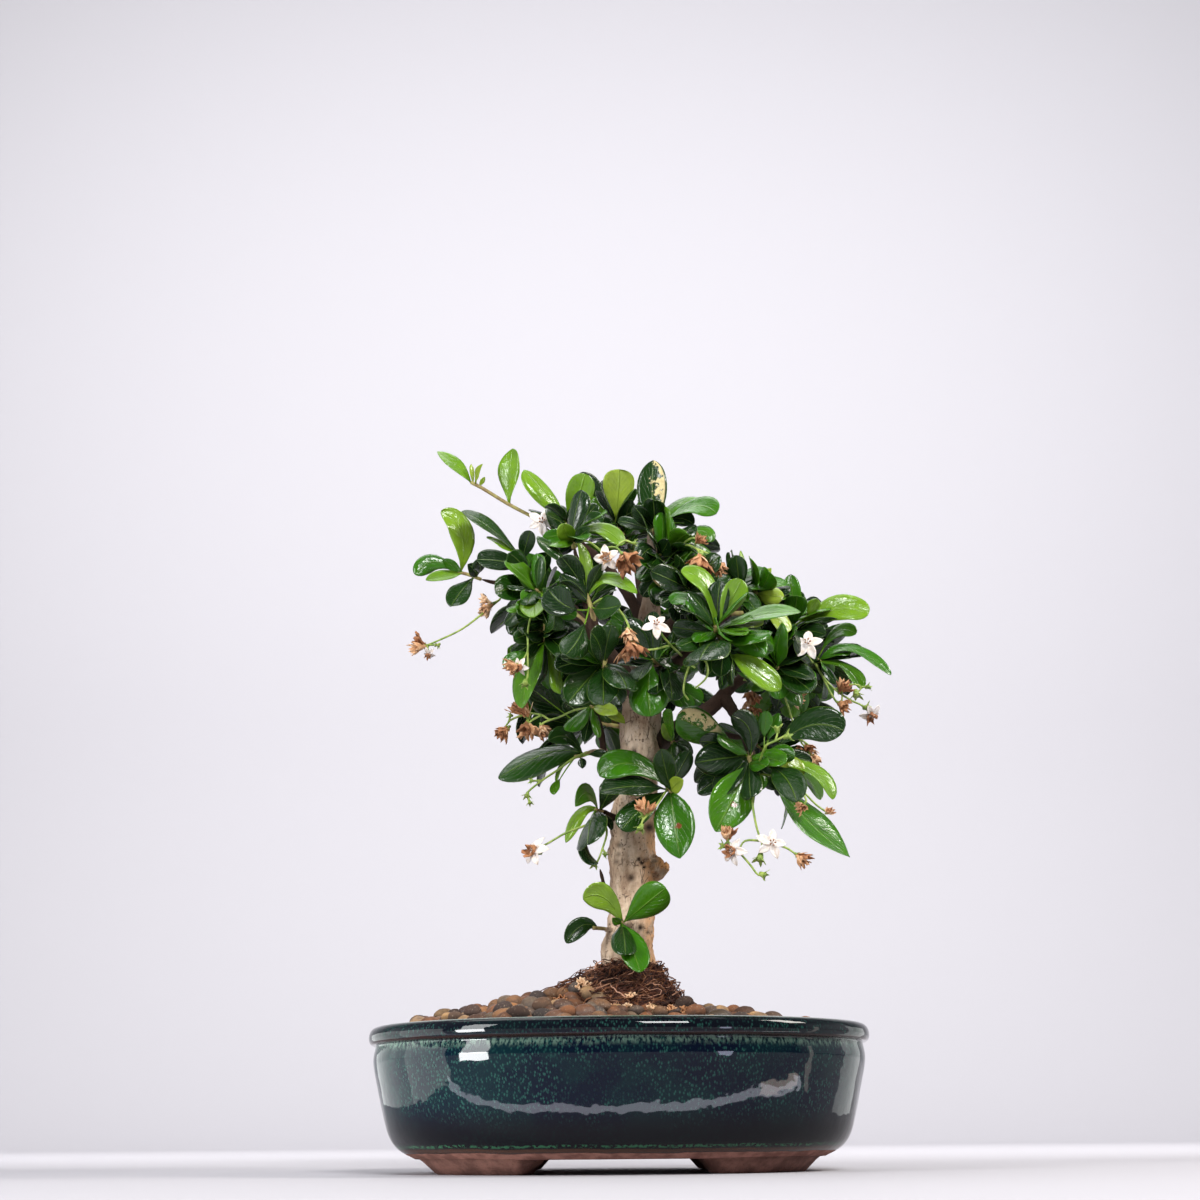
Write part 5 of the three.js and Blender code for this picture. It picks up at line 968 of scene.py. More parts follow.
def add_leaf(piece, leaf, draw, fine=True):
    """A blade with its stalk, and on a fine one the rib that stands out below."""
    add_blade(piece, leaf, FINE_GRID if fine else FILLER_GRID, draw)
    end = RIB_END if fine else leaf.bare
    if end < LEAST_STALK:
        return
    path = []
    steps = RIB_STEPS if fine else FILLER_STEPS
    for step in range(steps + 1):
        place, _, _, raised = leaf.rib(end * step / steps)
        path.append(place - raised * STALK_SUNK)
    mark = (0.5, 0.5, max(leaf.tone, STALK_TONE) / YOUNG, 0.5)
    add_tube(piece, path, lambda share: STALK_THICK * (1 - STALK_TAPER * share), RIB_SIDES, LEAF,
             marks_at=lambda share, turn: mark)


def add_twig(piece, places, radii):
    ends = (radii[0], radii[1] * TWIG_END)
    path = smooth_path(places, STEM_STEPS)
    add_tube(piece, path, lambda share: between(ends, share), TWIG_SIDES, TWIG, rough=TWIG_ROUGH)


# More leaves round the twigs, where the crown's own leaves already show

# They lean back and up, and lie behind the leaves in front for a share of their
# own places. A hole between blades is filled where it isn't wider than the reach.
FILLER_LENGTHS = (13.0, 22.0)
FILLER_WIDER = (0.95, 1.25)
FILLER_POINTED = (0.0, 0.5)
FILLER_TURN = 0.4
FILLER_DARK = 0.6
FILLER_EVERY = 2.1
FILLERS_AT_A_PLACE = 2
FILLER_TOWARD = np.array([0.0, 0.2, 0.15])
FILLER_REACH = 4.5  # a filler's places lie this near to the leaves in front, as they are seen
FILLER_BEHIND = 1.0
FILLER_LEAST_BEHIND = 0.25
FILLER_SHARES = (0.25, 0.5, 0.75, 1.0)
WIDTH_SHARES = (0.25, 0.5, 0.75, 0.9)
HOLE_REACH = 15.0
GROWN_RADIUS = 4.2
CROWN_FOOT = 172.0
CROWN_STEPS = 9
CROWN_ACROSS = (-0.8, 0.0, 0.8)


def crown_samples(leaves):
    """Places spread over the blades, to look up what shows from the front."""
    samples = []
    for leaf in leaves:
        for step in range(1, CROWN_STEPS + 1):
            share = step / CROWN_STEPS
            place, _, side, _ = leaf.blade(share)
            half = blade_width(share, leaf.pointed) * leaf.width / 2
            samples += [place + side * half * out for out in CROWN_ACROSS]
    return samples


def seen_flat(place):
    """A place as it is seen from the front, to look up what is seen near it."""
    front = front_place(place)
    return front[0], front[2], 0


def in_hole(front, near):
    """Whether a place of the front view is in a gap that blades surround."""
    quarters = {(spot[0] > front[0], spot[1] > front[1]) for spot, _, _ in near}
    return len(quarters) == 4 and front[1] > CROWN_FOOT


def stays_behind(leaf, tree, samples):
    """Whether a leaf shows only inside the crown, and mostly behind its blades."""
    hidden = []
    for share, width_share in zip(FILLER_SHARES, WIDTH_SHARES):
        place, _, side, _ = leaf.rib(share)
        half = blade_width(width_share, leaf.pointed) * leaf.width / 2
        for out in (-1.0, 0.0, 1.0):
            spot = place + side * half * out
            front = seen_flat(spot)
            near = tree.find_range(front, FILLER_REACH)
            if not near and not in_hole(front, tree.find_range(front, HOLE_REACH)):
                return False
            hidden.append(any(samples[at][1] < spot[1] - FILLER_BEHIND for _, at, _ in near))
    return sum(hidden) >= FILLER_LEAST_BEHIND * len(hidden)


def filler_leaves(stems, samples, draw):
    """Leaves that spiral round stems, of which those that stay behind are kept."""
    tree = corner_tree([seen_flat(sample) for sample in samples])
    kept = []
    count = 0
    for places, radii in stems:
        for place, radius, forward in along(places, radii, FILLER_EVERY):
            if radius > GROWN_RADIUS or not outside(place):
                continue
            for _ in range(FILLERS_AT_A_PLACE):
                count += 1
                turn = count * GOLDEN_ANGLE + draw.uniform(-FILLER_TURN, FILLER_TURN)
                length = draw.uniform(*FILLER_LENGTHS)
                tone = DARK if draw.random() < FILLER_DARK else MID
                leaf = back_leaf(place, unit(forward + FILLER_TOWARD), turn, length, tone)
                leaf.width *= draw.uniform(*FILLER_WIDER)
                leaf.pointed = draw.uniform(*FILLER_POINTED)
                if stays_behind(leaf, tree, samples):
                    kept.append(leaf)
    return kept


# Flower heads

PETAL_GRID = (7, 6)
PETAL_NARROW = 0.56
PETAL_HALF_THICK = 0.07
PETAL_FOOT = 0.5
PETAL_FALL = 2.1
PETAL_TIP = 0.9
PETAL_END = 0.05
PETAL_CUPPED = 0.3
PETAL_WAVE = 0.12
WAVES_ALONG = 7
WAVES_ACROSS = 5
PETAL_ASTRAY = 0.12
PETAL_LENGTHS = (0.88, 1.08)
PETAL_TWIST = 0.3
DROOP_VARIES = 0.1
STAMEN_RADIUS = 0.14
STAMEN_SIDES = 5
STAMEN_SPREAD = 0.45
STAMENS_TURNED = 0.6
ANTHER_RADIUS = 0.32
ANTHER_SIDES = 6
ANTHER_BACK = 0.35
ANTHER_AHEAD = 0.4
# A calyx, in shares of its radius: how far its foot lies below, the cup's
# radius at its foot and top, and its sepals' length and place on the cup
CALYX_BELOW = 0.9
CUP_RADII = (0.3, 0.55)
CUP_SIDES = 8
CUP_ROUGH = 0.05
SEPAL_LENGTH = 1.3
SEPALS_AT = 0.4
SEPAL_DROOP = -0.15
SEPAL_NARROW = 0.34
SEPAL_FLAT = 0.35
# A withered corolla: its radius at the foot and how much it opens, how far its
# lobes and creases stand out, how deep its end is torn, and its lean
HUSK_SIDES = 15
HUSK_ROWS = 7
HUSK_THICK = 0.22
HUSK_FOOT = 0.3
HUSK_OPENS = 0.75
HUSK_LOBES = 0.3
HUSK_CREASED = 0.5
CREASE_SIZE = 1.7
TORN_LOBES = 0.25
TORN_EDGE = 0.3
TEAR_SIZE = 1.2
HUSK_LEAN = 0.35
NOISE_SPAN = 90
# Heads: how much each kind looks towards the eye
TOWARDS = {STAR: 8, CREAM: 6, HUSK: 3, CUP: 3}
# In shares of a head's radius: the petals' reach, how far behind them the calyx
# lies, the calyx's radius and the stamens' length
PETAL_REACH = 1.05
HEAD_DEPTH = 0.3
CALYX_SHARE = 0.42
CREAM_CALYX = 0.4
STAMEN_LENGTHS = {STAR: 0.42, CREAM: 0.45}
STAR_DROOP = 0.12
CREAM_DROOP = 0.3
CREAM_NARROW = 0.6
CREAM_HUSK = (0.8, 0.4)
# A withered head's three husks: their turns, how far they stand aside, their
# tilt up or down, and their length and radius
WITHERED_TURNS = (0.4, 2.6, 4.7)
WITHERED_ASIDE = (0.2, 0.45)
WITHERED_TILT = (-0.5, 0.2)
WITHERED_LENGTHS = (1.1, 1.5)
WITHERED_RADIUS = 0.5
WITHERED_FOOT = 0.6
HUSK_ASIDE = 0.6
DRY_SEPAL_LENGTH = 1.2
DRY_SEPAL_DROOP = -0.3
DRY_SEPAL_NARROW = 0.3
DRY_SEPAL_FLAT = 0.3
STALK_ENDS = (0.5, 0.38)
STALK_SIDES = 6
STALK_ROUGH = 0.04


def petal_width(share):
    """A petal is broadest in its middle and ends in a blunt point."""
    if share < 0.5:
        return PETAL_FOOT + (1 - PETAL_FOOT) * math.sin(math.pi * share)
    past = (share - 0.5) * 2
    return max(PETAL_END, 1 - past**PETAL_FALL) ** PETAL_TIP


def add_petal(piece, middle, way, axis, length, narrow, droop, twist, kind, mark):
    """One lobe of a corolla, from the middle outwards, that droops towards its tip."""
    rows, columns = PETAL_GRID
    side = unit(np.cross(axis, way))
    upper, lower = [], []
    for i in range(rows + 1):
        share = i / rows
        bow = droop * length * share * share
        half = length * narrow / 2 * petal_width(share)
        for j in range(columns + 1):
            across = 2 * j / columns - 1
            lift = PETAL_CUPPED * half * abs(across) + twist * half * across * share
            lift += PETAL_WAVE * half * math.sin(WAVES_ALONG * share + WAVES_ACROSS * across + length)
            place = middle + way * length * share + side * half * across + axis * (lift - bow)
            upper.append(place + axis * PETAL_HALF_THICK)
            lower.append(place - axis * PETAL_HALF_THICK)
    add_sheet(piece, upper, lower, rows, columns, kind, [mark] * len(upper))


def add_corolla(piece, middle, axis, radius, kind, droop, draw, narrow=PETAL_NARROW, flat=1.0):
    """Five petals round an axis, square to it if they are flat."""
    first, second = around(axis)
    start = draw.uniform(*ANY_TURN)
    for i in range(PETALS):
        turn = start + 2 * math.pi * i / PETALS + draw.uniform(-PETAL_ASTRAY, PETAL_ASTRAY)
        way = circled(first, second, turn)
        length = radius * draw.uniform(*PETAL_LENGTHS)
        mark = (0.5, 0.5, draw.random(), draw.random())
        add_petal(piece, middle, unit(way + axis * (1 - flat)), axis, length, narrow,
                  droop + draw.uniform(-DROOP_VARIES, DROOP_VARIES),
                  draw.uniform(-PETAL_TWIST, PETAL_TWIST), kind, mark)


def add_stamens(piece, middle, axis, length):
    first, second = around(axis)
    for i in range(PETALS):
        out = circled(first, second, 2 * math.pi * i / PETALS + STAMENS_TURNED)
        way = unit(axis + STAMEN_SPREAD * out)
        head = middle + way * length
        add_tube(piece, [middle, head], lambda share: STAMEN_RADIUS, STAMEN_SIDES, PETAL)
        anther = [head - way * ANTHER_BACK, head, head + way * ANTHER_AHEAD]
        add_tube(piece, anther, lambda share: ANTHER_RADIUS, ANTHER_SIDES, WITHERED)


def add_calyx(piece, middle, axis, radius, draw):
    """A green cup of five narrow sepals round the foot of a flower."""
    foot = middle - axis * radius * CALYX_BELOW
    path = [foot, foot + axis * radius * 0.5, foot + axis * radius]
    add_tube(piece, path, lambda share: radius * between(CUP_RADII, share), CUP_SIDES, CALYX,
             rough=CUP_ROUGH)
    add_corolla(piece, foot + axis * radius * SEPALS_AT, axis, radius * SEPAL_LENGTH, CALYX, SEPAL_DROOP,
                draw, narrow=SEPAL_NARROW, flat=SEPAL_FLAT)


def add_husk(piece, foot, axis, length, radius, draw, pale=None):
    """A withered corolla: a crumpled tube that opens into a torn edge."""
    first, second = around(axis)
    start, shift = draw.uniform(*ANY_TURN), draw.uniform(0, NOISE_SPAN)
    lean = (first * draw.uniform(-1, 1) + second * draw.uniform(-1, 1)) * length * HUSK_LEAN
    outer, inner = [], []
    for row in range(HUSK_ROWS + 1):
        share = row / HUSK_ROWS
        opened = HUSK_FOOT + HUSK_OPENS * math.sin(math.pi / 2 * share) ** 2
        for i in range(HUSK_SIDES):
            turn = start + 2 * math.pi * i / HUSK_SIDES
            way = circled(first, second, turn)
            spot = foot + axis * length * share + way * radius
            lobe = math.cos(PETALS * turn)
            creases = HUSK_CREASED * bumps(spot + shift, CREASE_SIZE)
            reach = radius * opened * (1 + HUSK_LOBES * share * lobe + creases)
            torn = length * (TORN_LOBES * lobe + TORN_EDGE * bumps(spot + shift, TEAR_SIZE)) * share**3
            place = foot + axis * (length * share + torn) + way * reach + lean * share * share
            outer.append(place)
            inner.append(place - way * HUSK_THICK)
    count = len(outer)
    faces = ring_faces(HUSK_ROWS + 1, HUSK_SIDES, closed=False)
    faces += [tuple(at + count for at in reversed(face)) for face in faces]
    last = HUSK_ROWS * HUSK_SIDES
    for i in range(HUSK_SIDES):
        after = (i + 1) % HUSK_SIDES
        faces.append((after, i, i + count, after + count))
        faces.append((last + i, last + after, last + after + count, last + i + count))
    tone = draw.random()
    mark = (0.5, 0.5, tone if pale is None else pale, draw.random())
    piece.add(outer + inner, faces, WITHERED, [mark] * (2 * count))


def add_withered(piece, middle, axis, radius, draw):
    """Three crumpled corollas on one calyx."""
    foot = middle - axis * radius * WITHERED_FOOT
    first, second = around(axis)
    for turn in WITHERED_TURNS:
        aside = circled(first, second, turn) * radius * draw.uniform(*WITHERED_ASIDE)
        way = unit(axis + aside / radius + np.array([0.0, 0.0, draw.uniform(*WITHERED_TILT)]))
        length = radius * draw.uniform(*WITHERED_LENGTHS)
        add_husk(piece, foot + aside * HUSK_ASIDE, way, length, radius * WITHERED_RADIUS, draw)
    add_corolla(piece, foot, axis, radius * DRY_SEPAL_LENGTH, WITHERED, DRY_SEPAL_DROOP, draw,
                narrow=DRY_SEPAL_NARROW, flat=DRY_SEPAL_FLAT)
    add_calyx(piece, foot, axis, radius * CALYX_SHARE, draw)


def add_head(piece, row, draw):
    """One flower head, which looks more or less towards the eye."""
    kind, x, y, z, radius, tilt_x, tilt_z = row
    axis = unit(np.array([tilt_x, -TOWARDS[kind], tilt_z], float))
    middle = seen([x, y, z])
    back = middle - axis * radius * HEAD_DEPTH
    if kind == STAR:
        add_corolla(piece, middle, axis, radius * PETAL_REACH, PETAL, STAR_DROOP, draw)
        add_stamens(piece, middle, axis, radius * STAMEN_LENGTHS[kind])
        add_calyx(piece, back, axis, radius * CALYX_SHARE, draw)
    elif kind == CREAM:
        long, wide = CREAM_HUSK
        add_corolla(piece, middle, axis, radius * PETAL_REACH, PETAL, CREAM_DROOP, draw, CREAM_NARROW)
        add_husk(piece, middle - axis * radius * wide, axis, radius * long, radius * wide, draw)
        add_stamens(piece, middle, axis, radius * STAMEN_LENGTHS[kind])
        add_calyx(piece, back, axis, radius * CREAM_CALYX, draw)
    elif kind == HUSK:
        add_withered(piece, middle, axis, radius, draw)
    else:
        add_calyx(piece, middle + axis * radius * HEAD_DEPTH, axis, radius * PETAL_REACH, draw)


def reach_heads(stalks, heads):
    """Stalks that reach into their heads, with necks where heads share one."""
    ends = [places[-1] for places, _ in stalks]
    paths = [list(places) for places, _ in stalks]
    for row in heads:
        place = seen(row[1:4])
        at = int(np.argmin([np.linalg.norm(end - place) for end in ends]))
        if paths[at][-1] is ends[at]:
            paths[at].append(place)
        else:
            paths.append([ends[at], place])
    return paths


def add_bloom(piece, stalks, heads, draw):
    grown = grow_all(tree_axes + twig_axes, stalks, STALK_RADII)
    for path in reach_heads(grown, heads):
        add_tube(piece, smooth_path(path, STEM_STEPS), lambda share: between(STALK_ENDS, share),
                 STALK_SIDES, CALYX, rough=STALK_ROUGH)
    for head in heads:
        add_head(piece, head, draw)


# Trunk and branches

TRUNK_STEPS = 20
TRUNK_SIDES = 96
# Pits in the bark as they are seen from the front: x, z, how wide, how deep
BARK_PITS = [
    [7.7, 167.8, 1.1, 0.9], [10.5, 165.5, 1.0, 0.8], [4.5, 172.0, 0.7, 0.5], [13.5, 163.0, 1.3, 0.9],
    [1.0, 128.8, 1.3, 0.5], [0.6, 125.0, 1.0, 0.4], [-0.4, 122.0, 1.2, 0.4], [5.7, 115.2, 1.6, 0.6],
    [9.2, 123.0, 0.8, 1.0], [10.5, 121.5, 0.8, 1.1], [11.4, 119.6, 0.7, 1.0], [12.0, 122.5, 0.7, 0.9],
    [9.5, 95.0, 1.2, 0.8], [12.5, 93.0, 0.8, 0.6], [-1.5, 150.0, 0.9, 0.6], [14.0, 136.0, 2.2, 0.7],
    [12.5, 150.0, 0.9, 0.6], [3.0, 140.0, 0.8, 0.5], [6.5, 104.0, 0.7, 0.5], [10.5, 108.0, 0.7, 0.5],
]
# Lumps on the bark: how high, how wide, how flat, and their shift
BARK_LUMPS = [[0.9, 7.0, 1.0, 0], [0.22, 1.8, 0.35, 0], [0.4, 2.6, 1.0, 40], [0.3, 1.0, 1.0, 0]]
SMOOTH_RADIUS = 8.0  # a thinner trunk has lower lumps
PIT_DARKER = 1.5
KNOB_LENGTH = 14.0
KNOB_SIDES = 48
KNOB_ROUGH = 0.42
# A knob's marks: how far it is darkened as in a pit, and a little of the dark layer that is painted shade on
# the branches
KNOB_MARKS = (0.1, 0.15)
BRANCH_STEPS = 12
BRANCH_SIDES = 14
BRANCH_ROUGH = 0.12
MOST_ROUGH = 0.35
# A branch's marks: not pitted, and in full painted shade
BRANCH_PITS_AND_PAINTED_SHADE = (0.0, 1.0)
SWELLING = 0.35
SWOLLEN_OVER = 5.0
ROUND_FROM = 0.75
ROUND_END = 1.03  # above 1, a branch ends in a small flat face
# The trunk gets painted shade from this height, growing over this rise up to this share
PAINTED_SHADE_FROM = 172.0
PAINTED_SHADE_OVER = 25.0
MOST_PAINTED_SHADE = 0.7


def pit_depth(front):
    """How deep the bark is pitted at a place of the front view."""
    depth = 0.0
    for x, z, wide, deep in BARK_PITS:
        depth += deep * math.exp(-((math.hypot(front[0] - x, front[2] - z) / wide) ** 2))
    return depth


def add_trunk(piece):
    path = smooth_path([np.append(seen(row[:3]), row[3]) for row in TRUNK], TRUNK_STEPS)
    points, marks = [], []
    for row, (*middle, radius) in enumerate(path):
        for i in range(TRUNK_SIDES):
            out = circled(RIGHT, BEHIND, 2 * math.pi * i / TRUNK_SIDES)
            rough = min(1.0, radius / SMOOTH_RADIUS)
            place = middle + out * (radius + rough * lumps(middle + out * radius, BARK_LUMPS))
            front = front_place(place)
            pit = pit_depth(front) if out[1] < 0 else 0.0
            points.append(place - out * pit)
            # Painted shade on the trunk, which grows with height into the crown
            painted_shade = MOST_PAINTED_SHADE * held((front[2] - PAINTED_SHADE_FROM) / PAINTED_SHADE_OVER)
            marks.append((row / len(path), i / TRUNK_SIDES, min(1.0, PIT_DARKER * pit), painted_shade))
    piece.add(points, ring_faces(len(path), TRUNK_SIDES), BARK, marks)


def add_branch(piece, places, radii):
    """A branch that swells at its root, or a knob, which is short, round and lumpy."""
    path = smooth_path(places, BRANCH_STEPS)
    length = sum(np.linalg.norm(b - a) for a, b in zip(path, path[1:]))
    knob = length < KNOB_LENGTH
    # For a branch, the second mark is painted shade
    pitted, dark = KNOB_MARKS if knob else BRANCH_PITS_AND_PAINTED_SHADE

    def radius_at(share):
        swollen = 1 + SWELLING * math.exp(-share * length / SWOLLEN_OVER)
        past = max(0.0, share - ROUND_FROM) / (1 - ROUND_FROM)
        return between(radii, share) * swollen * math.sqrt(ROUND_END - past * past)

    rough = KNOB_ROUGH * radii[0] if knob else min(MOST_ROUGH, radii[0] * BRANCH_ROUGH)
    add_tube(piece, path, radius_at, KNOB_SIDES if knob else BRANCH_SIDES, BARK, rough,
             lambda share, turn: (share, turn, pitted, dark))


# The pot

POT_SIDES = 224
POT_SQUARENESS = 2.15
POT_NARROWER = 20.0
LEAST_DEPTH = 0.7
# Height and half width of the wall, from the underside over the lip and down
# the inside to the floor. The wall turns sharply at the crease under the lip.
POT_WALL = [
    [5.5, 80.5], [8.6, 86.4], [12, 89.7], [17, 92], [34, 96.1], [40, 97.4], [43.5, 97.7], [48.4, 96.9],
    [49, 98.9], [51.5, 99.7], [54.2, 98.8], [55.5, 96.4], [55.2, 93.6], [53.4, 92.2], [40, 90],
    [20, 86.5], [12.5, 78],
]
CREASE_ROW = 7
WALL_STEPS = 6
WALL_UNEVEN = 0.25
WALL_WAVES = 26.0
FLOOR_TOP = 12.5
DRAIN_X = 42.0
DRAIN_RADIUS = 8.0
DRAIN_SIDES = 48
# A foot's section, as half width, height and whether it rises at the foot's
# ends, and the degrees of the oval that the foot spans with its rise there
FOOT_SECTION = [(81.8, 6.5, 0), (65.5, 6.5, 0), (67.2, 0.8, 1), (67.9, 0, 1), (74.7, 0, 1), (75.6, 0.7, 1)]
FOOT_DEGREES = (15, 20, 62.5, 66.5)
FOOT_RISES = (4.6, 0, 0, 4.6)
FOOT_STEPS = 28


def oval_point(turn, half_width, z):
    """A point of the pot's plan, at a turn and for a half width."""
    half_depth = max(half_width - POT_NARROWER, half_width * LEAST_DEPTH)
    cos, sin = math.cos(turn), math.sin(turn)
    power = 2 / POT_SQUARENESS
    x = math.copysign(abs(cos) ** power, cos) * half_width
    return np.array([x, math.copysign(abs(sin) ** power, sin) * half_depth, z])


def add_pot_wall(piece):
    rows = [np.array([half, 0.0, z]) for z, half in POT_WALL]
    profile = smooth_path(rows[: CREASE_ROW + 1], WALL_STEPS)
    profile += smooth_path(rows[CREASE_ROW:], WALL_STEPS)[1:]
    points = []
    for half, _, z in profile:
        for i in range(POT_SIDES):
            place = oval_point(2 * math.pi * i / POT_SIDES, half, z)
            out = unit(np.array([place[0], place[1], 0.0]))
            points.append(place + out * WALL_UNEVEN * bumps(place, WALL_WAVES))
    piece.add(points, ring_faces(len(profile), POT_SIDES), GLAZE)


def add_foot(piece, sign_x, sign_y):
    """One foot, square to the oval, with rounded ends and edges."""
    points = []
    for step in range(FOOT_STEPS + 1):
        degrees = between((FOOT_DEGREES[0], FOOT_DEGREES[-1]), step / FOOT_STEPS)
        rise = float(np.interp(degrees, FOOT_DEGREES, FOOT_RISES))
        for half, z, rises in FOOT_SECTION:
            place = oval_point(math.radians(degrees), half, z + rises * rise)
            points.append(place * np.array([sign_x, sign_y, 1.0]))
    faces = ring_faces(FOOT_STEPS + 1, len(FOOT_SECTION))
    if sign_x * sign_y > 0:
        faces = [tuple(reversed(face)) for face in faces]
    piece.add(points, faces, CLAY)


def cut_drains(made):
    """The two drain holes, through the floor."""
    for side in (-1, 1):
        bpy.ops.mesh.primitive_cylinder_add(
            vertices=DRAIN_SIDES, radius=DRAIN_RADIUS / MM_PER_METRE,
            depth=2 * FLOOR_TOP / MM_PER_METRE,
            location=scene_place([side * DRAIN_X, 0, FLOOR_TOP]),
        )
        cutter = bpy.context.active_object
        cut = made.modifiers.new("drain", "BOOLEAN")
        cut.operation = "DIFFERENCE"
        cut.object = cutter
        cut.solver = "EXACT"
        shape = bpy.data.meshes.new_from_object(made.evaluated_get(bpy.context.evaluated_depsgraph_get()))
        made.modifiers.clear()
        made.data = shape
        bpy.data.objects.remove(cutter)


# Pebbles

# Height of the soil under the pebbles, at distances out from the middle. It is
# lower on the right and dips in front of the mound.
SOIL_TOP = [[16, 60], [34, 59], [56, 55], [78, 51], [91, 48.5]]
RIGHT_LOWER = 2.5
RIGHT_FROM = 15.0
RIGHT_OVER = 25.0
LEFT_HIGHER = -0.6
FRONT_DIP = 5.0
DIP_FROM = 20.0
DIP_OVER = 8.0
DIP_MIDDLE = 9.0
DIP_WIDE = 20.0
PEBBLE_WALL = 90.0  # half width of the pot inside, at the pebbles
PEBBLE_SPACING = 8.2
PEBBLE_COLUMNS = 14
PEBBLE_ASTRAY = 1.4
PEBBLE_SIZES = (3.7, 5.3)
PEBBLE_RAISED = (0.35, 0.8)  # its middle lies above the soil by a share of its size
PEBBLE_IN_MOUND = 1  # a pebble's middle may lie so far inside the mound's foot
# The pebbles on top: how many carry one, its size, its height as a measure and
# as a share of its size, how far it keeps from the wall, and how far it may lie
# inside the mound's foot, where below zero keeps it clear
TOP_SHARE = 0.42
TOP_SIZES = (2.6, 4.4)
TOP_RAISED = 4.2
TOP_RISE = 0.4
TOP_FROM_WALL = 3.0
TOP_IN_MOUND = -2
MOUND_X = -2.5
MOUND_RADIUS = 27.0
PEBBLE_FINENESS = 3
PEBBLE_WIDER = (0.9, 1.2)
PEBBLE_DEPTH = 0.95
PEBBLE_HEIGHT = 0.84
PEBBLE_TILT = 0.5
PEBBLE_BULGE = 0.16
BULGE_SIZE = 1.1
PEBBLE_GRAIN = 0.04
GRAIN_SIZE = 0.35
WHOLE_TURN = 6.3
# Pebbles get painted shade that deepens towards their undersides, starting this share of their size above
# their middles
PAINTED_SHADE_BELOW = 0.4
# Pebbles on the mound's foot: x, y and z as seen, and size
MOUND_PEBBLES = [
    [-17, -21, 70.5, 3.6], [-22, -19, 68.5, 3.2], [-12, -23, 68.5, 3.8], [-27, -16, 68, 4.2],
    [-8, -25, 66.5, 3.5], [-19, -24, 65.5, 4.4], [-30, -17, 64.5, 4.6], [7, -31, 61.5, 3.2],
    [17, -31, 61, 3.0], [-14, -17, 72.5, 2.6],
]


def soil_height(x, y):
    """The height that a pebble lies on, and how far out it is."""
    across = math.hypot(x / PEBBLE_WALL, y / (PEBBLE_WALL - POT_NARROWER)) * PEBBLE_WALL
    lower = RIGHT_LOWER * held((x - RIGHT_FROM) / RIGHT_OVER, LEFT_HIGHER)
    lower += FRONT_DIP * held((-y - DIP_FROM) / DIP_OVER) * math.exp(-(((x - DIP_MIDDLE) / DIP_WIDE) ** 2))
    return look_up(SOIL_TOP, 0, across, 1) - lower, across


def icosphere(steps):
    """Points and faces of a unit sphere of near even triangles."""
    mesh = bpy.data.meshes.new("sphere")
    maker = bmesh.new()
    bmesh.ops.create_icosphere(maker, subdivisions=steps, radius=1.0)
    maker.to_mesh(mesh)
    maker.free()
    points = np.array([corner.co[:] for corner in mesh.vertices])
    faces = [tuple(face.vertices) for face in mesh.polygons]
    bpy.data.meshes.remove(mesh)
    return points, faces


def add_pebble(piece, middle, size, draw, ball):
    """A water-worn stone: a flattened ball with uneven sides."""
    points, faces = ball
    form = np.array([size * draw.uniform(*PEBBLE_WIDER), size * PEBBLE_DEPTH, size * PEBBLE_HEIGHT])
    turn = Matrix.Rotation(draw.uniform(0, WHOLE_TURN), 3, "Z")
    turn = np.array(turn @ Matrix.Rotation(draw.uniform(-PEBBLE_TILT, PEBBLE_TILT), 3, "X"))
    shift = np.array([draw.uniform(0, NOISE_SPAN) for _ in range(3)])
    tone, rough = draw.random(), draw.random()
    made, marks = [], []
    for point in points:
        bulge = 1 + PEBBLE_BULGE * bumps(point + shift, BULGE_SIZE)
        bulge += PEBBLE_GRAIN * bumps(point + shift, GRAIN_SIZE)
        off = turn @ (point * bulge * form)
        made.append(middle + off)
        # The third mark is painted shade on the pebble's underside
        marks.append((tone, rough, held(PAINTED_SHADE_BELOW - off[2] / size), 0.0))
    piece.add(made, faces, PEBBLES, marks)


def in_mound(x, y, depth):
    """Whether a place lies further inside the mound's foot than a depth."""
    return math.hypot(x - MOUND_X, y) < MOUND_RADIUS - depth


def add_pebbles(piece, draw):
    """A layer of pebbles with more on top of it, and a few on the mound's foot."""
    spots = []
    tall = PEBBLE_SPACING * math.sqrt(0.75)
    rows = math.ceil(PEBBLE_WALL / tall)
    for row in range(-rows, rows + 1):
        for column in range(-PEBBLE_COLUMNS, PEBBLE_COLUMNS + 1):
            x = (column + (row % 2) / 2) * PEBBLE_SPACING + draw.uniform(-PEBBLE_ASTRAY, PEBBLE_ASTRAY)
            y = row * tall + draw.uniform(-PEBBLE_ASTRAY, PEBBLE_ASTRAY)
            height, across = soil_height(x, y)
            size = draw.uniform(*PEBBLE_SIZES)
            if across < PEBBLE_WALL - size and not in_mound(x, y, PEBBLE_IN_MOUND):
                spots.append((np.array([x, y, height + size * draw.uniform(*PEBBLE_RAISED)]), size))
            if draw.random() < TOP_SHARE:
                x += PEBBLE_SPACING / 2
                height, across = soil_height(x, y)
                size = draw.uniform(*TOP_SIZES)
                if across < PEBBLE_WALL - size - TOP_FROM_WALL and not in_mound(x, y, TOP_IN_MOUND):
                    spots.append((np.array([x, y, height + TOP_RAISED + size * TOP_RISE]), size))
    spots += [(seen([x, y, z]), size) for x, y, z, size in MOUND_PEBBLES]
    ball = icosphere(PEBBLE_FINENESS)
    for middle, size in spots:
        add_pebble(piece, middle, size, draw, ball)


# The mound of roots

# The mound's side from its foot up: height, radius and the middle's x
MOUND = [
    [52, 30, -2], [63, 28.5, -2.5], [67.5, 26.5, -2.5], [72, 20.5, 0.5], [76, 15.5, 3], [79.5, 12.8, 4.4],
]
MOUND_SIDES = 150
MOUND_ROWS = 64
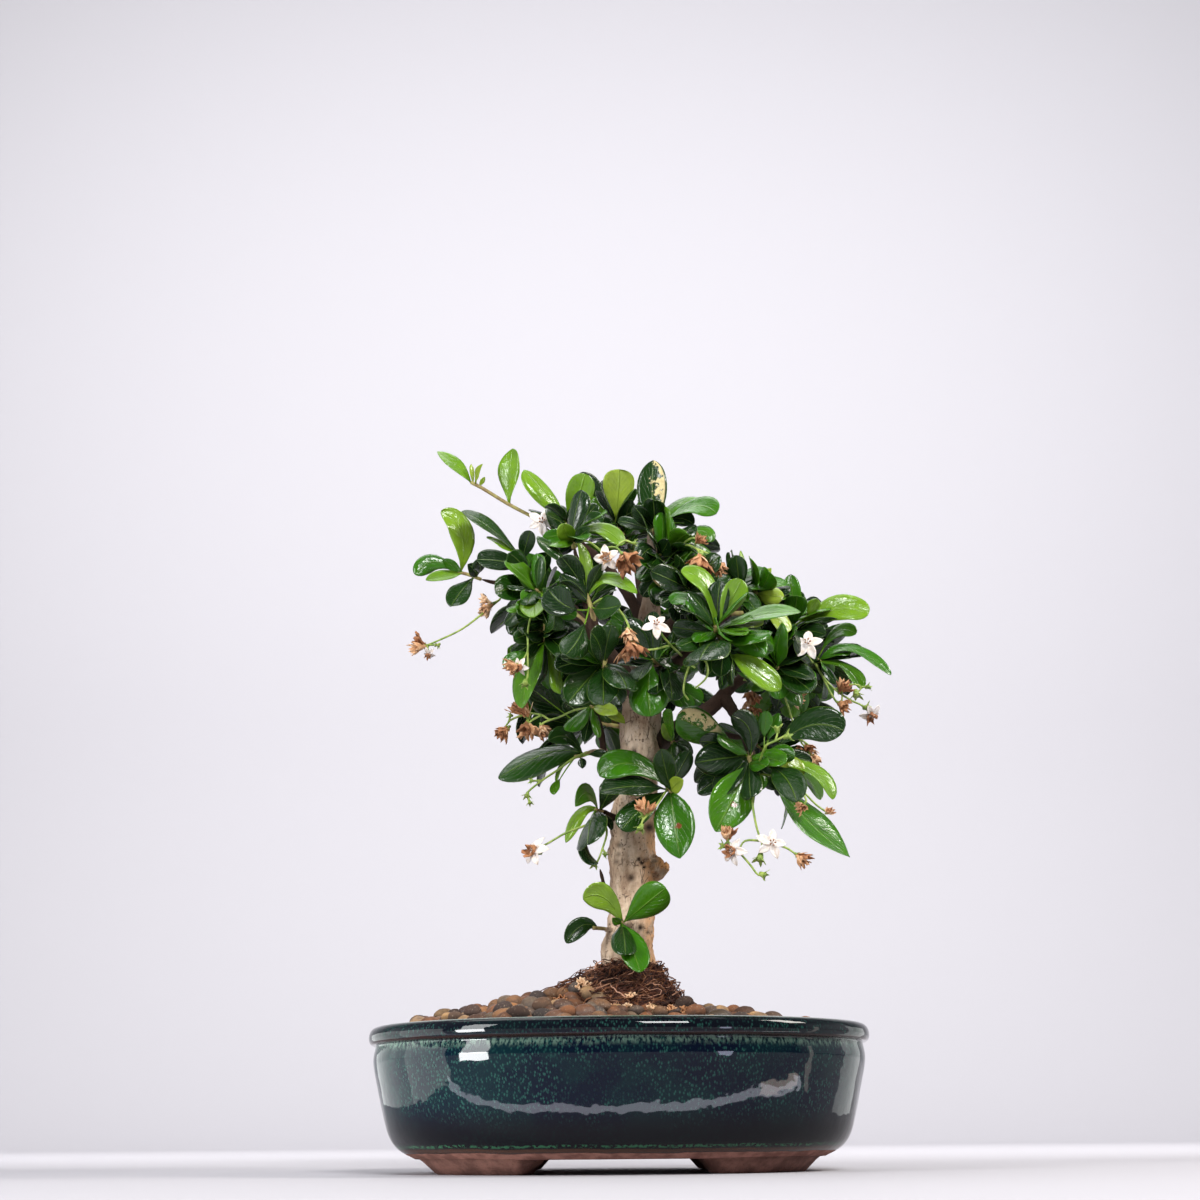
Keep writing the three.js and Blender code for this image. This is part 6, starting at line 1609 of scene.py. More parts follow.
# Lumps on the mound, as those on the bark
MOUND_LUMPS = [[1.8, 6.0, 1.0, 0], [1.6, 2.4, 1.0, 30], [0.9, 1.1, 1.0, 0]]
TOP_SUNK = 0.8
OUT_RISE = 0.6
FIBRES = 900
FIBRE_TURN = 0.1
FIBRE_RISE = 0.055
FIBRE_LOWEST = 0.12
FIBRE_START = (0.2, 1.0)
FIBRE_BEND = 0.7
FIBRE_WANDER = 0.4
FIBRE_LOOPS = [0.3, 0.8, 1.4, 3.2]
FIBRE_STEPS = (6, 11)
FIBRE_THICK = (0.12, 0.34)
FIBRE_TAPER = 0.5
FIBRE_SIDES = 5
FIBRE_LIFT = 0.1
# A fallen flower is a few husks, which point anywhere but back and down
FALLEN_HUSKS = 3
FALLEN_WAYS = ((-1, 1), (-1, 0.2), (-0.2, 1))
FALLEN_LENGTHS = (0.8, 1.2)
FALLEN_RADIUS = 0.6
# Fallen flowers on the mound: x, y and z as seen, size, and how pale they are
FALLEN = [
    [-23.5, -27, 66, 2.2, 0.3], [-14, -22, 72, 2.4, 1.0], [-16, -23, 70, 2.2, 0.9],
    [-12, -22, 70.5, 2.0, 0.8], [5, -28, 67, 1.8, 0.9], [3.4, -31, 62, 2.0, 1.0],
    [12.7, -31, 62, 1.8, 0.9], [21.5, -29, 62, 1.8, 0.7], [-21, -29, 64.5, 1.8, 0.4],
    [-4, -29, 63, 1.4, 0.8], [26, -28, 62, 1.4, 0.5], [-7, -26, 67, 1.5, 0.2],
]


def mound_point(turn, share):
    """A place on the mound's side, from its foot at 0 to its top at 1, and the way out there."""
    at = share * (len(MOUND) - 1)
    z, radius, x = (float(np.interp(at, range(len(MOUND)), column)) for column in zip(*MOUND))
    place = np.array([x + radius * math.cos(turn), radius * math.sin(turn), z])
    out = unit(np.array([math.cos(turn), math.sin(turn), OUT_RISE]))
    return place + out * (lumps(place, MOUND_LUMPS) - TOP_SUNK * share), out


def add_fibre(piece, draw):
    """One root that winds over the mound."""
    turn, share = draw.uniform(0, 2 * math.pi), draw.uniform(*FIBRE_START)
    way, bend = draw.uniform(0, 2 * math.pi), draw.uniform(-FIBRE_BEND, FIBRE_BEND)
    loop = draw.choice(FIBRE_LOOPS)
    steps = draw.randint(*FIBRE_STEPS)
    path = []
    for step in range(steps):
        place, out = mound_point(turn, held(share, FIBRE_LOWEST))
        path.append(place + out * (FIBRE_LIFT + loop * math.sin(math.pi * step / (steps - 1))))
        turn += FIBRE_TURN * math.cos(way)
        share += FIBRE_RISE * math.sin(way)
        way += bend + draw.uniform(-FIBRE_WANDER, FIBRE_WANDER)
    mark = (draw.random(), 0.0, 1.0, 0.0)
    thick = draw.uniform(*FIBRE_THICK)
    add_tube(piece, path, lambda share: thick * (1 - FIBRE_TAPER * share), FIBRE_SIDES, COIR,
             marks_at=lambda share, turn: mark)


def add_mound(piece, draw):
    """The lumpy collar of coir and roots, with the flowers that fell on it."""
    points, marks = [], []
    for row in range(MOUND_ROWS):
        for i in range(MOUND_SIDES):
            place, _ = mound_point(2 * math.pi * i / MOUND_SIDES, row / (MOUND_ROWS - 1))
            points.append(place)
            marks.append((draw.random(), row / MOUND_ROWS, 0.0, 0.0))
    piece.add(points, ring_faces(MOUND_ROWS, MOUND_SIDES), COIR, marks)
    for _ in range(FIBRES):
        add_fibre(piece, draw)
    for x, y, z, size, pale in FALLEN:
        place = seen([x, y, z])
        for _ in range(FALLEN_HUSKS):
            way = unit(np.array([draw.uniform(*ends) for ends in FALLEN_WAYS]))
            length = size * draw.uniform(*FALLEN_LENGTHS)
            add_husk(piece, place, way, length, size * FALLEN_RADIUS, draw, pale)


# How materials are made


def linear(red, green, blue):
    """A colour written as it shows on a screen, from 0 to 255."""
    def one(value):
        value /= 255
        return value / 12.92 if value <= 0.04045 else ((value + 0.055) / 1.055) ** 2.4
    return one(red), one(green), one(blue), 1.0


class Nodes:
    """Small steps that shaders are made of. A value is a number, a colour or another node's."""

    def __init__(self, tree):
        self.tree = tree

    def node(self, kind, **values):
        made = self.tree.nodes.new(kind)
        for name, value in values.items():
            setattr(made, name, value)
        return made

    def feed(self, socket, value):
        if isinstance(value, bpy.types.NodeSocket):
            self.tree.links.new(value, socket)
        else:
            socket.default_value = linear(*value) if isinstance(value, tuple) else value

    def math(self, operation, a, b=0.0):
        made = self.node("ShaderNodeMath", operation=operation)
        self.feed(made.inputs[0], a)
        self.feed(made.inputs[1], b)
        return made.outputs[0]

    def plus(self, a, b):
        return self.math("ADD", a, b)

    def minus(self, a, b):
        return self.math("SUBTRACT", a, b)

    def times(self, first, *others):
        for other in others:
            first = self.math("MULTIPLY", first, other)
        return first

    def ramp(self, value, low, high, low_out=0.0, high_out=1.0):
        """A smooth step from one value to another."""
        made = self.node("ShaderNodeMapRange", interpolation_type="SMOOTHSTEP")
        for name, number in zip(("Value", "From Min", "From Max", "To Min", "To Max"),
                                (value, low, high, low_out, high_out)):
            self.feed(made.inputs[name], number)
        return made.outputs["Result"]

    def fade(self, value, low, high):
        """A smooth step down, from 1 to 0."""
        return self.ramp(value, low, high, 1.0, 0.0)

    def band(self, value, start, full, end, gone):
        """A smooth step up and down again."""
        return self.times(self.ramp(value, start, full), self.fade(value, end, gone))


class Look(Nodes):
    """A procedural material, whose colour is painted in layers."""

    def __init__(self, kind):
        self.material = bpy.data.materials.new(kind.replace(" ", "_") + "_surface")
        self.material.use_nodes = True
        super().__init__(self.material.node_tree)
        self.shader = self.tree.nodes["Principled BSDF"]
        self.place = self.node("ShaderNodeTexCoord").outputs["Object"]
        self.colour = None

    def upright(self, share):
        """Places that make a texture taller, the more so the smaller the share."""
        made = self.node("ShaderNodeMapping")
        made.inputs["Scale"].default_value = (1.0, 1.0, share)
        self.feed(made.inputs["Vector"], self.place)
        return made.outputs["Vector"]

    def noise(self, size, detail=3.0, rough=0.55, place=None):
        """Noise from 0 to 1 with lumps of about that size in millimetres."""
        made = self.node("ShaderNodeTexNoise")
        self.feed(made.inputs["Vector"], place or self.place)
        made.inputs["Scale"].default_value = MM_PER_METRE / size
        made.inputs["Detail"].default_value = detail
        made.inputs["Roughness"].default_value = rough
        return made.outputs["Fac"]

    def patches(self, size, low, high, detail=3.0, rough=0.55, place=None):
        """Soft patches where the noise is high."""
        return self.ramp(self.noise(size, detail, rough, place), low, high)

    def spots(self, size, low, high, place=None, feature="F1"):
        """Spots round the middles of cells, or lines between cells."""
        made = self.node("ShaderNodeTexVoronoi", feature=feature)
        self.feed(made.inputs["Vector"], place or self.place)
        made.inputs["Scale"].default_value = MM_PER_METRE / size
        return self.fade(made.outputs["Distance"], low, high)

    def mix(self, share, a, b):
        made = self.node("ShaderNodeMix", data_type="RGBA")
        self.feed(made.inputs["Factor"], share)
        self.feed(made.inputs[6], a)
        self.feed(made.inputs[7], b)
        return made.outputs[2]

    def paint(self, share, colour):
        """A layer over the colour so far."""
        self.colour = self.mix(share, self.colour, colour)

    def colours(self, value, stops):
        """A colour that runs through stops as the value grows."""
        made = self.node("ShaderNodeValToRGB")
        ramp = made.color_ramp
        while len(ramp.elements) < len(stops):
            ramp.elements.new(0.5)
        for element, (place, colour) in zip(ramp.elements, stops):
            element.position = place
            element.color = linear(*colour)
        self.feed(made.inputs["Fac"], value)
        return made.outputs["Color"]

    def mark(self, index):
        """One of the four marks that each point of a mesh carries."""
        found = self.node("ShaderNodeAttribute", attribute_name="marks")
        if index == 3:
            return found.outputs["Alpha"]
        split = self.node("ShaderNodeSeparateColor")
        self.feed(split.inputs["Color"], found.outputs["Color"])
        return split.outputs[index]

    def axis(self, index):
        """The object's own X, Y or Z in millimetres."""
        split = self.node("ShaderNodeSeparateXYZ")
        self.feed(split.inputs["Vector"], self.place)
        return self.times(split.outputs[index], MM_PER_METRE)

    def bump(self, height, depth, strength):
        made = self.node("ShaderNodeBump")
        made.inputs["Strength"].default_value = strength
        made.inputs["Distance"].default_value = depth / MM_PER_METRE
        self.feed(made.inputs["Height"], height)
        self.feed(self.shader.inputs["Normal"], made.outputs["Normal"])

    def done(self, roughness, **values):
        self.feed(self.shader.inputs["Base Color"], self.colour)
        self.feed(self.shader.inputs["Roughness"], roughness)
        for name, value in values.items():
            self.shader.inputs[name.replace("_", " ")].default_value = value
        return self.material


# Materials of the plant

# Colours from old to young, or from dark to pale, each with its value
LEAF_TONES = [
    (0.0, (17, 40, 12)), (0.13, (30, 66, 10)), (0.34, (50, 104, 8)), (0.62, (98, 138, 22)),
    (1.0, (140, 162, 50)),
]
BARK_TONES = [
    (0.28, (136, 106, 84)), (0.42, (182, 154, 128)), (0.56, (210, 186, 160)), (0.74, (230, 212, 192)),
]
WITHERED_TONES = [
    (0.2, (112, 70, 44)), (0.45, (164, 110, 70)), (0.65, (196, 148, 106)), (0.85, (228, 196, 160)),
]
VEINS = 8.0
PALE_VEINS = 0.1
PALE_RIB = 0.28
PALE_EDGE = 0.25
EATEN_EDGE = (0.66, 0.7)
EATEN_ALONG = (0.2, 0.35)
EATEN_ACROSS = (0.9, 0.96)
SPOT_EDGE = (0.018, 0.024)
SPOT_ALONG = 0.56
SPOT_ACROSS = 0.42
SPOT_ROUNDNESS = 2.2  # a leaf is so many times longer than wide
ORANGE_UP_TO = (120.0, 150.0)
ORANGE_FROM_X = (-2.0, 9.0)


def eaten(look, along_leaf, across):
    """Where a leaf is eaten away to its pale inside, which is painted."""
    edge = look.plus(look.times(look.noise(3.0, 5.0, 0.65), 0.8), look.times(across, 0.4))
    gone = look.times(look.ramp(edge, *EATEN_EDGE), look.ramp(along_leaf, *EATEN_ALONG))
    gone = look.times(gone, look.fade(across, *EATEN_ACROSS))
    look.paint(gone, look.mix(look.noise(1.6, 4.0), (232, 224, 168), (168, 136, 86)))
    return gone


def paint_brown_spot(look, along_leaf, across):
    """A round brown spot beside the middle of a leaf."""
    away = look.math("POWER", look.times(look.minus(along_leaf, SPOT_ALONG), SPOT_ROUNDNESS), 2.0)
    away = look.plus(away, look.math("POWER", look.minus(across, SPOT_ACROSS), 2.0))
    away = look.plus(away, look.times(look.noise(1.2, 4.0), 0.03))
    look.paint(look.fade(away, *SPOT_EDGE), (112, 62, 34))


def leaf_look(kind):
    """Waxy leaves with a pale rib, side veins and thin pale edges. Some are eaten or have a spot."""
    look = Look(kind)
    along_leaf, across, tone, draw = (look.mark(i) for i in range(4))
    out = look.math("ABSOLUTE", look.minus(across, 0.5))
    tone = look.plus(tone, look.times(look.minus(draw, 0.45), 0.18))
    look.colour = look.colours(tone, LEAF_TONES)
    look.paint(look.ramp(look.noise(6.0, 4.0), 0.35, 0.75, 0.0, 0.3), (18, 52, 14))
    slant = look.minus(look.times(along_leaf, VEINS), look.times(out, VEINS))
    ridge = look.math("ABSOLUTE", look.minus(look.math("FRACT", slant), 0.5))
    vein = look.fade(ridge, 0.0, 0.07)
    rib = look.fade(out, 0.0, 0.04)
    pale = look.math("MAXIMUM", look.times(vein, PALE_VEINS), look.times(rib, PALE_RIB))
    pale = look.math("MAXIMUM", pale, look.times(look.ramp(out, 0.475, 0.5), PALE_EDGE))
    look.paint(pale, (128, 160, 60))
    flecks = look.times(look.spots(2.2, 0.05, 0.12), look.patches(9.0, 0.5, 0.62))
    look.paint(look.times(flecks, 0.35), (150, 165, 110))
    look.paint(look.times(look.patches(16.0, 0.74, 0.78, 2.0), 0.6), (112, 84, 42))
    roughness = look.ramp(look.noise(3.0), 0.3, 0.7, 0.1, 0.26)
    if kind == EATEN_LEAF:
        roughness = look.plus(roughness, look.times(eaten(look, along_leaf, across), 0.5))
    if kind == SPOTTED_LEAF:
        paint_brown_spot(look, along_leaf, across)
    look.bump(look.minus(look.times(look.noise(1.8), 0.8), look.plus(look.times(vein, 0.3), rib)), 0.36, 0.8)
    return look.done(roughness, Specular_IOR_Level=0.45)


def twig_look():
    look = Look(TWIG)
    look.colour = look.mix(look.patches(2.0, 0.35, 0.65, 4.0), (124, 102, 64), (148, 140, 78))
    look.bump(look.noise(0.8, 4.0), 0.15, 0.8)
    return look.done(0.7)


def bark_look():
    """Pale grey-beige bark, dark brown in its pits, with brown specks and an orange lower side; branches and
    the upper trunk get painted shade.
    """
    look = Look(BARK)
    tall = look.upright(0.45)
    look.colour = look.colours(look.noise(5.0, 7.0, 0.7, tall), BARK_TONES)
    orange = look.times(look.fade(look.axis(2), *ORANGE_UP_TO), look.ramp(look.axis(0), *ORANGE_FROM_X))
    orange = look.times(look.patches(11.0, 0.32, 0.5, 4.0), orange)
    look.paint(look.times(orange, 0.85), (232, 166, 100))
    look.paint(look.times(look.patches(3.0, 0.56, 0.66, 6.0, 0.7), 0.45), (120, 88, 66))
    specks = look.times(look.spots(1.9, 0.1, 0.26), look.patches(6.0, 0.42, 0.54))
    splits = look.spots(2.6, 0.0, 0.05, look.upright(0.35), "DISTANCE_TO_EDGE")
    splits = look.times(splits, look.patches(4.0, 0.46, 0.58))
    specks = look.math("MAXIMUM", specks, splits)
    look.paint(look.times(specks, 0.75), (72, 48, 36))
    look.paint(look.mark(2), (36, 22, 16))
    # Painted shade: branches and the upper trunk are darkened as if in the crown's shade; the knob gets a
    # little of it as dark mottling
    look.paint(look.mark(3), look.mix(look.noise(2.4, 5.0, 0.7, tall), (28, 18, 13), (72, 50, 37)))
    look.bump(look.plus(look.noise(1.1, 7.0, 0.75), look.times(specks, -0.5)), 0.8, 1.0)
    return look.done(0.9, Specular_IOR_Level=0.3)


def petal_look():
    look = Look(PETAL)
    look.colour = look.mix(look.patches(1.6, 0.35, 0.7, 4.0), (222, 216, 212), (206, 190, 174))
    look.bump(look.noise(0.9, 4.0), 0.1, 0.6)
    return look.done(0.55, Sheen_Weight=0.2)


def withered_look():
    look = Look(WITHERED)
    aged = look.plus(look.times(look.mark(2), 0.5), look.times(look.noise(1.4, 5.0), 0.6))
    look.colour = look.colours(aged, WITHERED_TONES)
    look.bump(look.noise(0.7, 5.0), 0.2, 0.9)
    return look.done(0.8)


def calyx_look():
    look = Look(CALYX)
    look.colour = look.mix(look.patches(2.2, 0.35, 0.65, 4.0), (104, 132, 50), (150, 168, 76))
    look.bump(look.noise(0.6), 0.08, 0.6)
    return look.done(0.55)


# Materials of the pot and the ground

# Heights on the pot between which its finish, and the painted reflection on its lower wall, start or end
BARE_UP_TO = (7.5, 7.9)
BROWN_LINE = (7.6, 8.2, 8.9, 9.5)
GREEN_BEADS = (9.4, 9.9, 10.3, 10.9)
PAINTED_REFLECTION_UP_TO = (14.0, 27.0)
SPECKLES_FROM = (17.0, 26.0)
PALE_RUNS = (44.5, 47.5, 48.0, 48.6)
CREASE = (48.2, 48.8, 49.2, 50.0)
LIP_FROM = (49.0, 51.0)
RIM_FROM = (54.9, 55.45)
# Colours of the ground, each with the value it stands for
PEBBLE_TONES = [
    (0.0, (40, 23, 14)), (0.2, (124, 76, 42)), (0.38, (76, 44, 25)), (0.5, (40, 35, 34)),
    (0.66, (148, 100, 57)), (0.8, (64, 56, 51)), (0.92, (170, 132, 88)), (1.0, (27, 21, 19)),
]
COIR_TONES = [
    (0.0, (32, 14, 9)), (0.35, (68, 31, 17)), (0.65, (98, 54, 31)), (0.85, (142, 93, 58)),
    (1.0, (204, 156, 130)),
]
SOIL_TONES = [(0.3, (32, 22, 16)), (0.55, (66, 46, 32)), (0.75, (104, 78, 54))]


def clay_colour(look):
    colour = look.mix(look.patches(7.0, 0.35, 0.65, 5.0, 0.6), (94, 61, 52), (130, 90, 78))
    return look.mix(look.times(look.spots(2.4, 0.06, 0.16), 0.5), colour, (60, 36, 30))


def clay_look():
    look = Look(CLAY)
    look.colour = clay_colour(look)
    look.bump(look.noise(0.8, 5.0), 0.35, 0.9)
    return look.done(0.88)


def glaze_look():
    """Near black teal glaze with fine green speckles, thin on the lip and bare at the foot, and a painted
    dark reflection on the lower wall.
    """
    look = Look(GLAZE)
    z = look.plus(look.axis(2), look.times(look.minus(look.noise(18.0), 0.5), 1.6))
    look.colour = look.mix(look.patches(22.0, 0.4, 0.6, 4.0), (3, 8, 21), (4, 20, 25))
    # Painted reflection: the lower wall is darkened as if it mirrored something dark in front of the pot
    look.paint(look.ramp(z, *PAINTED_REFLECTION_UP_TO, 0.9, 0.0), (7, 6, 9))
    look.paint(look.ramp(z, *LIP_FROM, 0.0, 0.7), (8, 9, 12))
    grains = look.times(look.spots(1.0, 0.1, 0.5, look.upright(0.6)), look.patches(1.2, 0.28, 0.46, 2.0))
    dense = look.ramp(look.noise(14.0), 0.32, 0.6, 0.2, 1.0)
    dense = look.times(dense, look.ramp(z, *SPECKLES_FROM, 0.12, 1.0))
    look.paint(look.times(grains, dense, 0.66), (30, 66, 58))
    streaks = look.patches(1.1, 0.4, 0.62, 3.0, 0.6, look.upright(0.5))
    look.paint(look.times(look.band(z, *PALE_RUNS), streaks, 0.65), (78, 98, 86))
    look.paint(look.times(look.band(z, *CREASE), 0.95), (26, 12, 9))
    look.paint(look.times(look.ramp(look.axis(2), *RIM_FROM), 0.5), (120, 138, 122))
    beads = look.times(look.band(z, *GREEN_BEADS), look.patches(1.3, 0.44, 0.56, 2.0))
    look.paint(look.times(beads, 0.6), (40, 84, 58))
    look.paint(look.band(z, *BROWN_LINE), (52, 32, 22))
    bare = look.fade(z, *BARE_UP_TO)
    look.paint(bare, clay_colour(look))
    uneven = look.plus(look.times(look.noise(0.7, 4.0), bare), look.times(look.noise(9.0, 2.0), 1.2))
    look.bump(uneven, 0.25, 0.5)
    return look.done(look.ramp(bare, 0.0, 1.0, 0.04, 0.85), Specular_IOR_Level=0.2)


def pebble_look():
    """Each pebble has its own brown, tan or grey, with fine grain, and painted shade on its underside."""
    look = Look(PEBBLES)
    look.colour = look.colours(look.mark(0), PEBBLE_TONES)
    look.paint(look.ramp(look.noise(2.5, 6.0, 0.7), 0.4, 0.7, 0.0, 0.55), (48, 34, 26))
    look.paint(look.ramp(look.noise(0.7), 0.6, 0.72, 0.0, 0.35), (206, 184, 156))
    # Painted shade on the pebbles' undersides
    look.paint(look.times(look.mark(2), 0.95), (22, 13, 9))
    look.bump(look.noise(0.9, 5.0, 0.65), 0.22, 0.8)
    return look.done(look.ramp(look.mark(1), 0.0, 1.0, 0.5, 0.85))


def coir_look():
    look = Look(COIR)
    look.colour = look.colours(look.mark(0), COIR_TONES)
    look.paint(look.ramp(look.noise(3.0, 6.0, 0.7), 0.45, 0.65, 0.0, 0.7), (34, 17, 12))
    look.bump(look.noise(0.8, 6.0, 0.7), 0.6, 1.0)
    return look.done(0.92)


def soil_look():
    look = Look(SOIL)
    look.colour = look.colours(look.noise(3.0, 7.0, 0.7), SOIL_TONES)
    look.bump(look.noise(1.6, 7.0, 0.7), 0.9, 1.0)
    return look.done(0.95)


def screen_look():
    look = Look(SCREEN)
    look.colour = look.mix(look.patches(3.0, 0.4, 0.65, 4.0), (24, 26, 25), (44, 46, 44))
    look.bump(look.noise(0.5), 0.05, 0.7)
    return look.done(0.6)


def floor_look():
    look = Look(FLOOR)
    look.colour = (172, 170, 175)
    return look.done(0.7, Specular_IOR_Level=0.2)


LOOKS = {kind: leaf_look(kind) for kind in (LEAF, EATEN_LEAF, SPOTTED_LEAF)}
LOOKS |= {
    TWIG: twig_look(), BARK: bark_look(), PETAL: petal_look(), WITHERED: withered_look(),
    CALYX: calyx_look(), GLAZE: glaze_look(), CLAY: clay_look(), PEBBLES: pebble_look(),
    COIR: coir_look(), SOIL: soil_look(), SCREEN: screen_look(), FLOOR: floor_look(),
}


# The whole part

# Sprays that stand free, without more leaves round them, and the height from
# which branches carry leaves
OPEN_SPRAYS = (
    "top_left_tip", "left_tip", "left_upper", "low_left_out", "low_left_foot", "low_left_top",
    "trunk_right", "sprout", "sprout_left", "low_right_out", "low_front",
)
LEAFY_FROM = 165.0
GROUND_SEED = 31
CROWN_SEED = 17
BACK_SEED = 5
BLOOM_SEED = 23


def build_pot():
    piece = Piece("pot_body")
    add_pot_wall(piece)
    made = piece.build("pot")
    cut_drains(made)
    feet = Piece("pot_feet")
    for sign_x in (-1, 1):
        for sign_y in (-1, 1):
            add_foot(feet, sign_x, sign_y)
    feet.build()
    return made


def build_ground():
    draw = random.Random(GROUND_SEED)
    pebbles = Piece("pebble_layer")
    add_pebbles(pebbles, draw)
    pebbles.build("pebbles")
    mound = Piece("root_mound_fibres")
    add_mound(mound, draw)
    mound.build("root_mound")


def build_tree():
    tree = Piece("tree")
    add_trunk(tree)
    for places, radii in branches:
        add_branch(tree, places, radii)
    tree.build("trunk")


def build_crown():
    draw = random.Random(CROWN_SEED)
    leaves_of = {key: front_leaves(key, lean, rows) for key, (lean, _, rows) in SPRAYS.items()}
    back_draw = draws_from(BACK_SEED)
    for key in BACK_SPRAYS:
        leaves_of[key] = back_leaves(key, back_draw)
    tell_leaves([leaf for key in SPRAYS for leaf in leaves_of[key]], draw)
    for key, leaves in leaves_of.items():
        piece = Piece("spray_" + key)
        for places, radii in twigs_of[key]:
            add_twig(piece, places, radii)
        for leaf in leaves:
            add_leaf(piece, leaf, draw)
        piece.build("leaves_" + key)
    samples = crown_samples([leaf for leaves in leaves_of.values() for leaf in leaves])
    stems = [(places, radii) for places, radii in branches if places[-1][2] > LEAFY_FROM]
    stems += [twig for key, twigs in twigs_of.items() for twig in twigs if key not in OPEN_SPRAYS]
    piece = Piece("inner_leaves")
    for leaf in filler_leaves(stems, samples, draw):
        add_leaf(piece, leaf, draw, fine=False)
    piece.build()


def build_blooms():
    draw = random.Random(BLOOM_SEED)
    for key, (stalks, heads) in BLOOMS.items():
        piece = Piece("flowers_" + key)
        add_bloom(piece, stalks, heads, draw)
        piece.build("bloom_" + key)


def dress_node(node, kind):
    """A solid of the part that stays, with a better material."""
    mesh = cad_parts[node].data
    mesh.materials.clear()
    mesh.materials.append(LOOKS[kind])


# Floor, light and camera

# The floor and the wall that it bends up into, in metres
FLOOR_FRONT = -2.2
FLOOR_BACK = 1.3
FLOOR_BEND = 0.6
FLOOR_STEPS = 12
FLOOR_HALF_WIDTH = 3.0
WALL_TOP = 3.2
# The room's own light: its least, what its bright part adds, its colour, and the
# ways to look between which it grows bright behind, and dims again higher up
ROOM_DIM = 0.12
ROOM_BRIGHT = 0.75
ROOM_COLOUR = (244, 243, 250)
BRIGHT_BEHIND = (-0.3, -0.1)
BRIGHT_UP_TO = (0.25, 0.6)
BRIGHT_ABOVE = 0.25
NEAREST_SEEN = 0.01
# Soft boxes: name, place, what they are turned to, power, width and height in
# metres, and colour
WHITE = (1.0, 1.0, 1.0)
LIGHTS = [
    ["window", (-1020, -740, 470), (0, 0, 150), 14.0, 0.3, 0.8, (0.98, 0.99, 1.0)],
    ["front", (320, -1150, 950), (0, 0, 150), 20.0, 0.4, 0.35, WHITE],
    ["right", (925, -184, 875), (0, 0, 120), 11.0, 0.25, 0.45, (1.0, 0.95, 0.88)],
    ["top", (-100, 200, 1100), (0, 0, 200), 6.0, 0.8, 0.8, WHITE],
    ["wall", (0, 500, 1350), (0, 1900, 1000), 64.0, 3.0, 1.8, WHITE],
]
# Low lights on the floor that only the pot is lit by, for its glaze to mirror:
# one end and the other, seen with the pot on the left, lowest and highest
# edge, radiance and colour. The first ones make a thin band along the front.
BAND_PLACES = [
    (-151, -86), (-112, -95), (-80, -102), (-36, -111), (0, -115), (50, -114), (94, -106), (153, -73),
]
BAND_LOW = 0.5
BAND_HIGH = 5.0
BAND_RADIANCE = 8.0
BAND_COLOUR = (0.85, 0.86, 1.0)
LOW_PANELS = [
    [(-192, -132), (-159, -169), 5.0, 59.0, 56.0, (0.97, 0.98, 1.0)],
    [(-172, -22), (-150, -92), 1.0, 75.0, 3.6, (0.95, 1.0, 0.97)],
    [(-250, 260), (-172, -22), 1.0, 75.0, 1.6, (0.95, 1.0, 0.97)],
    [(150, -11), (185, 95), 1.0, 75.0, 1.4, (0.95, 1.0, 0.97)],
    [(119, -198), (133, -187), 15.0, 48.0, 14.0, (0.72, 0.74, 1.0)],
    [(148, -66), (150, -60), 4.0, 66.0, 2.5, (1.0, 0.9, 0.8)],
    [(104, -101), (150, -77), 1.0, 6.0, 6.0, (1.0, 0.8, 0.7)],
]


def make_camera():
    data = bpy.data.cameras.new("camera")
    data.lens = LENS
    data.sensor_width = SENSOR
    data.clip_start = NEAREST_SEEN
    camera = bpy.data.objects.new("camera", data)
    camera.location = scene_place(EYE)
    camera.rotation_mode = "QUATERNION"
    upright = Matrix.Rotation(math.pi / 2 + EYE_PITCH, 3, "X")
    camera.rotation_quaternion = (upright @ Matrix.Rotation(EYE_ROLL, 3, "Z")).to_quaternion()
    bpy.context.scene.collection.objects.link(camera)
    bpy.context.scene.camera = camera


def make_world():
    """A room that is dim, with a bright band behind and at both sides."""
    world = bpy.data.worlds.new("studio")
    world.use_nodes = True
    look = Nodes(world.node_tree)
    shade = look.tree.nodes["Background"]
    split = look.node("ShaderNodeSeparateXYZ")
    look.feed(split.inputs["Vector"], look.node("ShaderNodeTexCoord").outputs["Generated"])
    behind = look.ramp(split.outputs["Y"], *BRIGHT_BEHIND)
    level = look.ramp(split.outputs["Z"], *BRIGHT_UP_TO, 1.0, BRIGHT_ABOVE)
    look.feed(shade.inputs["Strength"], look.plus(look.times(behind, level, ROOM_BRIGHT), ROOM_DIM))
    look.feed(shade.inputs["Color"], ROOM_COLOUR)
    bpy.context.scene.world = world
    bpy.context.scene.view_settings.view_transform = "Standard"


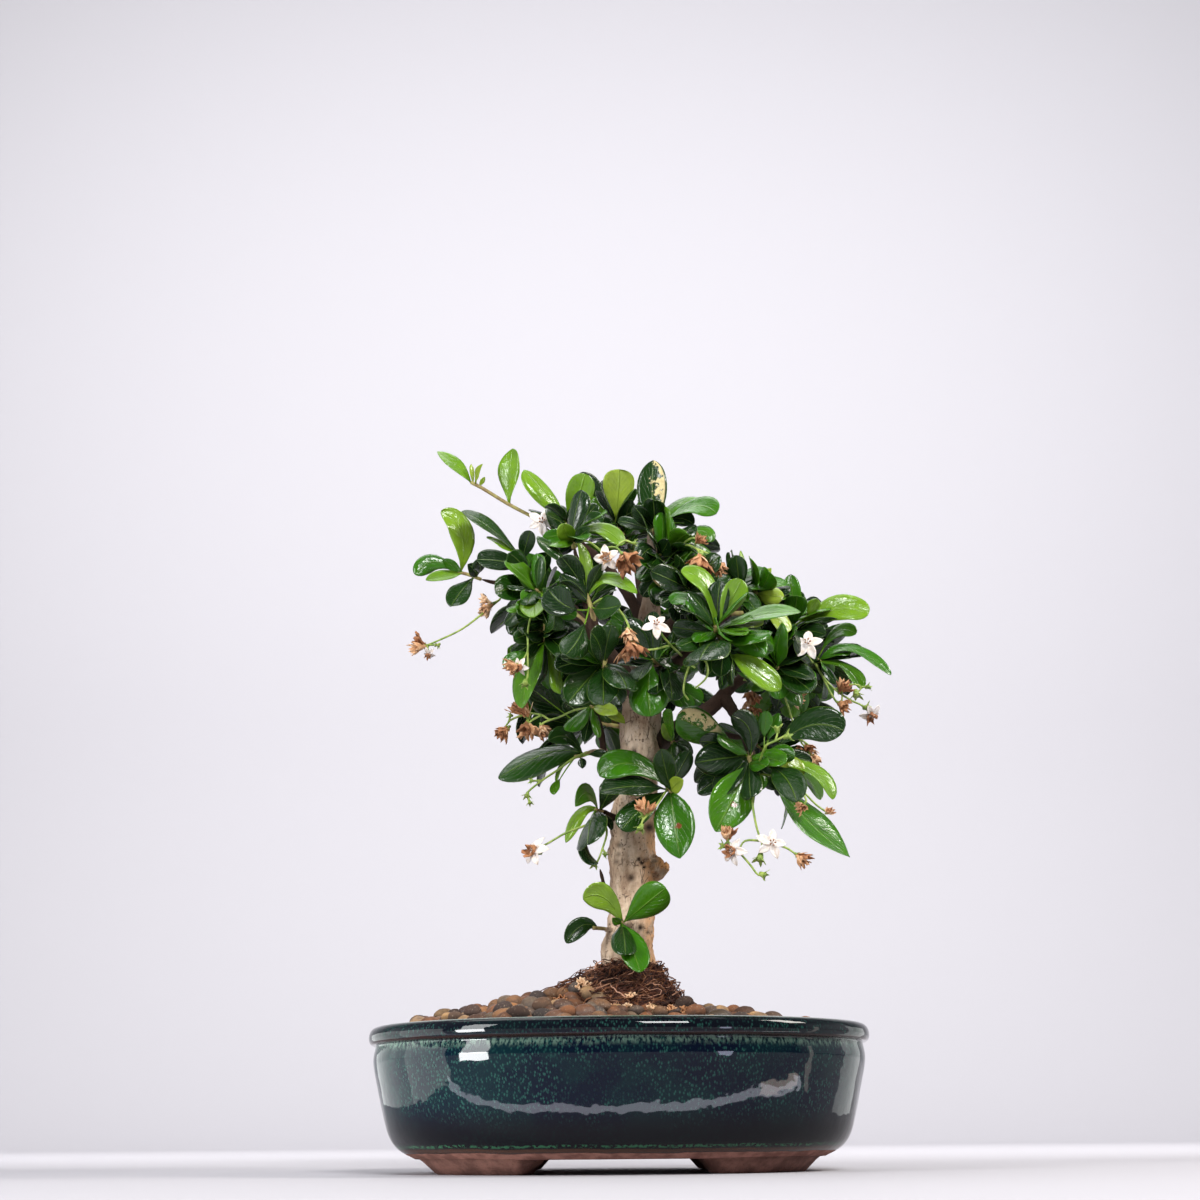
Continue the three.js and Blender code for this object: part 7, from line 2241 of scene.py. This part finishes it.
def make_floor():
    """A pale floor that bends up into a wall behind."""
    outline = [(FLOOR_FRONT, 0.0), (FLOOR_BACK, 0.0)]
    for step in range(1, FLOOR_STEPS + 1):
        turn = math.pi / 2 * step / FLOOR_STEPS
        outline.append((FLOOR_BACK + FLOOR_BEND * math.sin(turn), FLOOR_BEND - FLOOR_BEND * math.cos(turn)))
    outline.append((FLOOR_BACK + FLOOR_BEND, WALL_TOP))
    points = [(x, y, z) for y, z in outline for x in (-FLOOR_HALF_WIDTH, FLOOR_HALF_WIDTH)]
    faces = [(2 * i, 2 * i + 1, 2 * i + 3, 2 * i + 2) for i in range(len(outline) - 1)]
    mesh = bpy.data.meshes.new("floor")
    mesh.from_pydata(points, [], faces)
    mesh.polygons.foreach_set("use_smooth", [True] * len(faces))
    mesh.materials.append(LOOKS[FLOOR])
    floor = bpy.data.objects.new("floor", mesh)
    bpy.context.scene.collection.objects.link(floor)


def area_light(name, place, turn, power, wide, tall, colour):
    """A rectangle of light at a place in millimetres."""
    data = bpy.data.lights.new(name, "AREA")
    data.shape = "RECTANGLE"
    data.size = wide
    data.size_y = tall
    data.energy = power
    data.color = colour
    light = bpy.data.objects.new(name, data)
    light.location = scene_place(place)
    light.rotation_mode = "QUATERNION"
    light.rotation_quaternion = turn
    bpy.context.scene.collection.objects.link(light)
    return light


def add_light(name, place, aim, power, wide, tall, colour):
    """A soft box that is turned to what it lights."""
    turn = (scene_place(aim) - scene_place(place)).to_track_quat("-Z", "Y")
    area_light(name, place, turn, power, wide, tall, colour)


def add_low_light(lit, start, end, low, high, radiance, colour):
    """An upright panel of light whose bright side is on the left of the way from start to end."""
    start, end = np.array([*start, 0.0]), np.array([*end, 0.0])
    ahead = Vector(unit(end - start).tolist())
    up = Vector(UP.tolist())
    turn = Matrix((ahead, up, ahead.cross(up))).transposed().to_quaternion()
    wide = float(np.linalg.norm(end - start)) / MM_PER_METRE
    tall = (high - low) / MM_PER_METRE
    middle = (start + end) / 2 + UP * (low + high) / 2
    light = area_light("low_light", middle, turn, radiance * math.pi * wide * tall, wide, tall, colour)
    light.light_linking.receiver_collection = lit


def add_low_lights(pot):
    lit = bpy.data.collections.new("lit_by_low_lights")
    lit.objects.link(pot)
    for start, end in zip(BAND_PLACES, BAND_PLACES[1:]):
        add_low_light(lit, start, end, BAND_LOW, BAND_HIGH, BAND_RADIANCE, BAND_COLOUR)
    for panel in LOW_PANELS:
        add_low_light(lit, *panel)


make_camera()
make_world()
make_floor()
for light in LIGHTS:
    add_light(*light)
add_low_lights(build_pot())
build_ground()
build_tree()
build_crown()
build_blooms()
dress_node("soil", SOIL)
dress_node("drain_screen_left", SCREEN)
dress_node("drain_screen_right", SCREEN)
